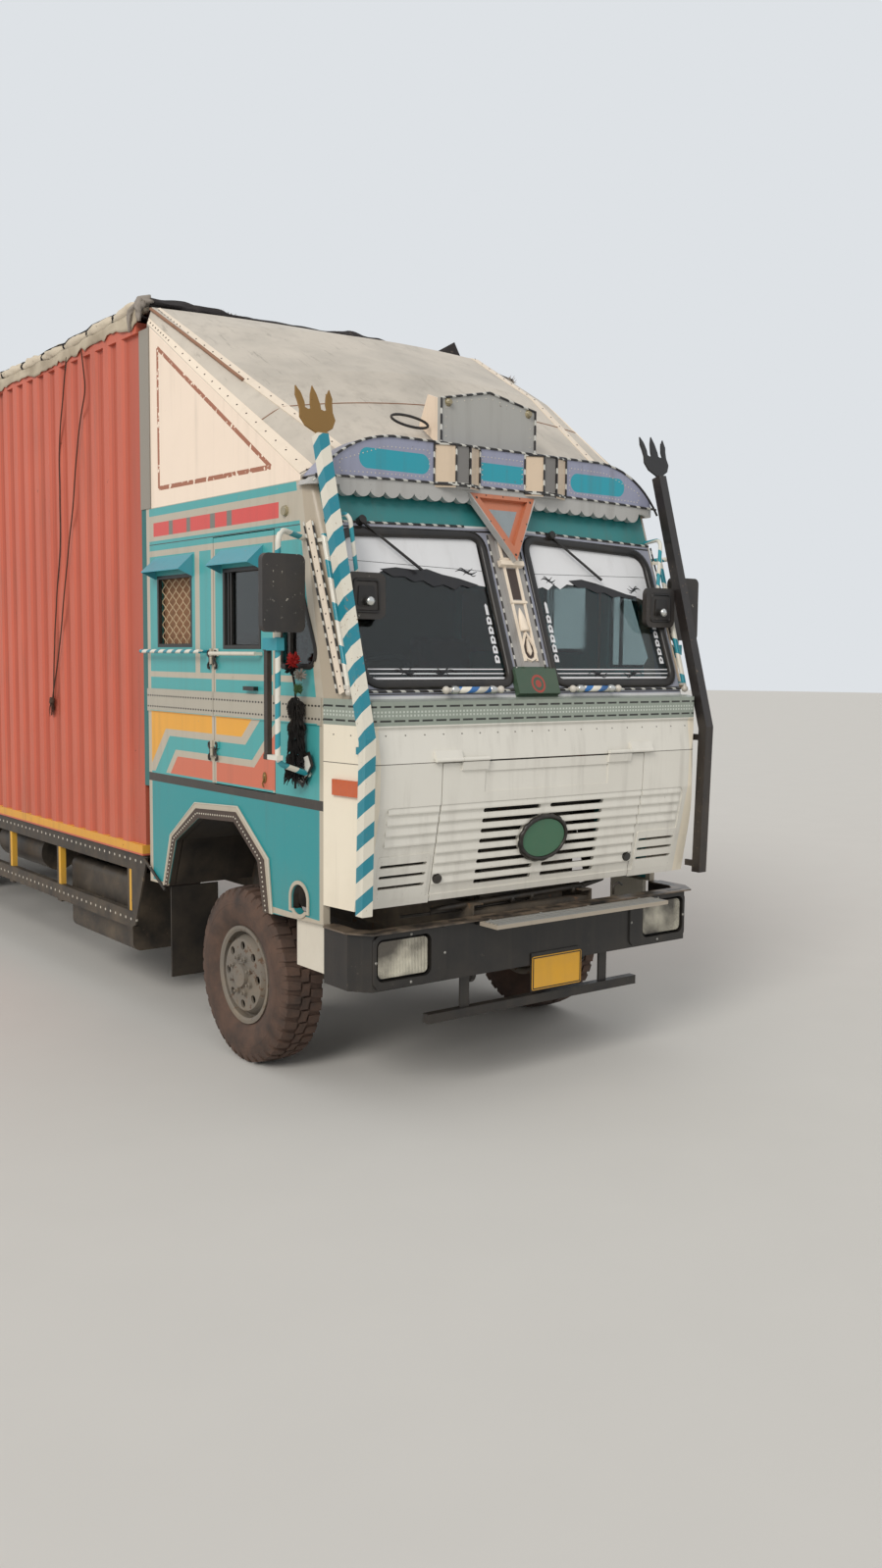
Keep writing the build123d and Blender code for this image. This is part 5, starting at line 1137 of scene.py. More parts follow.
# Tyres: carcass with ribbed walls and worn shoulder lugs, one piece for each body
tyreLook = {
    "steps": 96,
    "lugs": 40,
    # end of the truck, ending of the piece's name, the axle, across of each tyre
    "sets": (("front", "", "frontAxle", (1.031,)), ("rear", "s", "rearAxle", (1.048, 0.722))),
}
tyreProfile = ((-0.096, 0.26), (-0.101, 0.284), (-0.118, 0.305), (-0.128, 0.33), (-0.1375, 0.366),
               (-0.139, 0.392), (-0.137, 0.42), (-0.13, 0.447), (-0.121, 0.468), (-0.108, 0.482),
               (-0.06, 0.488), (0.0, 0.49), (0.06, 0.488), (0.108, 0.482), (0.121, 0.468), (0.13, 0.447),
               (0.137, 0.42), (0.139, 0.392), (0.1375, 0.366), (0.128, 0.33), (0.118, 0.305),
               (0.101, 0.284), (0.096, 0.26))


def addTyre(build, centre):
    addTurned(build, tyreProfile, centre, tyreLook["steps"])
    for rib in (-0.1365, 0.1365):  # raised ring on each wall
        addTurned(build, ((rib, 0.402), (rib * 1.018, 0.405), (rib * 1.018, 0.411), (rib, 0.414)), centre,
                  tyreLook["steps"])
    half = tau / tyreLook["lugs"] * 0.36
    for lug in range(tyreLook["lugs"]):
        for side in (-1, 1):
            angle = tau * (lug + (0.25 if side > 0 else -0.25)) / tyreLook["lugs"]
            addLug(build, centre, angle, half, side)
        addCentreBlock(build, centre, tau * lug / tyreLook["lugs"], half * 1.15)


def wheelPoint(centre, along, radius, angle):
    return Vector(centre) + Vector((along, cos(angle) * radius, sin(angle) * radius))


def addLug(build, centre, angle, half, side):
    # a slanting block from near the crown, over the shoulder and down the wall
    skew = 0.035 * side
    stations = ((0.034, 0.4885, 0.5035, 0.8), (0.072, 0.487, 0.5015, 0.95), (0.11, 0.48, 0.496, 1.0),
                (0.1285, 0.452, 0.462, 0.85))
    rings = []
    for along, low, high, width in stations:
        turn = angle + skew * (along / 0.11)
        spread = half * width
        outward = along * side
        rings.append([build.verts.new(wheelPoint(centre, outward, radius, turn + offset))
                      for radius, offset in
                      ((low - 0.004, -spread), (high, -spread * 0.88), (high, spread * 0.88),
                       (low - 0.004, spread))])
    joinRings(build, rings, capped=True)


def addCentreBlock(build, centre, angle, half):
    # a slanting block along the middle of the tread
    places = ((-0.016, -half), (0.028, -half), (0.016, half), (-0.028, half))
    lower, upper = ([build.verts.new(wheelPoint(centre, along, radius, angle + offset))
                     for along, offset in places]
                    for radius in (0.484, 0.5045))
    build.faces.new(upper)
    joinRings(build, (lower, upper))


def makeTyres(end, plural, axle, places):
    for sign, side in ((-1, "right"), (1, "left")):
        build = bmesh.new()
        for x in places:
            addTyre(build, at(sign * x, truck[axle], truck["wheelHeight"]))
        piece = finishPiece("%sTyre%s%s" % (end, plural, side.title()), build, "tyreRubber",
                            "%s_wheel%s_%s" % (end, plural, side), smooth=True)
        piece.data.set_sharp_from_angle(angle=radians(38))
        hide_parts("%s_tyre%s_%s" % (end, plural, side))


for tyreSet in tyreLook["sets"]:
    makeTyres(*tyreSet)
print("tyres made")


# Tarpaulin: one sheet over the container's roof, rolled at its side edges, with folds and rag bundles
tarpLook = {
    "steps": (56, 220),  # across, along
    "edgeHang": 0.075,
}


def noiseAt(x, y, z):
    return noise.noise(Vector((x, y, z)))


def tarpHeight(x, back):
    # crown line along the roof, a little lower behind its front end, with lumps and sags from noise
    front, rear = truck["boxFront"], truck["boxBack"]
    share = (back - front) / (rear - front)
    base = 4.418 - 0.035 * min(1.0, share * 3.2)
    return base + noiseAt(x * 3.1, back * 2.2, 0.0) * 0.02 + noiseAt(x * 9.0, back * 4.0, 5.0) * 0.008


def makeTarpaulin():
    across, along = tarpLook["steps"]
    low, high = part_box("tarpaulin")
    half = high[0] - 0.004
    front, rear = low[1] + 0.006, high[1] - 0.006
    build = bmesh.new()
    rows = []
    for step in range(along + 1):
        y = front + (rear - front) * step / along
        row = []
        for place in range(across + 1):
            share = place / across * 2 - 1
            x = share * half
            edge = max(0.0, abs(share) - 0.93) / 0.07
            back = y - truck["nose"]
            roll = 0.012 * noiseAt(back * 5.0, share * 2.0, 9.0)
            z = tarpHeight(x, back) - edge ** 2 * tarpLook["edgeHang"] + roll * edge
            z = min(z, high[2] - 0.003)
            row.append(build.verts.new((x + roll * edge * (1 if share < 0 else -1), y,
                                        max(z, low[2] + 0.004))))
        rows.append(row)
    joinRings(build, rows, around=False)
    piece = finishPiece("tarpaulinSheet", build, "canvas", smooth=True, outward=False)
    thick = piece.modifiers.new("thickness", "SOLIDIFY")
    thick.thickness = 0.003
    thick.offset = -1
    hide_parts("tarpaulin")
    return piece


# The tarpaulin's gathered edges: a lumpy roll tied with cords along both sides, ragged hems over the
# box's corrugations, dark cloth and rags along its front edge with the one flap that stands up
rollLook = {
    "line": ((2.392, 4.424), (3.206, 4.392), (3.718, 4.376), (4.895, 4.384), (7.4, 4.38), (11.9, 4.38)),
    "middle": 1.176,
    "radius": (0.058, 0.046),  # across and up
    "tiePitch": 0.4,
    "waist": 0.72,
    "step": 0.045,
    "sides": 18,
    "hem": 0.105,
}


def rollPlace(sign, back, turn, swell):
    line = rollLook["line"]
    height = line[-1][1]
    for (first, low), (second, high) in zip(line, line[1:]):
        if first <= back <= second:
            height = low + (high - low) * (back - first) / (second - first)
            break
    across, rise = rollLook["radius"]
    crease = noiseAt(back * 7.0, turn * 1.3, sign * 4.0) * 0.3
    crease += noiseAt(back * 21.0, turn * 2.2, sign * 9.0) * 0.2
    bulge = swell * (1 + crease)
    return at(sign * (rollLook["middle"] + cos(turn) * across * bulge), back,
              height + sin(turn) * rise * bulge)


def makeRoll(sign, side):
    start, end = rollLook["line"][0][0], rollLook["line"][-1][0]
    steps = int((end - start) / rollLook["step"])
    build, cords, hem = bmesh.new(), bmesh.new(), bmesh.new()
    rings, edge = [], []
    for step in range(steps + 1):
        back = start + (end - start) * step / steps
        phase = (back - start) / rollLook["tiePitch"] % 1.0
        swell = 1.0 - (1.0 - rollLook["waist"]) * abs(cos(phase * pi)) ** 6
        rings.append([build.verts.new(rollPlace(sign, back, tau * place / rollLook["sides"], swell))
                      for place in range(rollLook["sides"])])
        ragged = rollLook["hem"] * (0.55 + 0.9 * abs(noiseAt(back * 2.6, sign, 3.0)))
        ragged += 0.03 * noiseAt(back * 13.0, sign, 7.0)
        top = rollPlace(sign, back, -pi * 0.3, swell * 0.9)
        row = []
        for place in range(5):
            share = place / 4
            flutter = 0.01 * noiseAt(back * 9.0, share * 2, sign * 5.0) * share
            row.append(hem.verts.new((sign * (1.2265 + flutter + 0.004 * share), top.y,
                                      top.z - ragged * share)))
        edge.append(row)
    joinRings(build, rings, capped=True)
    joinRings(hem, edge, around=False)
    ties = int((end - start) / rollLook["tiePitch"])
    for tie in range(ties + 1):
        back = start + tie * rollLook["tiePitch"]
        for shift in (-0.006, 0.006):
            ring = [rollPlace(sign, back + shift + 0.012 * sin(turn * tau / 12), turn * tau / 12,
                              rollLook["waist"] * 1.06)
                    for turn in range(12)]
            addPath(cords, ring, 0.0045, sides=6, closed=True)
    slack = []
    for step in range(int(steps / 2)):
        back = start + (end - start) * step / int(steps / 2)
        phase = (back - start) / rollLook["tiePitch"] % 1.0
        slack.append(rollPlace(sign, back, pi * 0.35 + 0.5 * sin(back * 3.1),
                               1.04 - 0.2 * abs(cos(phase * pi)) ** 6))
    addPath(cords, slack, 0.0045, sides=6)
    roll = finishPiece("tarpaulinRoll" + side, build, "clothRoll", smooth=True)
    hemPiece = finishPiece("tarpaulinHem" + side, hem, "canvas", smooth=True)
    hemPiece.modifiers.new("thickness", "SOLIDIFY").thickness = 0.003
    tied = finishPiece("tarpaulinCords" + side, cords, "blackYarn", smooth=True)
    return [roll, hemPiece, tied]


# bundles of cloth along the front edge: places (across, back, height) and thickness
bundles = {
    "frontEdgeCloth": (((-1.15, 2.41, 4.436), (-0.9, 2.415, 4.441), (-0.64, 2.415, 4.437),
                        (-0.3, 2.415, 4.452), (0.08, 2.415, 4.452), (0.3, 2.415, 4.458), (0.65, 2.412, 4.447),
                        (1.01, 2.4, 4.432), (1.18, 2.38, 4.412)),
                        (0.062, 0.056, 0.046, 0.022, 0.026, 0.046, 0.034, 0.034, 0.026)),
    "frontEdgeStrap": (((-1.16, 2.372, 4.44), (-0.7, 2.38, 4.446), (-0.2, 2.385, 4.449), (0.4, 2.385, 4.448),
                        (1.06, 2.37, 4.428)), (0.014, 0.012, 0.01, 0.01, 0.01)),
    "cornerCloth": (((-1.14, 2.4, 4.455), (-1.205, 2.395, 4.44), (-1.226, 2.38, 4.385),
                     (-1.226, 2.372, 4.32)), (0.046, 0.044, 0.028, 0.016)),
    "cornerTail": (((-1.205, 2.42, 4.43), (-1.238, 2.47, 4.39), (-1.24, 2.48, 4.33), (-1.238, 2.486, 4.27)),
                   (0.03, 0.026, 0.016, 0.006)),
    "leftTail": (((1.16, 2.372, 4.418), (1.196, 2.24, 4.392), (1.206, 1.99, 4.278), (1.208, 1.76, 4.19)),
                 (0.022, 0.02, 0.016, 0.01)),
}


def makeBundle(name, spots, sizes, finishName):
    # a gathered length of cloth: folds run along it and its section keeps changing
    build = bmesh.new()
    path, thick = [], []
    for number, (first, second) in enumerate(zip(spots, spots[1:])):
        first, second = Vector(first), Vector(second)
        steps = max(2, round((second - first).length / 0.022))
        for step in range(steps):
            path.append(first.lerp(second, step / steps))
            thick.append(sizes[number] + (sizes[number + 1] - sizes[number]) * step / steps)
    path.append(Vector(spots[-1]))
    thick.append(sizes[-1] * 0.7)
    rings = []
    for number, (spot, size) in enumerate(zip(path, thick)):
        run = (path[min(number + 1, len(path) - 1)] - path[max(number - 1, 0)]).normalized()
        side = run.cross(Vector((0.2, 0.1, 1))).normalized()
        rise = side.cross(run)
        ring = []
        for step in range(14):
            turn = tau * step / 14
            fold = 0.22 * sin(turn * 4 + number * 0.22) + 0.3 * noiseAt(number * 0.21, turn, size * 90)
            reach = size * (0.82 + fold)
            place = at(*spot) + side * cos(turn) * reach + rise * sin(turn) * reach * 0.86
            ring.append(build.verts.new(place))
        rings.append(ring)
    joinRings(build, rings, capped=True)
    piece = finishPiece(name, build, finishName, smooth=True)
    return piece


def makeRags():
    # frayed rags on the front edge: a lump of short strands each
    build = bmesh.new()
    for across, back, height, spread, count in ((-0.64, 2.412, 4.462, 0.085, 130),
                                                (0.3, 2.412, 4.47, 0.05, 60),
                                                (-1.19, 2.4, 4.44, 0.05, 80),
                                                (1.206, 1.765, 4.195, 0.03, 50)):
        for _ in range(count):
            turn, reach = random.uniform(0, tau), random.uniform(0.2, 1.0)
            root = at(across + random.uniform(-1, 1) * spread * 0.8, back + random.uniform(-0.012, 0.012),
                      height - 0.022)
            tip = root + Vector((cos(turn) * spread * 0.45 * reach, sin(turn) * 0.03,
                                 random.uniform(-0.02, 0.046)))
            addStrand(build, root, tip, (0, 0, random.uniform(-0.008, 0.014)), random.uniform(0.0016, 0.004),
                      steps=4)
    piece = finishPiece("edgeRags", build, "greyCloth")
    return piece


def makeFlap():
    # stiff black cloth that stands up in a peak
    build = bmesh.new()
    height = 4.54
    foot, far, peak = (Vector(corner) for corner in ((1.02, 2.4, 4.44), (1.215, 2.33, 4.425),
                                                     (1.165, 2.35, height)))
    for leaning in (False, True):
        rows = []
        for left, right in ((foot.lerp(peak, step / 8), far.lerp(peak, step / 8)) for step in range(9)):
            row = []
            for share in (step / 6 for step in range(7)):
                spot = left.lerp(right, share)
                sag = 0.072 * sin(pi * share) * (1.02 - left.z / height)
                spot.y += (height - spot.z) * 0.75 + 0.004 if leaning else -sag
                row.append(build.verts.new(at(*spot)))
            rows.append(row)
        joinRings(build, rows, around=False)
    bmesh.ops.remove_doubles(build, verts=build.verts, dist=0.0008)
    piece = finishPiece("edgeFlap", build, "blackRag", smooth=True)
    piece.modifiers.new("thickness", "SOLIDIFY").thickness = 0.003
    return piece


tarpaulin = makeTarpaulin()
onSheet = makeRoll(-1, "Right") + makeRoll(1, "Left")
for name, (spots, sizes) in bundles.items():
    onSheet.append(makeBundle(name, spots, sizes, "greyCloth" if name.startswith("corner") else "blackRag"))
onSheet += [makeRags(), makeFlap()]
print("tarpaulin made")


# Fairing trim: riveted cover strips along both edges of each chamfer, the seam across the hood, the
# rust-brown cord on the upper edge and the wire loop beside the attic board
fairingTrim = {
    "edge": ((0.56, 0.951), (1.35, 1.075), (2.05, 1.138), (2.315, 1.165)),  # back, across of the upper edge
    "half": 1.2,
    "strip": 0.34,  # share of the chamfer that the lower strip covers
    "seamBack": 1.05,
}


def makeFairingTrim():
    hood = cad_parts["roof_fairing"]
    surface = BVHTree.FromObject(hood, bpy.context.evaluated_depsgraph_get())

    def drop(across, back, lift):
        # a place on the hood, straight below a point over it
        hit, normal, _, _ = surface.ray_cast(at(across, back, 5.0), Vector((0, 0, -1)))
        return (hit + normal * lift, normal) if hit else (None, None)

    strips, rivets, cord = bmesh.new(), bmesh.new(), bmesh.new()
    for sign in (-1, 1):
        for number, (first, second) in enumerate(zip(fairingTrim["edge"], fairingTrim["edge"][1:])):
            rows = {"lower": [], "upper": []}
            for step in range(9):
                back, inner = (a + (b - a) * step / 8 for a, b in zip(first, second))
                outer = fairingTrim["half"] - 0.004
                reach = outer + (inner - outer) * fairingTrim["strip"]
                for key, near, far in (("lower", outer, reach), ("upper", inner + 0.004, inner - 0.052)):
                    near, normal = drop(sign * near, back, 0.004)
                    far, _ = drop(sign * far, back, 0.004)
                    if near and far:
                        rows[key].append((near, far, normal))
            for row in rows.values():
                sections = [(near, far, far - normal * 0.008, near - normal * 0.008)
                            for near, far, normal in row]
                verts = [[strips.verts.new(place) for place in section] for section in sections]
                joinRings(strips, verts)
                for near, far, normal in row:
                    addDome(rivets, near.lerp(far, 0.5), 0.006, normal, 0.5, 6)
            if sign < 0 and number > 0:
                addPath(cord, [near + normal * 0.004 for near, far, normal in rows["upper"]], 0.01, sides=8)
    shares = [step / 40 for step in range(41)]
    line = [drop(-1.19 + 2.38 * share, fairingTrim["seamBack"] - 0.05 * sin(pi * share), 0.001)[0]
            for share in shares]
    addPath(cord, [spot for spot in line if spot], 0.0032, sides=6)
    finishPiece("fairingStrips", strips, "creamPaint")
    finishPiece("fairingRivets", rivets, "brownBand")
    finishPiece("fairingCord", cord, "rustCord", smooth=True)
    build = bmesh.new()
    loop = [at(-0.485 + cos(turn) * 0.122, 0.6 + 0.012 * sin(turn),
               3.575 + sin(turn) * 0.03 - cos(turn) * 0.01)
            for turn in (tau * step / 24 for step in range(24))]
    addPath(build, loop, 0.0075, sides=8, closed=True)
    finishPiece("fairingLoop", build, "blackSteel", smooth=True)


makeFairingTrim()
print("fairing trim made")


# Seats and berth: padded forms, swelled by a short cloth simulation from a smaller block, with the
# sewn channels pressed in after it
seatLook = {
    "inset": 0.016,
    "bevel": 0.045,
    "pressure": 4.0,
    "frames": 20,
    "cap": 0.024,
    "channelDepth": 0.009,
    "channelWidth": 0.01,
}
# name, middle (across, back, height), size, voxel, channels and the side they show on
seatPads = (
    ("driverCushion", (-0.65, 1.45, 1.86), (0.56, 0.5, 0.16), 0.012, 5, "top"),
    ("driverBack", (-0.65, 1.765, 2.2), (0.56, 0.11, 0.56), 0.012, 5, "front"),
    ("mateCushion", (0.62, 1.45, 1.86), (0.56, 0.5, 0.16), 0.012, 5, "top"),
    ("mateBack", (0.62, 1.765, 2.2), (0.56, 0.11, 0.56), 0.012, 5, "front"),
    ("berthPad", (0.0, 2.075, 1.9), (2.2, 0.46, 0.12), 0.018, 11, "top"),
)


def makePad(name, middle, size, voxel, channels, shown):
    middle = at(*middle)
    half = Vector(size) / 2
    inset = Vector((seatLook["inset"],) * 3)
    build = bmesh.new()
    addBlock(build, middle - half + inset, middle + half - inset,
             seatLook["bevel"] * min(1.0, min(size) / 0.14))
    pad = finishPiece(name, build, "seatCloth", smooth=True)
    remesh = pad.modifiers.new("even", "REMESH")
    remesh.mode = "VOXEL"
    remesh.voxel_size = voxel
    shape = bpy.data.meshes.new_from_object(pad.evaluated_get(bpy.context.evaluated_depsgraph_get()))
    pad.modifiers.clear()
    block, pad.data = pad.data, shape
    bpy.data.meshes.remove(block)
    if not shape.materials:
        shape.materials.append(finish["seatCloth"])
    start = [vertex.co.copy() for vertex in shape.vertices]
    swelled = start
    held = pad.vertex_groups.new(name="held")
    low = min(place.z for place in start)
    rear = max(place.y for place in start)
    resting = [number for number, place in enumerate(start)
               if (place.z < low + 0.012 if shown == "top" else place.y > rear - 0.012)]
    held.add(resting, 1.0, "REPLACE")
    cloth = pad.modifiers.new("swell", "CLOTH")
    cloth.settings.quality = 4
    cloth.settings.mass = 0.3
    cloth.settings.use_pressure = True
    cloth.settings.uniform_pressure_force = seatLook["pressure"]
    cloth.settings.tension_stiffness = 8
    cloth.settings.compression_stiffness = 8
    cloth.settings.vertex_group_mass = "held"
    cloth.settings.effector_weights.gravity = 0
    cloth.collision_settings.use_collision = False
    cloth.point_cache.frame_start, cloth.point_cache.frame_end = 1, seatLook["frames"]
    for frameNumber in range(1, seatLook["frames"] + 1):
        scene.frame_set(frameNumber)
    moved = pad.evaluated_get(bpy.context.evaluated_depsgraph_get()).to_mesh()
    swelled = [vertex.co.copy() for vertex in moved.vertices]
    pad.modifiers.clear()
    scene.frame_set(1)
    for vertex, before, after in zip(shape.vertices, start, swelled):
        shift = after - before
        if shift.length > seatLook["cap"]:
            shift *= seatLook["cap"] / shift.length
        spot = before + shift
        # sewn channels across the side that shows
        pitch = size[0] / (channels + 1)
        off = (spot.x - middle.x + size[0] / 2) / pitch
        gap = abs(off - round(off)) * pitch
        facing = (spot.z - middle.z) / half.z if shown == "top" else (middle.y - spot.y) / half.y
        if 0 < round(off) < channels + 1 and facing > 0.35:
            press = seatLook["channelDepth"] * exp(-(gap / seatLook["channelWidth"]) ** 2)
            press *= min(1.0, (facing - 0.35) * 3)
            spot += Vector((0, 0, -press)) if shown == "top" else Vector((0, press, 0))
        for axis in range(3):
            spot[axis] = min(max(spot[axis], middle[axis] - half[axis]), middle[axis] + half[axis])
        vertex.co = spot
    shape.shade_smooth()
    finer = pad.modifiers.new("finer", "SUBSURF")
    finer.levels = finer.render_levels = 1
    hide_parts("seats")
    return pad


for padValues in seatPads:
    makePad(*padValues)
print("seats padded")


# Wheel nuts: hexagon nuts with their studs round each front and rear hub
nutLook = {
    "count": 8,
    "half": 0.0135,
    "height": 0.02,
    "stud": (0.0085, 0.012),
    # body, across of the disc's face, back, outward way, radius of the ring of nuts
    "faces": (("front_wheel_right", -1.1474, 1.275, -1, 0.104), ("front_wheel_left", 1.1474, 1.275, 1, 0.104),
              ("rear_wheels_right", -0.9025, 8.005, -1, 0.1305),
              ("rear_wheels_left", 0.9025, 8.005, 1, 0.1305)),
}


def makeNuts(body, across, back, way, circle):
    build = bmesh.new()
    for nut in range(nutLook["count"]):
        turn = tau * (nut + 0.5) / nutLook["count"]
        middle = at(across, back + cos(turn) * circle, 0.505 + sin(turn) * circle)
        out = Vector((way, 0, 0))
        addPath(build, [middle - out * 0.002, middle + out * 0.003], nutLook["half"] * 1.25, sides=16)
        addPath(build, [middle + out * 0.003, middle + out * 0.017, middle + out * nutLook["height"]],
                [nutLook["half"] * 1.15, nutLook["half"] * 1.15, nutLook["half"] * 0.9], sides=6)
        top = middle + out * nutLook["height"]
        thick, proud = nutLook["stud"]
        addPath(build, [top, top + out * proud], thick, sides=10)
    finishPiece("nuts_" + body, build, "rimPaint", body)


for nutValues in nutLook["faces"]:
    makeNuts(*nutValues)
print("wheel nuts made")


# Front trim, on the windscreen wall: rubber round each pane, sun strips with torn edges, scrolls,
# ladders and stripes on the glass, dashed piping and the pointed ornament of the centre pillar
screenTrim = {
    "pane": ((0.156, 0.08), (1.092, 0.08), (1.092, 0.888), (0.156, 0.926)),
    "paneCorners": (0.08, 0.09, 0.12, 0.09),
    "rubber": ((-0.026, -0.012), (-0.026, 0.006), (-0.018, 0.013), (0.012, 0.013), (0.02, 0.004),
               (0.02, -0.012)),
    "glass": -0.0128,  # the outer face of the glass below the wall's face
    "stripeHeights": (0.108, 0.136, 0.16),
    "ladderSteps": 6,
    "pillarEdge": 0.104,
    "pillarRun": (0.165, 0.93),
}
# torn lower edge of each sun strip, (across, up)
tornEdges = {
    "Right": ((-1.075, 0.655), (-0.985, 0.64), (-0.892, 0.657), (-0.862, 0.688), (-0.829, 0.7), (-0.8, 0.686),
              (-0.742, 0.7), (-0.69, 0.682), (-0.64, 0.7), (-0.541, 0.694), (-0.5, 0.664), (-0.452, 0.676),
              (-0.39, 0.65), (-0.33, 0.662), (-0.243, 0.639), (-0.187, 0.633)),
    "Left": ((0.178, 0.634), (0.23, 0.648), (0.268, 0.632), (0.318, 0.668), (0.36, 0.64), (0.42, 0.672),
             (0.463, 0.669), (0.545, 0.69), (0.6, 0.664), (0.665, 0.676), (0.73, 0.64), (0.8, 0.648),
             (0.88, 0.612), (0.93, 0.622), (1.0, 0.6), (1.07, 0.59)),
}
# black film that peels off below the torn edge, (across, up)
peeledFilm = {
    "Right": ((-0.86, 0.702), (-0.76, 0.716), (-0.64, 0.708), (-0.56, 0.716), (-0.47, 0.69), (-0.36, 0.672),
              (-0.235, 0.64), (-0.3, 0.622), (-0.35, 0.634), (-0.4, 0.606), (-0.47, 0.632), (-0.54, 0.618),
              (-0.6, 0.65), (-0.66, 0.64), (-0.72, 0.668), (-0.79, 0.664)),
    "Left": ((0.44, 0.694), (0.54, 0.706), (0.65, 0.686), (0.76, 0.66), (0.88, 0.628), (0.96, 0.616),
             (0.9, 0.598), (0.82, 0.612), (0.76, 0.604), (0.7, 0.632), (0.64, 0.626), (0.56, 0.656),
             (0.5, 0.652)),
}
# painted scrolls: middle across and up, length, mirrored or not
scrolls = ((-0.297, 0.712, 0.15, 1), (0.284, 0.69, 0.11, 1), (0.952, 0.66, 0.11, -1),
           (-0.839, 0.148, 0.17, 1),
           (-0.585, 0.148, 0.17, -1), (0.5, 0.136, 0.15, 1), (0.78, 0.136, 0.15, -1))
# ladders beside the pillar and the corner: across at the foot and at the top, up from, up to
ladders = ((-0.214, -0.212, 0.198, 0.525), (0.212, 0.224, 0.205, 0.55), (1.04, 1.05, 0.2, 0.52))


def makePaneRubbers():
    build = bmesh.new()
    for sign in (-1, 1):
        corners = [(sign * x, up) for x, up in screenTrim["pane"]]
        outline = roundedOutline(corners, screenTrim["paneCorners"], 8)
        section = [(offset * sign, proud) for offset, proud in screenTrim["rubber"]]
        addMoulding(build, outline, section, onScreen, closed=True)
    rubber = finishPiece("paneRubbers", build, "blackEnamel", smooth=True)
    rubber.data.set_sharp_from_angle(angle=radians(50))


def makeSunStrips():
    glass = screenTrim["glass"]
    white, black = bmesh.new(), bmesh.new()
    for sign, side in ((-1, "Right"), (1, "Left")):
        torn = list(tornEdges[side])
        ends = torn[-1][0], torn[0][0]
        top = [(x, 0.905 - max(0.0, abs(x) - 0.2) * 0.041) for x in (ends[0], sum(ends) / 2, ends[1])]
        addFlat(white, torn + top, 0.0008, onScreen, glass)
        addFlat(black, list(peeledFilm[side]), 0.0022, onScreen, glass + 0.0012)
        first, last = torn[0][0], torn[-1][0]
        low, high = 0.732 - sign * 0.01, 0.732 + sign * 0.01
        addFlat(black, ((first, low), (last, high), (last, high + 0.0025), (first, low + 0.0025)), 0.0004,
                onScreen, glass + 0.001)
        edges = sorted((sign * 0.19, sign * 1.072))
        for number, level in enumerate(screenTrim["stripeHeights"]):
            thick = 0.006 if number else 0.011
            addFlat(white, corners(*edges, level, level + thick), 0.0008, onScreen, glass)
    for foot, head, low, high in ladders:
        steps = screenTrim["ladderSteps"]
        rise = (high - low) / steps
        for step in range(steps):
            middle = foot + (head - foot) * (step + 0.5) / steps
            bottom = low + rise * step
            half = 0.016 if step < steps - 1 else 0.01
            tip = bottom + rise * (0.86 if step < steps - 1 else 1.2)
            square = ((middle - half, bottom), (middle + half, bottom), (middle + half * 0.96, tip - 0.012),
                      (middle, tip), (middle - half * 0.96, tip - 0.012))
            addFlat(white, square, 0.0008, onScreen, glass)
            if step < steps - 1:
                dot = [(middle + cos(tau * turn / 8) * 0.006,
                        bottom + rise * 0.42 + sin(tau * turn / 8) * 0.009)
                       for turn in range(8)]
                addFlat(black, dot, 0.0004, onScreen, glass + 0.001)
    for x, up, length, way in scrolls:
        addScroll(black, x, up, length, way, glass + 0.001)
    for build, name, material in ((white, "sunStrips", "stripWhite"),
                                  (black, "glassOrnaments", "stripBlack")):
        finishPiece(name, build, material)


def addScroll(build, x, up, length, way, proud):
    # a curled leaf ornament: three tapering waves
    for lift, start, run, thick in ((0.0, -0.5, 1.0, 0.01), (0.012, -0.3, 0.62, 0.008),
                                    (-0.012, -0.18, 0.6, 0.007)):
        upper, lower = [], []
        for step in range(13):
            share = step / 12
            along = (start + run * share) * length * way
            wave = sin(share * pi * 2.2 + lift * 60) * 0.01 + lift
            half = thick * sin(pi * min(1.0, share * 0.9 + 0.06)) * 0.6
            upper.append((x + along, up + wave + half))
            lower.append((x + along, up + wave - half))
        addFlat(build, upper + lower[::-1], 0.0004, onScreen, proud)


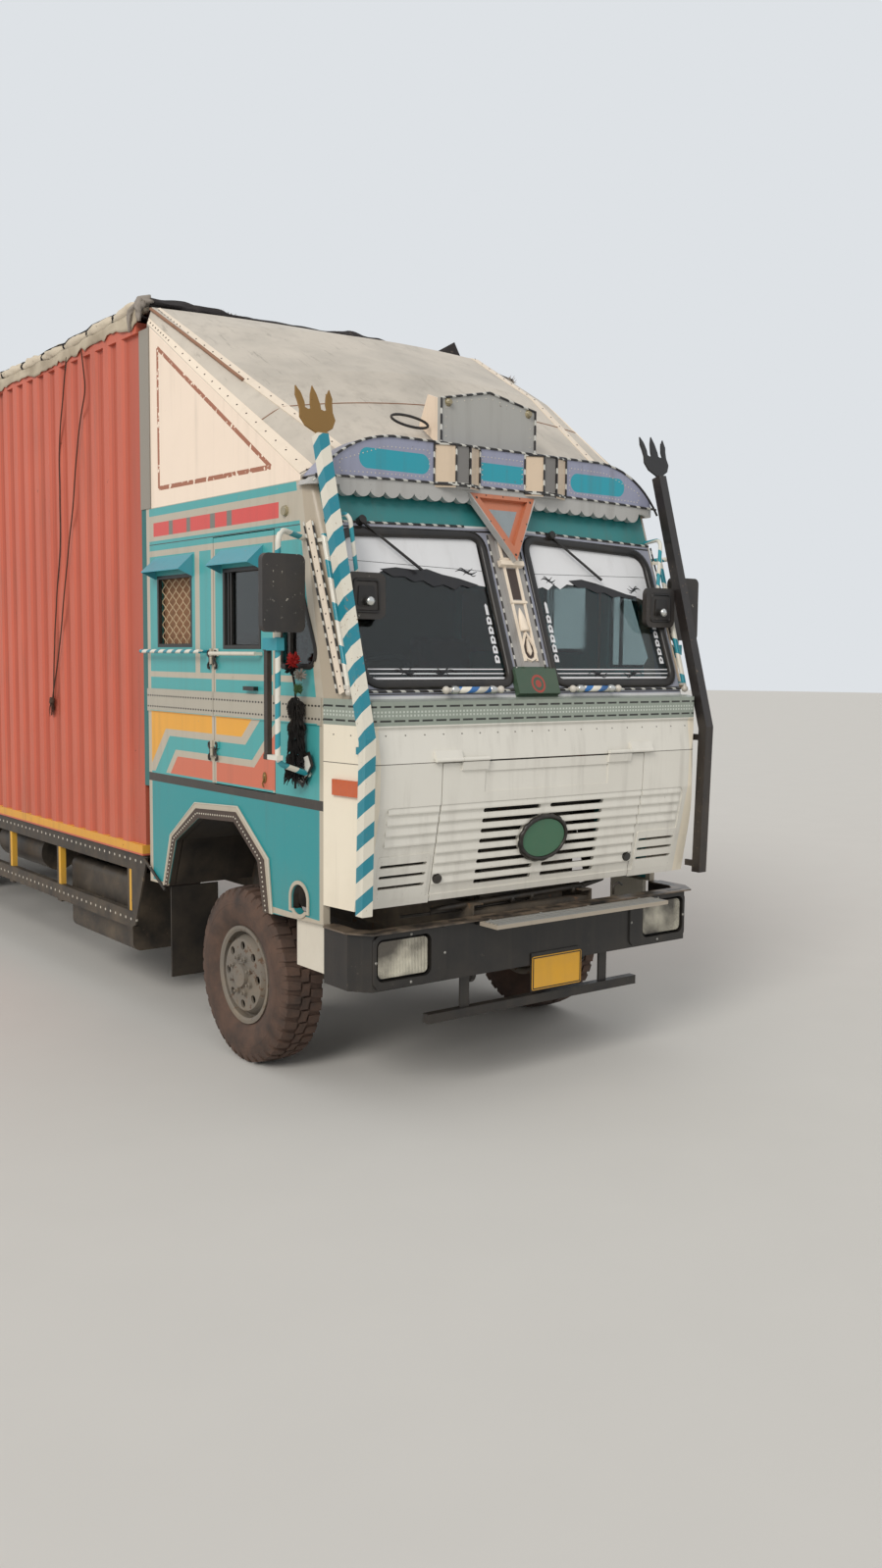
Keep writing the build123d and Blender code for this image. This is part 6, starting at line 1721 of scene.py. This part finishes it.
def makeCentrePillar():
    piping = bmesh.new()
    low, high = screenTrim["pillarRun"]
    cord = roundSection(0.0065, 0.0025)
    for sign in (-1, 1):
        offset = screenTrim["pillarEdge"]
        thin = [(x * 0.6, proud * 0.8) for x, proud in cord]
        addMoulding(piping, ((sign * offset, low), (sign * offset * 1.03, high)), thin, onScreen)
        up = (3.018 - truck["screenBase"]) / cos(atan(truck["screenSlope"]))
        addMoulding(piping, ((sign * 0.26, up), (sign * 1.15, up - 0.03)), cord, onScreen)
        addMoulding(piping, ((sign * 0.158, 0.04), (sign * 1.13, 0.04)), cord, onScreen)
    bmesh.ops.recalc_face_normals(piping, faces=piping.faces)
    finishPiece("screenPiping", piping, "piping")
    build = bmesh.new()
    for edge in (-0.046, 0.046):
        addMoulding(build, ((edge * 0.9, 0.2), (edge, 0.895)), ridge(0.009, 0.005, 0.01, 0.021), onScreen)
    for level, half, tall, proud in ((0.76, 0.082, 0.018, 0.04), (0.785, 0.06, 0.01, 0.03),
                                     (0.538, 0.056, 0.009, 0.026)):
        addMoulding(build, ((-half, level), (half, level)), ridge(tall, tall * 0.7, 0.01, proud), onScreen)
    # a bullet: half a cone with a rounded tip
    rings = []
    for level, half in ((0.372, 0.029), (0.38, 0.031), (0.42, 0.027), (0.46, 0.019), (0.49, 0.01),
                        (0.508, 0.003)):
        rings.append([build.verts.new(onScreen(half * cos(pi * step / 8), level,
                                               0.01 + half * 0.9 * sin(pi * step / 8)))
                      for step in range(9)])
    joinRings(build, rings, around=False)
    build.faces.new(rings[0][::-1])
    tear = [(0.0, 0.362), (0.02, 0.325), (0.04, 0.285), (0.044, 0.25), (0.03, 0.216), (0.0, 0.203),
            (-0.03, 0.216), (-0.044, 0.25), (-0.04, 0.285), (-0.02, 0.325)]
    addMoulding(build, tear, ((-0.007, 0.011), (-0.003, 0.023), (0.005, 0.023), (0.008, 0.011)), onScreen,
                closed=True)
    flame = [(0.0, 0.33), (0.01, 0.29), (0.014, 0.255), (0.0, 0.232), (-0.014, 0.255), (-0.01, 0.29)]
    addFlat(build, flame, 0.01, onScreen, 0.0125)
    finishPiece("pillarOrnament", build, "creamPaint")
    build = bmesh.new()
    addFlat(build, ((-0.03, 0.556), (0.03, 0.556), (0.034, 0.736), (-0.034, 0.736)), 0.0008, onScreen, 0.0118)
    addFlat(build, [(x * 0.86, 0.283 + (up - 0.283) * 0.86) for x, up in tear], 0.0008, onScreen, 0.0118)
    finishPiece("pillarHollows", build, "brownBand")
    build = bmesh.new()
    outward = onScreen(0, 0, 1) - onScreen(0, 0, 0)
    for x, up in ((-0.19065, 1.112), (0.19065, 1.112), (0.0, 0.79)):
        addDome(build, onScreen(x, up, 0.08), 0.008, outward)
    for x, up in ((-0.062, 0.872), (0.062, 0.872), (-0.12, 1.13), (0.12, 1.13), (0.0, 1.13), (-0.128, 0.978),
                  (0.128, 0.978)):
        addDome(build, onScreen(x, up, 0.08), 0.005, outward)
    finishPiece("boardScrews", build, "brownBand")


# Sleeves wound round the bars below the windscreens, with silver knuckles beside the ball ends
barLook = {
    "bars": ((-0.64, -0.32), (0.23, 0.535)),
    "place": (0.03, 2.15),
    "radius": 0.0165,
    "knuckle": 0.021,
}


def makeBarSleeves():
    back, height = barLook["place"]
    sleeve, knuckle = bmesh.new(), bmesh.new()
    for low, high in barLook["bars"]:
        addPath(sleeve, [at(low + 0.055, back, height), at(high - 0.055, back, height)], barLook["radius"],
                sides=16)
        for end, way in ((low, 1), (high, -1)):
            spots = [at(end + way * shift, back, height) for shift in (0.012, 0.02, 0.036, 0.052, 0.058)]
            size = barLook["knuckle"]
            addPath(knuckle, spots, [size * 0.6, size, size * 1.05, size, size * 0.7], sides=16)
    finishPiece("barSleeves", sleeve, "railPaint", smooth=True)
    finishPiece("barKnuckles", knuckle, "chrome", smooth=True)


makePaneRubbers()
makeSunStrips()
makeCentrePillar()
makeBarSleeves()
print("windscreen trim made")


# Visor trim: dashed piping along its edges and posts, rows of beads round the panels, attic piping
visorTrim = {
    "foot": 3.236,  # height of the lower piping in the middle, drooping to the sides
    "droop": 0.0165,
    "half": 1.205,
    "face": 0.397,
    "post": ((0.16, 0.398), (0.262, 0.351), (0.358, 0.351), (0.47, 0.398)),  # (across, back) of its edges
    "beadPitch": 0.026,
    "beadRadius": 0.0042,
    # bead rows round each painted panel: left, right, low, high
    "panels": ((-1.06, -0.5, 3.262, 3.4), (-0.142, 0.142, 3.262, 3.424), (0.5, 1.06, 3.262, 3.4)),
    "attic": ((-0.335, 3.455), (-0.335, 3.706), (0.0, 3.772), (0.335, 3.706), (0.335, 3.455)),
    "atticFace": 0.517,
}


def visorEdge():
    # the rounded outline of the visor's shoulder, from one end over the top to the other
    first, middle, last = Vector((1.217, 3.178)), Vector((1.047, 3.424)), Vector((0.74, 3.446))
    arc = [first.lerp(middle, share).lerp(middle.lerp(last, share), share)
           for share in (step / 10 for step in range(11))]
    return [(-spot.x, spot.y) for spot in arc] + [tuple(spot) for spot in arc[::-1]]


def onFace(back):
    return lambda x, height, proud=0.0: at(x, back - proud, height)


def makeVisorTrim():
    cord = roundSection(0.0065)
    build = bmesh.new()
    face = onFace(visorTrim["face"])
    addMoulding(build, visorEdge(), cord, face)
    for low, high in ((-visorTrim["half"], -0.47), (-0.16, 0.16), (0.47, visorTrim["half"])):
        spots = [low + (high - low) * step / 12 for step in range(13)]
        addMoulding(build, [(x, visorTrim["foot"] - visorTrim["droop"] * x ** 2) for x in spots], cord, face)
    for sign in (-1, 1):
        for x, back in visorTrim["post"]:
            addPath(build, [at(sign * x, back, 3.225), at(sign * x, back, 3.438)], 0.0055, sides=8)
        for height in (3.227, 3.436):
            addPath(build, [at(sign * x, back, height) for x, back in visorTrim["post"]], 0.0055, sides=8)
    attic = onFace(visorTrim["atticFace"])
    addMoulding(build, visorTrim["attic"], cord, attic)
    finishPiece("visorPiping", build, "piping")
    build = bmesh.new()
    for left, right, low, high in visorTrim["panels"]:
        loop = corners(left, right, low, high) + ((left, low),)
        for spot, _ in walk(loop, visorTrim["beadPitch"]):
            shoulder = 3.4 - max(0.0, abs(spot.x) - 0.78) * 0.3
            height = min(spot.y, shoulder) - visorTrim["droop"] * spot.x ** 2
            addDome(build, at(spot.x, 0.4005, height), visorTrim["beadRadius"], (0, -1, 0), 0.6, 6)
    for spot, _ in walk(((-0.3, 3.48), (-0.3, 3.685), (0.0, 3.742), (0.3, 3.685), (0.3, 3.48)), 0.05):
        addDome(build, at(spot.x, 0.52, spot.y), 0.004, (0, -1, 0), 0.6, 6)
    finishPiece("visorBeads", build, "paleBead")


def walk(path, pitch):
    # places at an even pitch along a run of points, with the direction there
    for first, second in zip(path, path[1:]):
        run = Vector(second) - Vector(first)
        count = max(1, round(run.length / pitch))
        for step in range(count):
            yield Vector(first) + run * ((step + 0.5) / count), run.normalized()


makeVisorTrim()
print("visor trim made")


# Panel and bumper trim: ring round the boss, screws, shelf slots, ribs on the step plate, number
# plate left blank, and the pipes that show in the gap above the shelf
panelTrim = {
    "bossHeight": 1.35,
    "bossHalf": (0.146, 0.104),
    "ringHalf": (0.172, 0.13),
    "ringLobes": 16,
    "coverPlace": (0.905, 1.21),
    "coverScrew": (0.138, 0.094),
    "bezelPlace": (0.888, 0.808),
    "bezelScrew": (0.214, 0.122),
    "shelfSlots": (-1.02, -0.8, -0.58, -0.36, -0.14, 0.08, 0.86, 1.04),
    "plate": (-0.08, 0.28, 0.52, 0.705),
    "stepRibs": (-0.152, -0.122, -0.09, -0.055),
    "stepEnds": (-0.455, 0.775),
}


def onGrille(x, height, proud=0.0):
    # a surface place on the leaning lower panel, by its height above the ground
    lean = atan(108 / 515)
    rise = height - 1.06 + proud * sin(lean)
    return at(x, 0.092 - rise / cos(lean) * sin(lean) - proud * cos(lean), height)


def makePanelTrim():
    build = bmesh.new()
    middle = panelTrim["bossHeight"]
    steps = panelTrim["ringLobes"] * 6
    inner, outer, lip = [], [], []
    for step in range(steps):
        turn = tau * step / steps
        lobe = 1 + 0.04 * abs(sin(turn * panelTrim["ringLobes"] / 2))
        a, b = panelTrim["bossHalf"]
        c, d = panelTrim["ringHalf"]
        inner.append(build.verts.new(onGrille(cos(turn) * a, middle + sin(turn) * b, 0.019)))
        lip.append(build.verts.new(onGrille(cos(turn) * (a + c) / 2, middle + sin(turn) * (b + d) / 2,
                                            0.031)))
        outer.append(build.verts.new(onGrille(cos(turn) * c * lobe, middle + sin(turn) * d * lobe, 0.012)))
    joinRings(build, (inner, lip, outer))
    ring = finishPiece("bossRing", build, "blackEnamel", "hatch", smooth=True)
    ring.modifiers.new("thickness", "SOLIDIFY").thickness = 0.006
    build = bmesh.new()
    coverX, coverHeight = panelTrim["coverPlace"]
    across, rise = panelTrim["coverScrew"]
    outward = onGrille(0, 1.2, 1.0) - onGrille(0, 1.2, 0.0)
    for sign in (-1, 1):
        for x, height in corners(-across, across, -rise, rise):
            addDome(build, onGrille(sign * coverX + x, coverHeight + height, -0.003), 0.008, outward)
        bezelX, bezelHeight = panelTrim["bezelPlace"]
        wide, tall = panelTrim["bezelScrew"]
        for x, height in ((0, -tall), (0, tall), (-wide, 0), (wide, 0)):
            addDome(build, at(sign * bezelX + x, 0.0, bezelHeight + height), 0.008, (0, -1, 0))
    finishPiece("panelScrews", build, "galvanised")
    build = bmesh.new()
    for x in panelTrim["shelfSlots"]:
        slot = roundedOutline(corners(x - 0.06, x + 0.06, 0.008, 0.03), 0.0105, 4)
        addFlat(build, slot, 0.0006, lambda across, back, lift=0.0: at(across, back, 0.9602 + lift))
    finishPiece("shelfSlots", build, "blackEnamel")
    build = bmesh.new()
    low, high = panelTrim["stepEnds"]
    for back in panelTrim["stepRibs"]:
        addMoulding(build, ((low, back), (high, back)), ridge(0.008, 0.005, -0.001, 0.0045), lambda across,
                    back, lift=0.0: at(across, back, 0.95 + lift))
    for x in (-0.4, -0.05, 0.3, 0.7):
        addDome(build, at(x, -0.03, 0.95), 0.01, (0, 0, 1))
    finishPiece("stepRibs", build, "galvanised")
    left, right, low, high = panelTrim["plate"]
    build = bmesh.new()
    front = onFace(0.0015)
    addFlat(build, roundedOutline(corners(left, right, low, high), 0.012, 3), 0.003, front)
    for x in (left + 0.03, right - 0.03):
        addDome(build, front(x, high - 0.022, 0.003), 0.006, (0, -1, 0))
    finishPiece("numberPlate", build, "plateYellow")
    build = bmesh.new()
    rim = corners(left + 0.008, right - 0.008, low + 0.008, high - 0.008)
    addMoulding(build, rim, ridge(0.003, 0.003, 0.0028, 0.0042), front, closed=True)
    finishPiece("plateBorder", build, "blackEnamel")


def makeGapPipes():
    build = bmesh.new()
    addPath(build, [at(-0.62, 0.2, 0.985), at(-0.55, 0.15, 1.005), at(-0.1, 0.145, 1.018),
                    at(0.42, 0.15, 1.03), at(0.62, 0.2, 1.045)], 0.017, sides=12)
    for x in (-0.42, -0.12, 0.02, 0.33, 0.4):
        addPath(build, [at(x, 0.147, 1.01 + 0.02 * x), at(x + 0.016, 0.147, 1.0105 + 0.02 * x)], 0.0225,
                sides=12)
    addPath(build, [at(-0.8, 0.22, 0.972), at(-0.5, 0.19, 0.975), at(-0.2, 0.17, 0.985),
                    at(0.05, 0.18, 0.992)], 0.009)
    addPath(build, [at(0.62, 0.1, 0.962), at(0.62, 0.1, 1.015), at(0.66, 0.1, 1.03), at(0.7, 0.11, 1.01)],
            0.006)
    finishPiece("gapPipes", build, "blackSteel", smooth=True)


makePanelTrim()
makeGapPipes()
print("panel and bumper trim made")


# Tridents, mirror backs and the corner strips beside the windscreens
cornerTrim = {
    # half outline of a trident: across and up its pole
    "trident": ((0.014, 0.0), (0.032, 0.012), (0.08, 0.04), (0.104, 0.085), (0.094, 0.14), (0.108, 0.2),
                (0.098, 0.252), (0.072, 0.212), (0.06, 0.165), (0.062, 0.138), (0.046, 0.13), (0.03, 0.136),
                (0.03, 0.16), (0.019, 0.215), (0.0, 0.262)),
    "tridentPlace": (1.196, 0.368, 3.4),
    "tridentLean": radians(17.6),
    "mirror": (1.044, 0.185, 2.615),
    "mirrorHalf": (0.082, 0.08),
    "cornerRun": (2.135, 2.985),
}


def makeTrident(sign, side):
    across, back, height = cornerTrim["tridentPlace"]
    lean = cornerTrim["tridentLean"]
    half = cornerTrim["trident"]
    outline = list(half) + [(-x, up) for x, up in reversed(half[:-1])]
    build = bmesh.new()

    def place(x, up, proud):
        return at(sign * across + x, back + up * sin(lean) - proud * cos(lean),
                  height + up * cos(lean) + proud * sin(lean))

    addFlat(build, outline, 0.011, place, -0.0055)
    piece = finishPiece("trident" + side, build, "brass" if sign < 0 else "blackEnamel")
    edge = piece.modifiers.new("edge", "BEVEL")
    edge.width, edge.segments = 0.003, 2


def makeMirrorBack(sign, side):
    across, back, height = cornerTrim["mirror"]
    wide, tall = cornerTrim["mirrorHalf"]
    across *= sign
    face = onFace(back)
    outline = roundedOutline([(across + x, height + up) for x, up in (
        (-wide, -tall), (wide, -tall), (wide * 0.9, tall), (-wide * 0.9, tall))], 0.02, 5)
    build = bmesh.new()
    addMoulding(build, outline, ((-0.006, -0.001), (-0.002, 0.007), (0.006, 0.007), (0.011, -0.001)), face,
                closed=True)
    addFlat(build, [(across + (x - across) * 0.62, height + (up - height) * 0.62) for x, up in outline],
            0.005, face)
    finishPiece("mirrorBack" + side, build, "blackEnamel")
    build = bmesh.new()
    rises, sizes = (0.0, 0.012, 0.016, 0.028, 0.04, 0.046), (0.014, 0.013, 0.021, 0.026, 0.021, 0.008)
    middle = at(across - sign * 0.006, back, height - 0.028)
    addPath(build, [middle - Vector((0, rise, 0)) for rise in rises], sizes, sides=16)
    finishPiece("mirrorBall" + side, build, "chrome", smooth=True)


def makeCornerStrips(sign, side):
    place = onSide(sign)
    low, high = cornerTrim["cornerRun"]
    slope = truck["screenSlope"]

    def run(shift):
        foot = truck["screenFoot"] + shift
        return [(foot + (height - truck["screenBase"]) * slope, height) for height in (low, high)]

    build = bmesh.new()
    for shift in (0.03, 0.112):
        addMoulding(build, run(shift), roundSection(0.005, 0.002), place)
    finishPiece("cornerPiping" + side, build, "piping")
    build = bmesh.new()
    addMoulding(build, run(0.07), ridge(0.022, 0.02, -0.001, 0.004), place)
    finishPiece("cornerStrip" + side, build, "creamPaint")
    build = bmesh.new()
    for spot, _ in walk(run(0.07), 0.075):
        addDome(build, place(spot.x, spot.y, 0.004), 0.0055, (sign, 0, 0), 0.5, 6)
    finishPiece("cornerRivets" + side, build, "brownBand")


for sign, side in ((-1, "Right"), (1, "Left")):
    makeTrident(sign, side)
    makeMirrorBack(sign, side)
    makeCornerStrips(sign, side)
print("corner trim made")


# Side trim: dark liner in the wheel arch, studded band round it, window rubber, diamond mesh,
# hinge scrolls and lock plates
sideTrim = {
    "arch": ((2.104, 0.904), (1.989, 1.198), (1.69, 1.366), (1.249, 1.389), (0.986, 1.202), (0.924, 0.93)),
    "archOuter": ((2.158, 0.903), (2.055, 1.227), (1.726, 1.455), (1.214, 1.481), (0.869, 1.227),
                  (0.829, 0.934)),
    "bandShare": 0.62,  # how much of the trim's width the dark band takes
    "studPitch": 0.027,
    "studRadius": 0.0062,
    "linerInner": 0.62,  # distance from the middle where the wheel arch liner ends
    "linerFoot": (0.945, 1.06),
    "doorWindow": (0.954, 2.35, 1.378, 2.794),
    "meshWindow": (1.758, 2.36, 2.218, 2.787),
    "quarter": ((0.749, 2.261), (0.749, 2.8), (0.6, 2.8), (0.392, 2.321), (0.438, 2.261)),
    "quarterBar": 0.655,
    "meshStep": 0.046,  # between wires
    "meshPeriod": 0.068,
    "hingeHeights": (1.79, 2.31),
    "hingeBack": 1.497,
    "lock": (0.918, 1.663),
}


def makeArchTrim(sign, side):
    place = onSide(sign)
    inner, share = sideTrim["arch"], sideTrim["bandShare"]

    def widened(part):
        return [tuple(Vector(a).lerp(Vector(b), part)) for a, b in zip(inner, sideTrim["archOuter"])]

    build = bmesh.new()
    middle = widened(share)
    for index in range(len(inner) - 1):
        addFlat(build, (*inner[index:index + 2], middle[index + 1], middle[index]), 0.0025, place, 0.0102)
    finishPiece("archBand" + side, build, "brownBand")
    build = bmesh.new()
    for spot, _ in walk(widened(share * 0.5), sideTrim["studPitch"]):
        addDome(build, place(spot.x, spot.y, 0.0125), sideTrim["studRadius"], (sign, 0, 0), 0.6, 6)
    addMoulding(build, widened(0.97), ridge(0.004, 0.002, 0.01, 0.014), place)
    finishPiece("archStuds" + side, build, "paleBead")


def makeWheelArch(sign, side):
    # liner: a folded sheet round the arch and a wall beside the rail
    build = bmesh.new()
    path = list(sideTrim["arch"][:5]) + [sideTrim["linerFoot"]]
    near, far = truck["cabHalf"] - 0.045, sideTrim["linerInner"]
    for thickness in (0.0, 0.006):
        rows = [[build.verts.new(at(sign * x, back, height + thickness)) for back, height in path]
                for x in (near, far)]
        joinRings(build, rows, around=False)
    wall = [(path[0][0], 0.82)] + path[1:-1] + [(path[-1][0], 0.8)]
    addPlate(build, [at(sign * far, back, height) for back, height in wall], (-sign * 0.006, 0, 0))
    rear = path[0][0]
    addPlate(build, [at(sign * x, rear, height) for x, height in corners(near, far, 0.904, 1.2)],
             (0, 0.006, 0))
    finishPiece("archLiner" + side, build, "blackSteel")


def makeMeshWindow(sign, side):
    low, bottom, high, top = sideTrim["meshWindow"]
    place = onSide(sign)
    build = bmesh.new()
    addFlat(build, corners(low - 0.004, high + 0.004, bottom - 0.004, top + 0.004), 0.003, place, -0.046)
    finishPiece("meshBoard" + side, build, "meshBoard")
    build = bmesh.new()
    count = int((high - low) / sideTrim["meshStep"])
    rows = int((top - bottom) / (sideTrim["meshPeriod"] / 6))
    for wire in range(1, count):
        points = []
        for row in range(rows + 1):
            height = bottom + (top - bottom) * row / rows
            sway = cos(tau * (height - bottom) / sideTrim["meshPeriod"]) * sideTrim["meshStep"] * 0.46
            lean = 1 if wire % 2 else -1
            points.append(place(low + (high - low) * wire / count + sway * lean, height,
                                -0.024 + 0.0015 * lean))
        addPath(build, points, 0.0026, sides=5)
    finishPiece("meshWire" + side, build, "meshWire", smooth=True)
    build = bmesh.new()
    edge = corners(low + 0.01, high - 0.01, bottom + 0.01, top - 0.01)
    addMoulding(build, edge, ridge(0.012, 0.01, -0.02, 0.001), place, closed=True)
    finishPiece("meshFrame" + side, build, "blackEnamel")


def makeWindowTrim(sign, side):
    place = onSide(sign)
    low, bottom, high, top = sideTrim["doorWindow"]
    build = bmesh.new()
    edge = corners(low + 0.012, high - 0.012, bottom + 0.012, top - 0.012)
    section = ((-0.013, -0.012), (-0.011, 0.003), (0.009, 0.003), (0.014, -0.012))
    addMoulding(build, edge, section, place, closed=True)
    for bar in (high - 0.055, high - 0.085):
        addMoulding(build, ((bar, bottom + 0.02), (bar, top - 0.02)), ridge(0.007, 0.006, -0.012, -0.003),
                    place)
    finishPiece("doorWindowFrame" + side, build, "blackEnamel", "door_right" if sign < 0 else "door_left")
    build = bmesh.new()
    outline = roundedOutline(sideTrim["quarter"], [0.03, 0.03, 0.05, 0.05, 0.03])
    addMoulding(build, outline, ((-0.016, -0.004), (-0.012, 0.006), (0.0, 0.009), (0.012, 0.006),
                                 (0.016, -0.004)), place, closed=True)
    bar = sideTrim["quarterBar"]
    addMoulding(build, ((bar, 2.265), (bar, 2.796)), ridge(0.01, 0.008, -0.015, 0.002), place)
    finishPiece("quarterRubber" + side, build, "rubberTrim")


def makeHingeScrolls(sign, side):
    # four curled leaves at each hinge, two on the door and two on the body behind it
    place = onSide(sign)
    for ahead, owner in ((-1, "door_right" if sign < 0 else "door_left"), (1, "truck")):
        build = bmesh.new()
        for middle in sideTrim["hingeHeights"]:
            height = middle - 0.02
            start = 0.018 if ahead < 0 else 0.006
            for upward in (-1, 1):
                curl = [(0.01, 0.01), (0.026, 0.016), (0.038, 0.03), (0.036, 0.048), (0.022, 0.052),
                        (0.018, 0.04)]
                points = [place(sideTrim["hingeBack"] + ahead * (start + out), height + upward * rise, 0.012)
                          for out, rise in curl]
                addPath(build, points, [0.005, 0.0065, 0.0065, 0.006, 0.005, 0.0035], sides=6)
            leaf = [(ahead * start, -0.03), (ahead * 0.034, -0.016), (ahead * 0.034, 0.016),
                    (ahead * start, 0.03)]
            addFlat(build, [(sideTrim["hingeBack"] + out, height + rise) for out, rise in leaf], 0.004, place,
                    0.0095)
        finishPiece("hingeScrolls" + side + ("Door" if ahead < 0 else "Body"), build, "blackEnamel", owner)


def makeLockPlate(sign, side):
    back, height = sideTrim["lock"]
    place = onSide(sign)
    build = bmesh.new()
    turns = [tau * step / 16 for step in range(16)]
    outline = [(back + cos(turn) * 0.02, height + sin(turn) * 0.03) for turn in turns]
    addFlat(build, outline, 0.004, place)
    addDome(build, place(back, height + 0.01, 0.004), 0.009, (sign, 0, 0))
    addPath(build, [place(back, height - 0.004, 0.006), place(back + 0.01, height - 0.034, 0.01),
                    place(back + 0.002, height - 0.052, 0.008)], 0.004, sides=6)
    finishPiece("lockPlate" + side, build, "brass", "door_right" if sign < 0 else "door_left")


for sign, side in ((-1, "Right"), (1, "Left")):
    makeArchTrim(sign, side)
    makeWheelArch(sign, side)
    makeMeshWindow(sign, side)
    makeWindowTrim(sign, side)
    makeHingeScrolls(sign, side)
    makeLockPlate(sign, side)
print("side trim made")


# Tassel on the right side: a red bow, yarn balls and a long shaggy black tail with a small badge
tasselLook = {
    "x": -1.25,
    "line": ((2.33, 0.566), (2.318, 0.563), (2.23, 0.545), (2.154, 0.52), (1.98, 0.505), (1.64, 0.52)),
    # height and radius of the shaggy tail
    "tail": ((2.11, 0.016), (2.085, 0.048), (2.04, 0.042), (2.01, 0.02), (1.985, 0.05), (1.94, 0.04),
             (1.86, 0.048), (1.76, 0.058), (1.69, 0.062), (1.65, 0.03)),
    "strands": 900,
    # name, finish, distance back, height, radius, strands
    "balls": (("tasselBow", "redCloth", 0.54, 2.292, 0.052, 70),
              ("tasselBall", "blackYarn", 0.56, 2.25, 0.046, 90),
              ("tasselKnot", "greyCloth", 0.47, 2.222, 0.044, 60),
              ("tasselTuft", "greenYarn", 0.492, 2.15, 0.036, 80)),
    "badge": ((0.42, 1.835), (0.384, 1.768), (0.487, 1.645), (0.56, 1.69), (0.505, 1.812)),
}


def between(table, key):
    # value at a key, between the rows of a (key, value) table that falls
    for (above, first), (below, second) in zip(table, table[1:]):
        if key >= below:
            return first + (second - first) * min(1.0, max(0.0, (above - key) / (above - below)))
    return table[-1][1]


def makeTassel():
    x = tasselLook["x"]
    build = bmesh.new()
    addPath(build, [at(x, back, height) for height, back in tasselLook["line"]], 0.006, sides=6)
    for _ in range(tasselLook["strands"]):
        height = random.uniform(1.69, 2.105)
        turn, reach = random.uniform(0, tau), between(tasselLook["tail"], height)
        back = between(tasselLook["line"], height)
        root = at(x + cos(turn) * reach * 0.35, back + sin(turn) * reach * 0.35, height)
        drop = random.uniform(0.018, 0.046)
        tip = at(x + cos(turn) * reach * 0.95, back + sin(turn) * reach * 1.1, max(1.645, height - drop))
        addStrand(build, root, tip, (cos(turn) * 0.006, sin(turn) * 0.006, 0.006), 0.0055, steps=3)
    tail = finishPiece("tasselTail", build, "blackYarn")
    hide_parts("tassel")
    for name, material, back, height, radius, count in tasselLook["balls"]:
        build = bmesh.new()
        centre = at(x, back, height)
        for _ in range(count):
            turn, rise = random.uniform(0, tau), random.uniform(-0.9, 0.9)
            flat = (1 - rise * rise) ** 0.5
            outward = Vector((cos(turn) * flat * 0.75, sin(turn) * flat,
                              rise)) * radius * random.uniform(0.75, 1.0)
            addStrand(build, centre + outward * 0.1, centre + outward, (0, 0, -0.004), radius * 0.16, steps=2)
        piece = finishPiece(name, build, material)
    build = bmesh.new()
    middle = sum((Vector(point) for point in tasselLook["badge"]), Vector((0, 0))) / len(tasselLook["badge"])
    for grow, offset in ((1.0, -0.008), (0.74, -0.0115)):
        outline = [tuple(middle + (Vector(point) - middle) * grow) for point in tasselLook["badge"]]
        addPlate(build, [at(x + 0.03 + offset, back, height) for back, height in outline], (0.0035, 0, 0))
        if grow == 1.0:
            finishPiece("badgeRim", build, "blackEnamel")
            build = bmesh.new()
    finishPiece("badgeFace", build, "whiteEnamel")


makeTassel()
print("tassel made")


# Floor and light
studio = {
    "floorTone": tone(214, 213, 210),
    "skyTone": tone(222, 226, 230),
    "lightTone": (1.0, 0.99, 0.97, 1.0),
    "floorSize": 90.0,
    "worldStrength": 0.62,
    "keyStrength": 1.55,
    "keyTone": (1.0, 0.95, 0.88),
    "keyAngle": 24.0,  # degrees, so that shadows are soft
    "keyFrom": (-0.8, -0.46, 0.62),
}


def makeFloor():
    build = bmesh.new()
    bmesh.ops.create_circle(build, cap_ends=True, segments=96, radius=studio["floorSize"])
    mesh = bpy.data.meshes.new("floor")
    build.to_mesh(mesh)
    build.free()
    floor = bpy.data.objects.new("floor", mesh)
    scene.collection.objects.link(floor)
    material, shader = startMaterial("floorPaint", {"Roughness": 0.9, "Specular IOR Level": 0.1})
    speckle = cloudy(objectPlace(shader.id_data), 2.0, 6.0)
    link(mixTone(speckle, studio["floorTone"], darker(studio["floorTone"], 0.96)), shader, "Base Color")
    mesh.materials.append(material)


def makeLight():
    world = bpy.data.worlds.new("studio")
    scene.world = world
    world.use_nodes = True
    tree = world.node_tree
    tree.nodes.clear()
    light = addNode(tree, "ShaderNodeBackground", {"Color": studio["lightTone"],
                                                   "Strength": studio["worldStrength"]})
    seen = addNode(tree, "ShaderNodeBackground", {"Color": studio["skyTone"], "Strength": 1.0})
    rays = tree.nodes.new("ShaderNodeLightPath").outputs
    kinds = ("Camera", "Glossy", "Transmission")
    camera, glossy, through = (Wire(rays["Is %s Ray" % kind]) for kind in kinds)
    mix = addNode(tree, "ShaderNodeMixShader", {0: camera.larger(glossy.larger(through)),
                                                1: Wire(light.outputs[0]), 2: Wire(seen.outputs[0])})
    output = tree.nodes.new("ShaderNodeOutputWorld")
    tree.links.new(mix.outputs[0], output.inputs["Surface"])
    key = bpy.data.lights.new("keyLight", "SUN")
    key.energy = studio["keyStrength"]
    key.angle = radians(studio["keyAngle"])
    key.color = studio["keyTone"]
    holder = bpy.data.objects.new("keyLight", key)
    holder.rotation_euler = Vector(studio["keyFrom"]).to_track_quat("Z", "Y").to_euler()
    scene.collection.objects.link(holder)


makeFloor()
makeLight()
print("floor and light made")
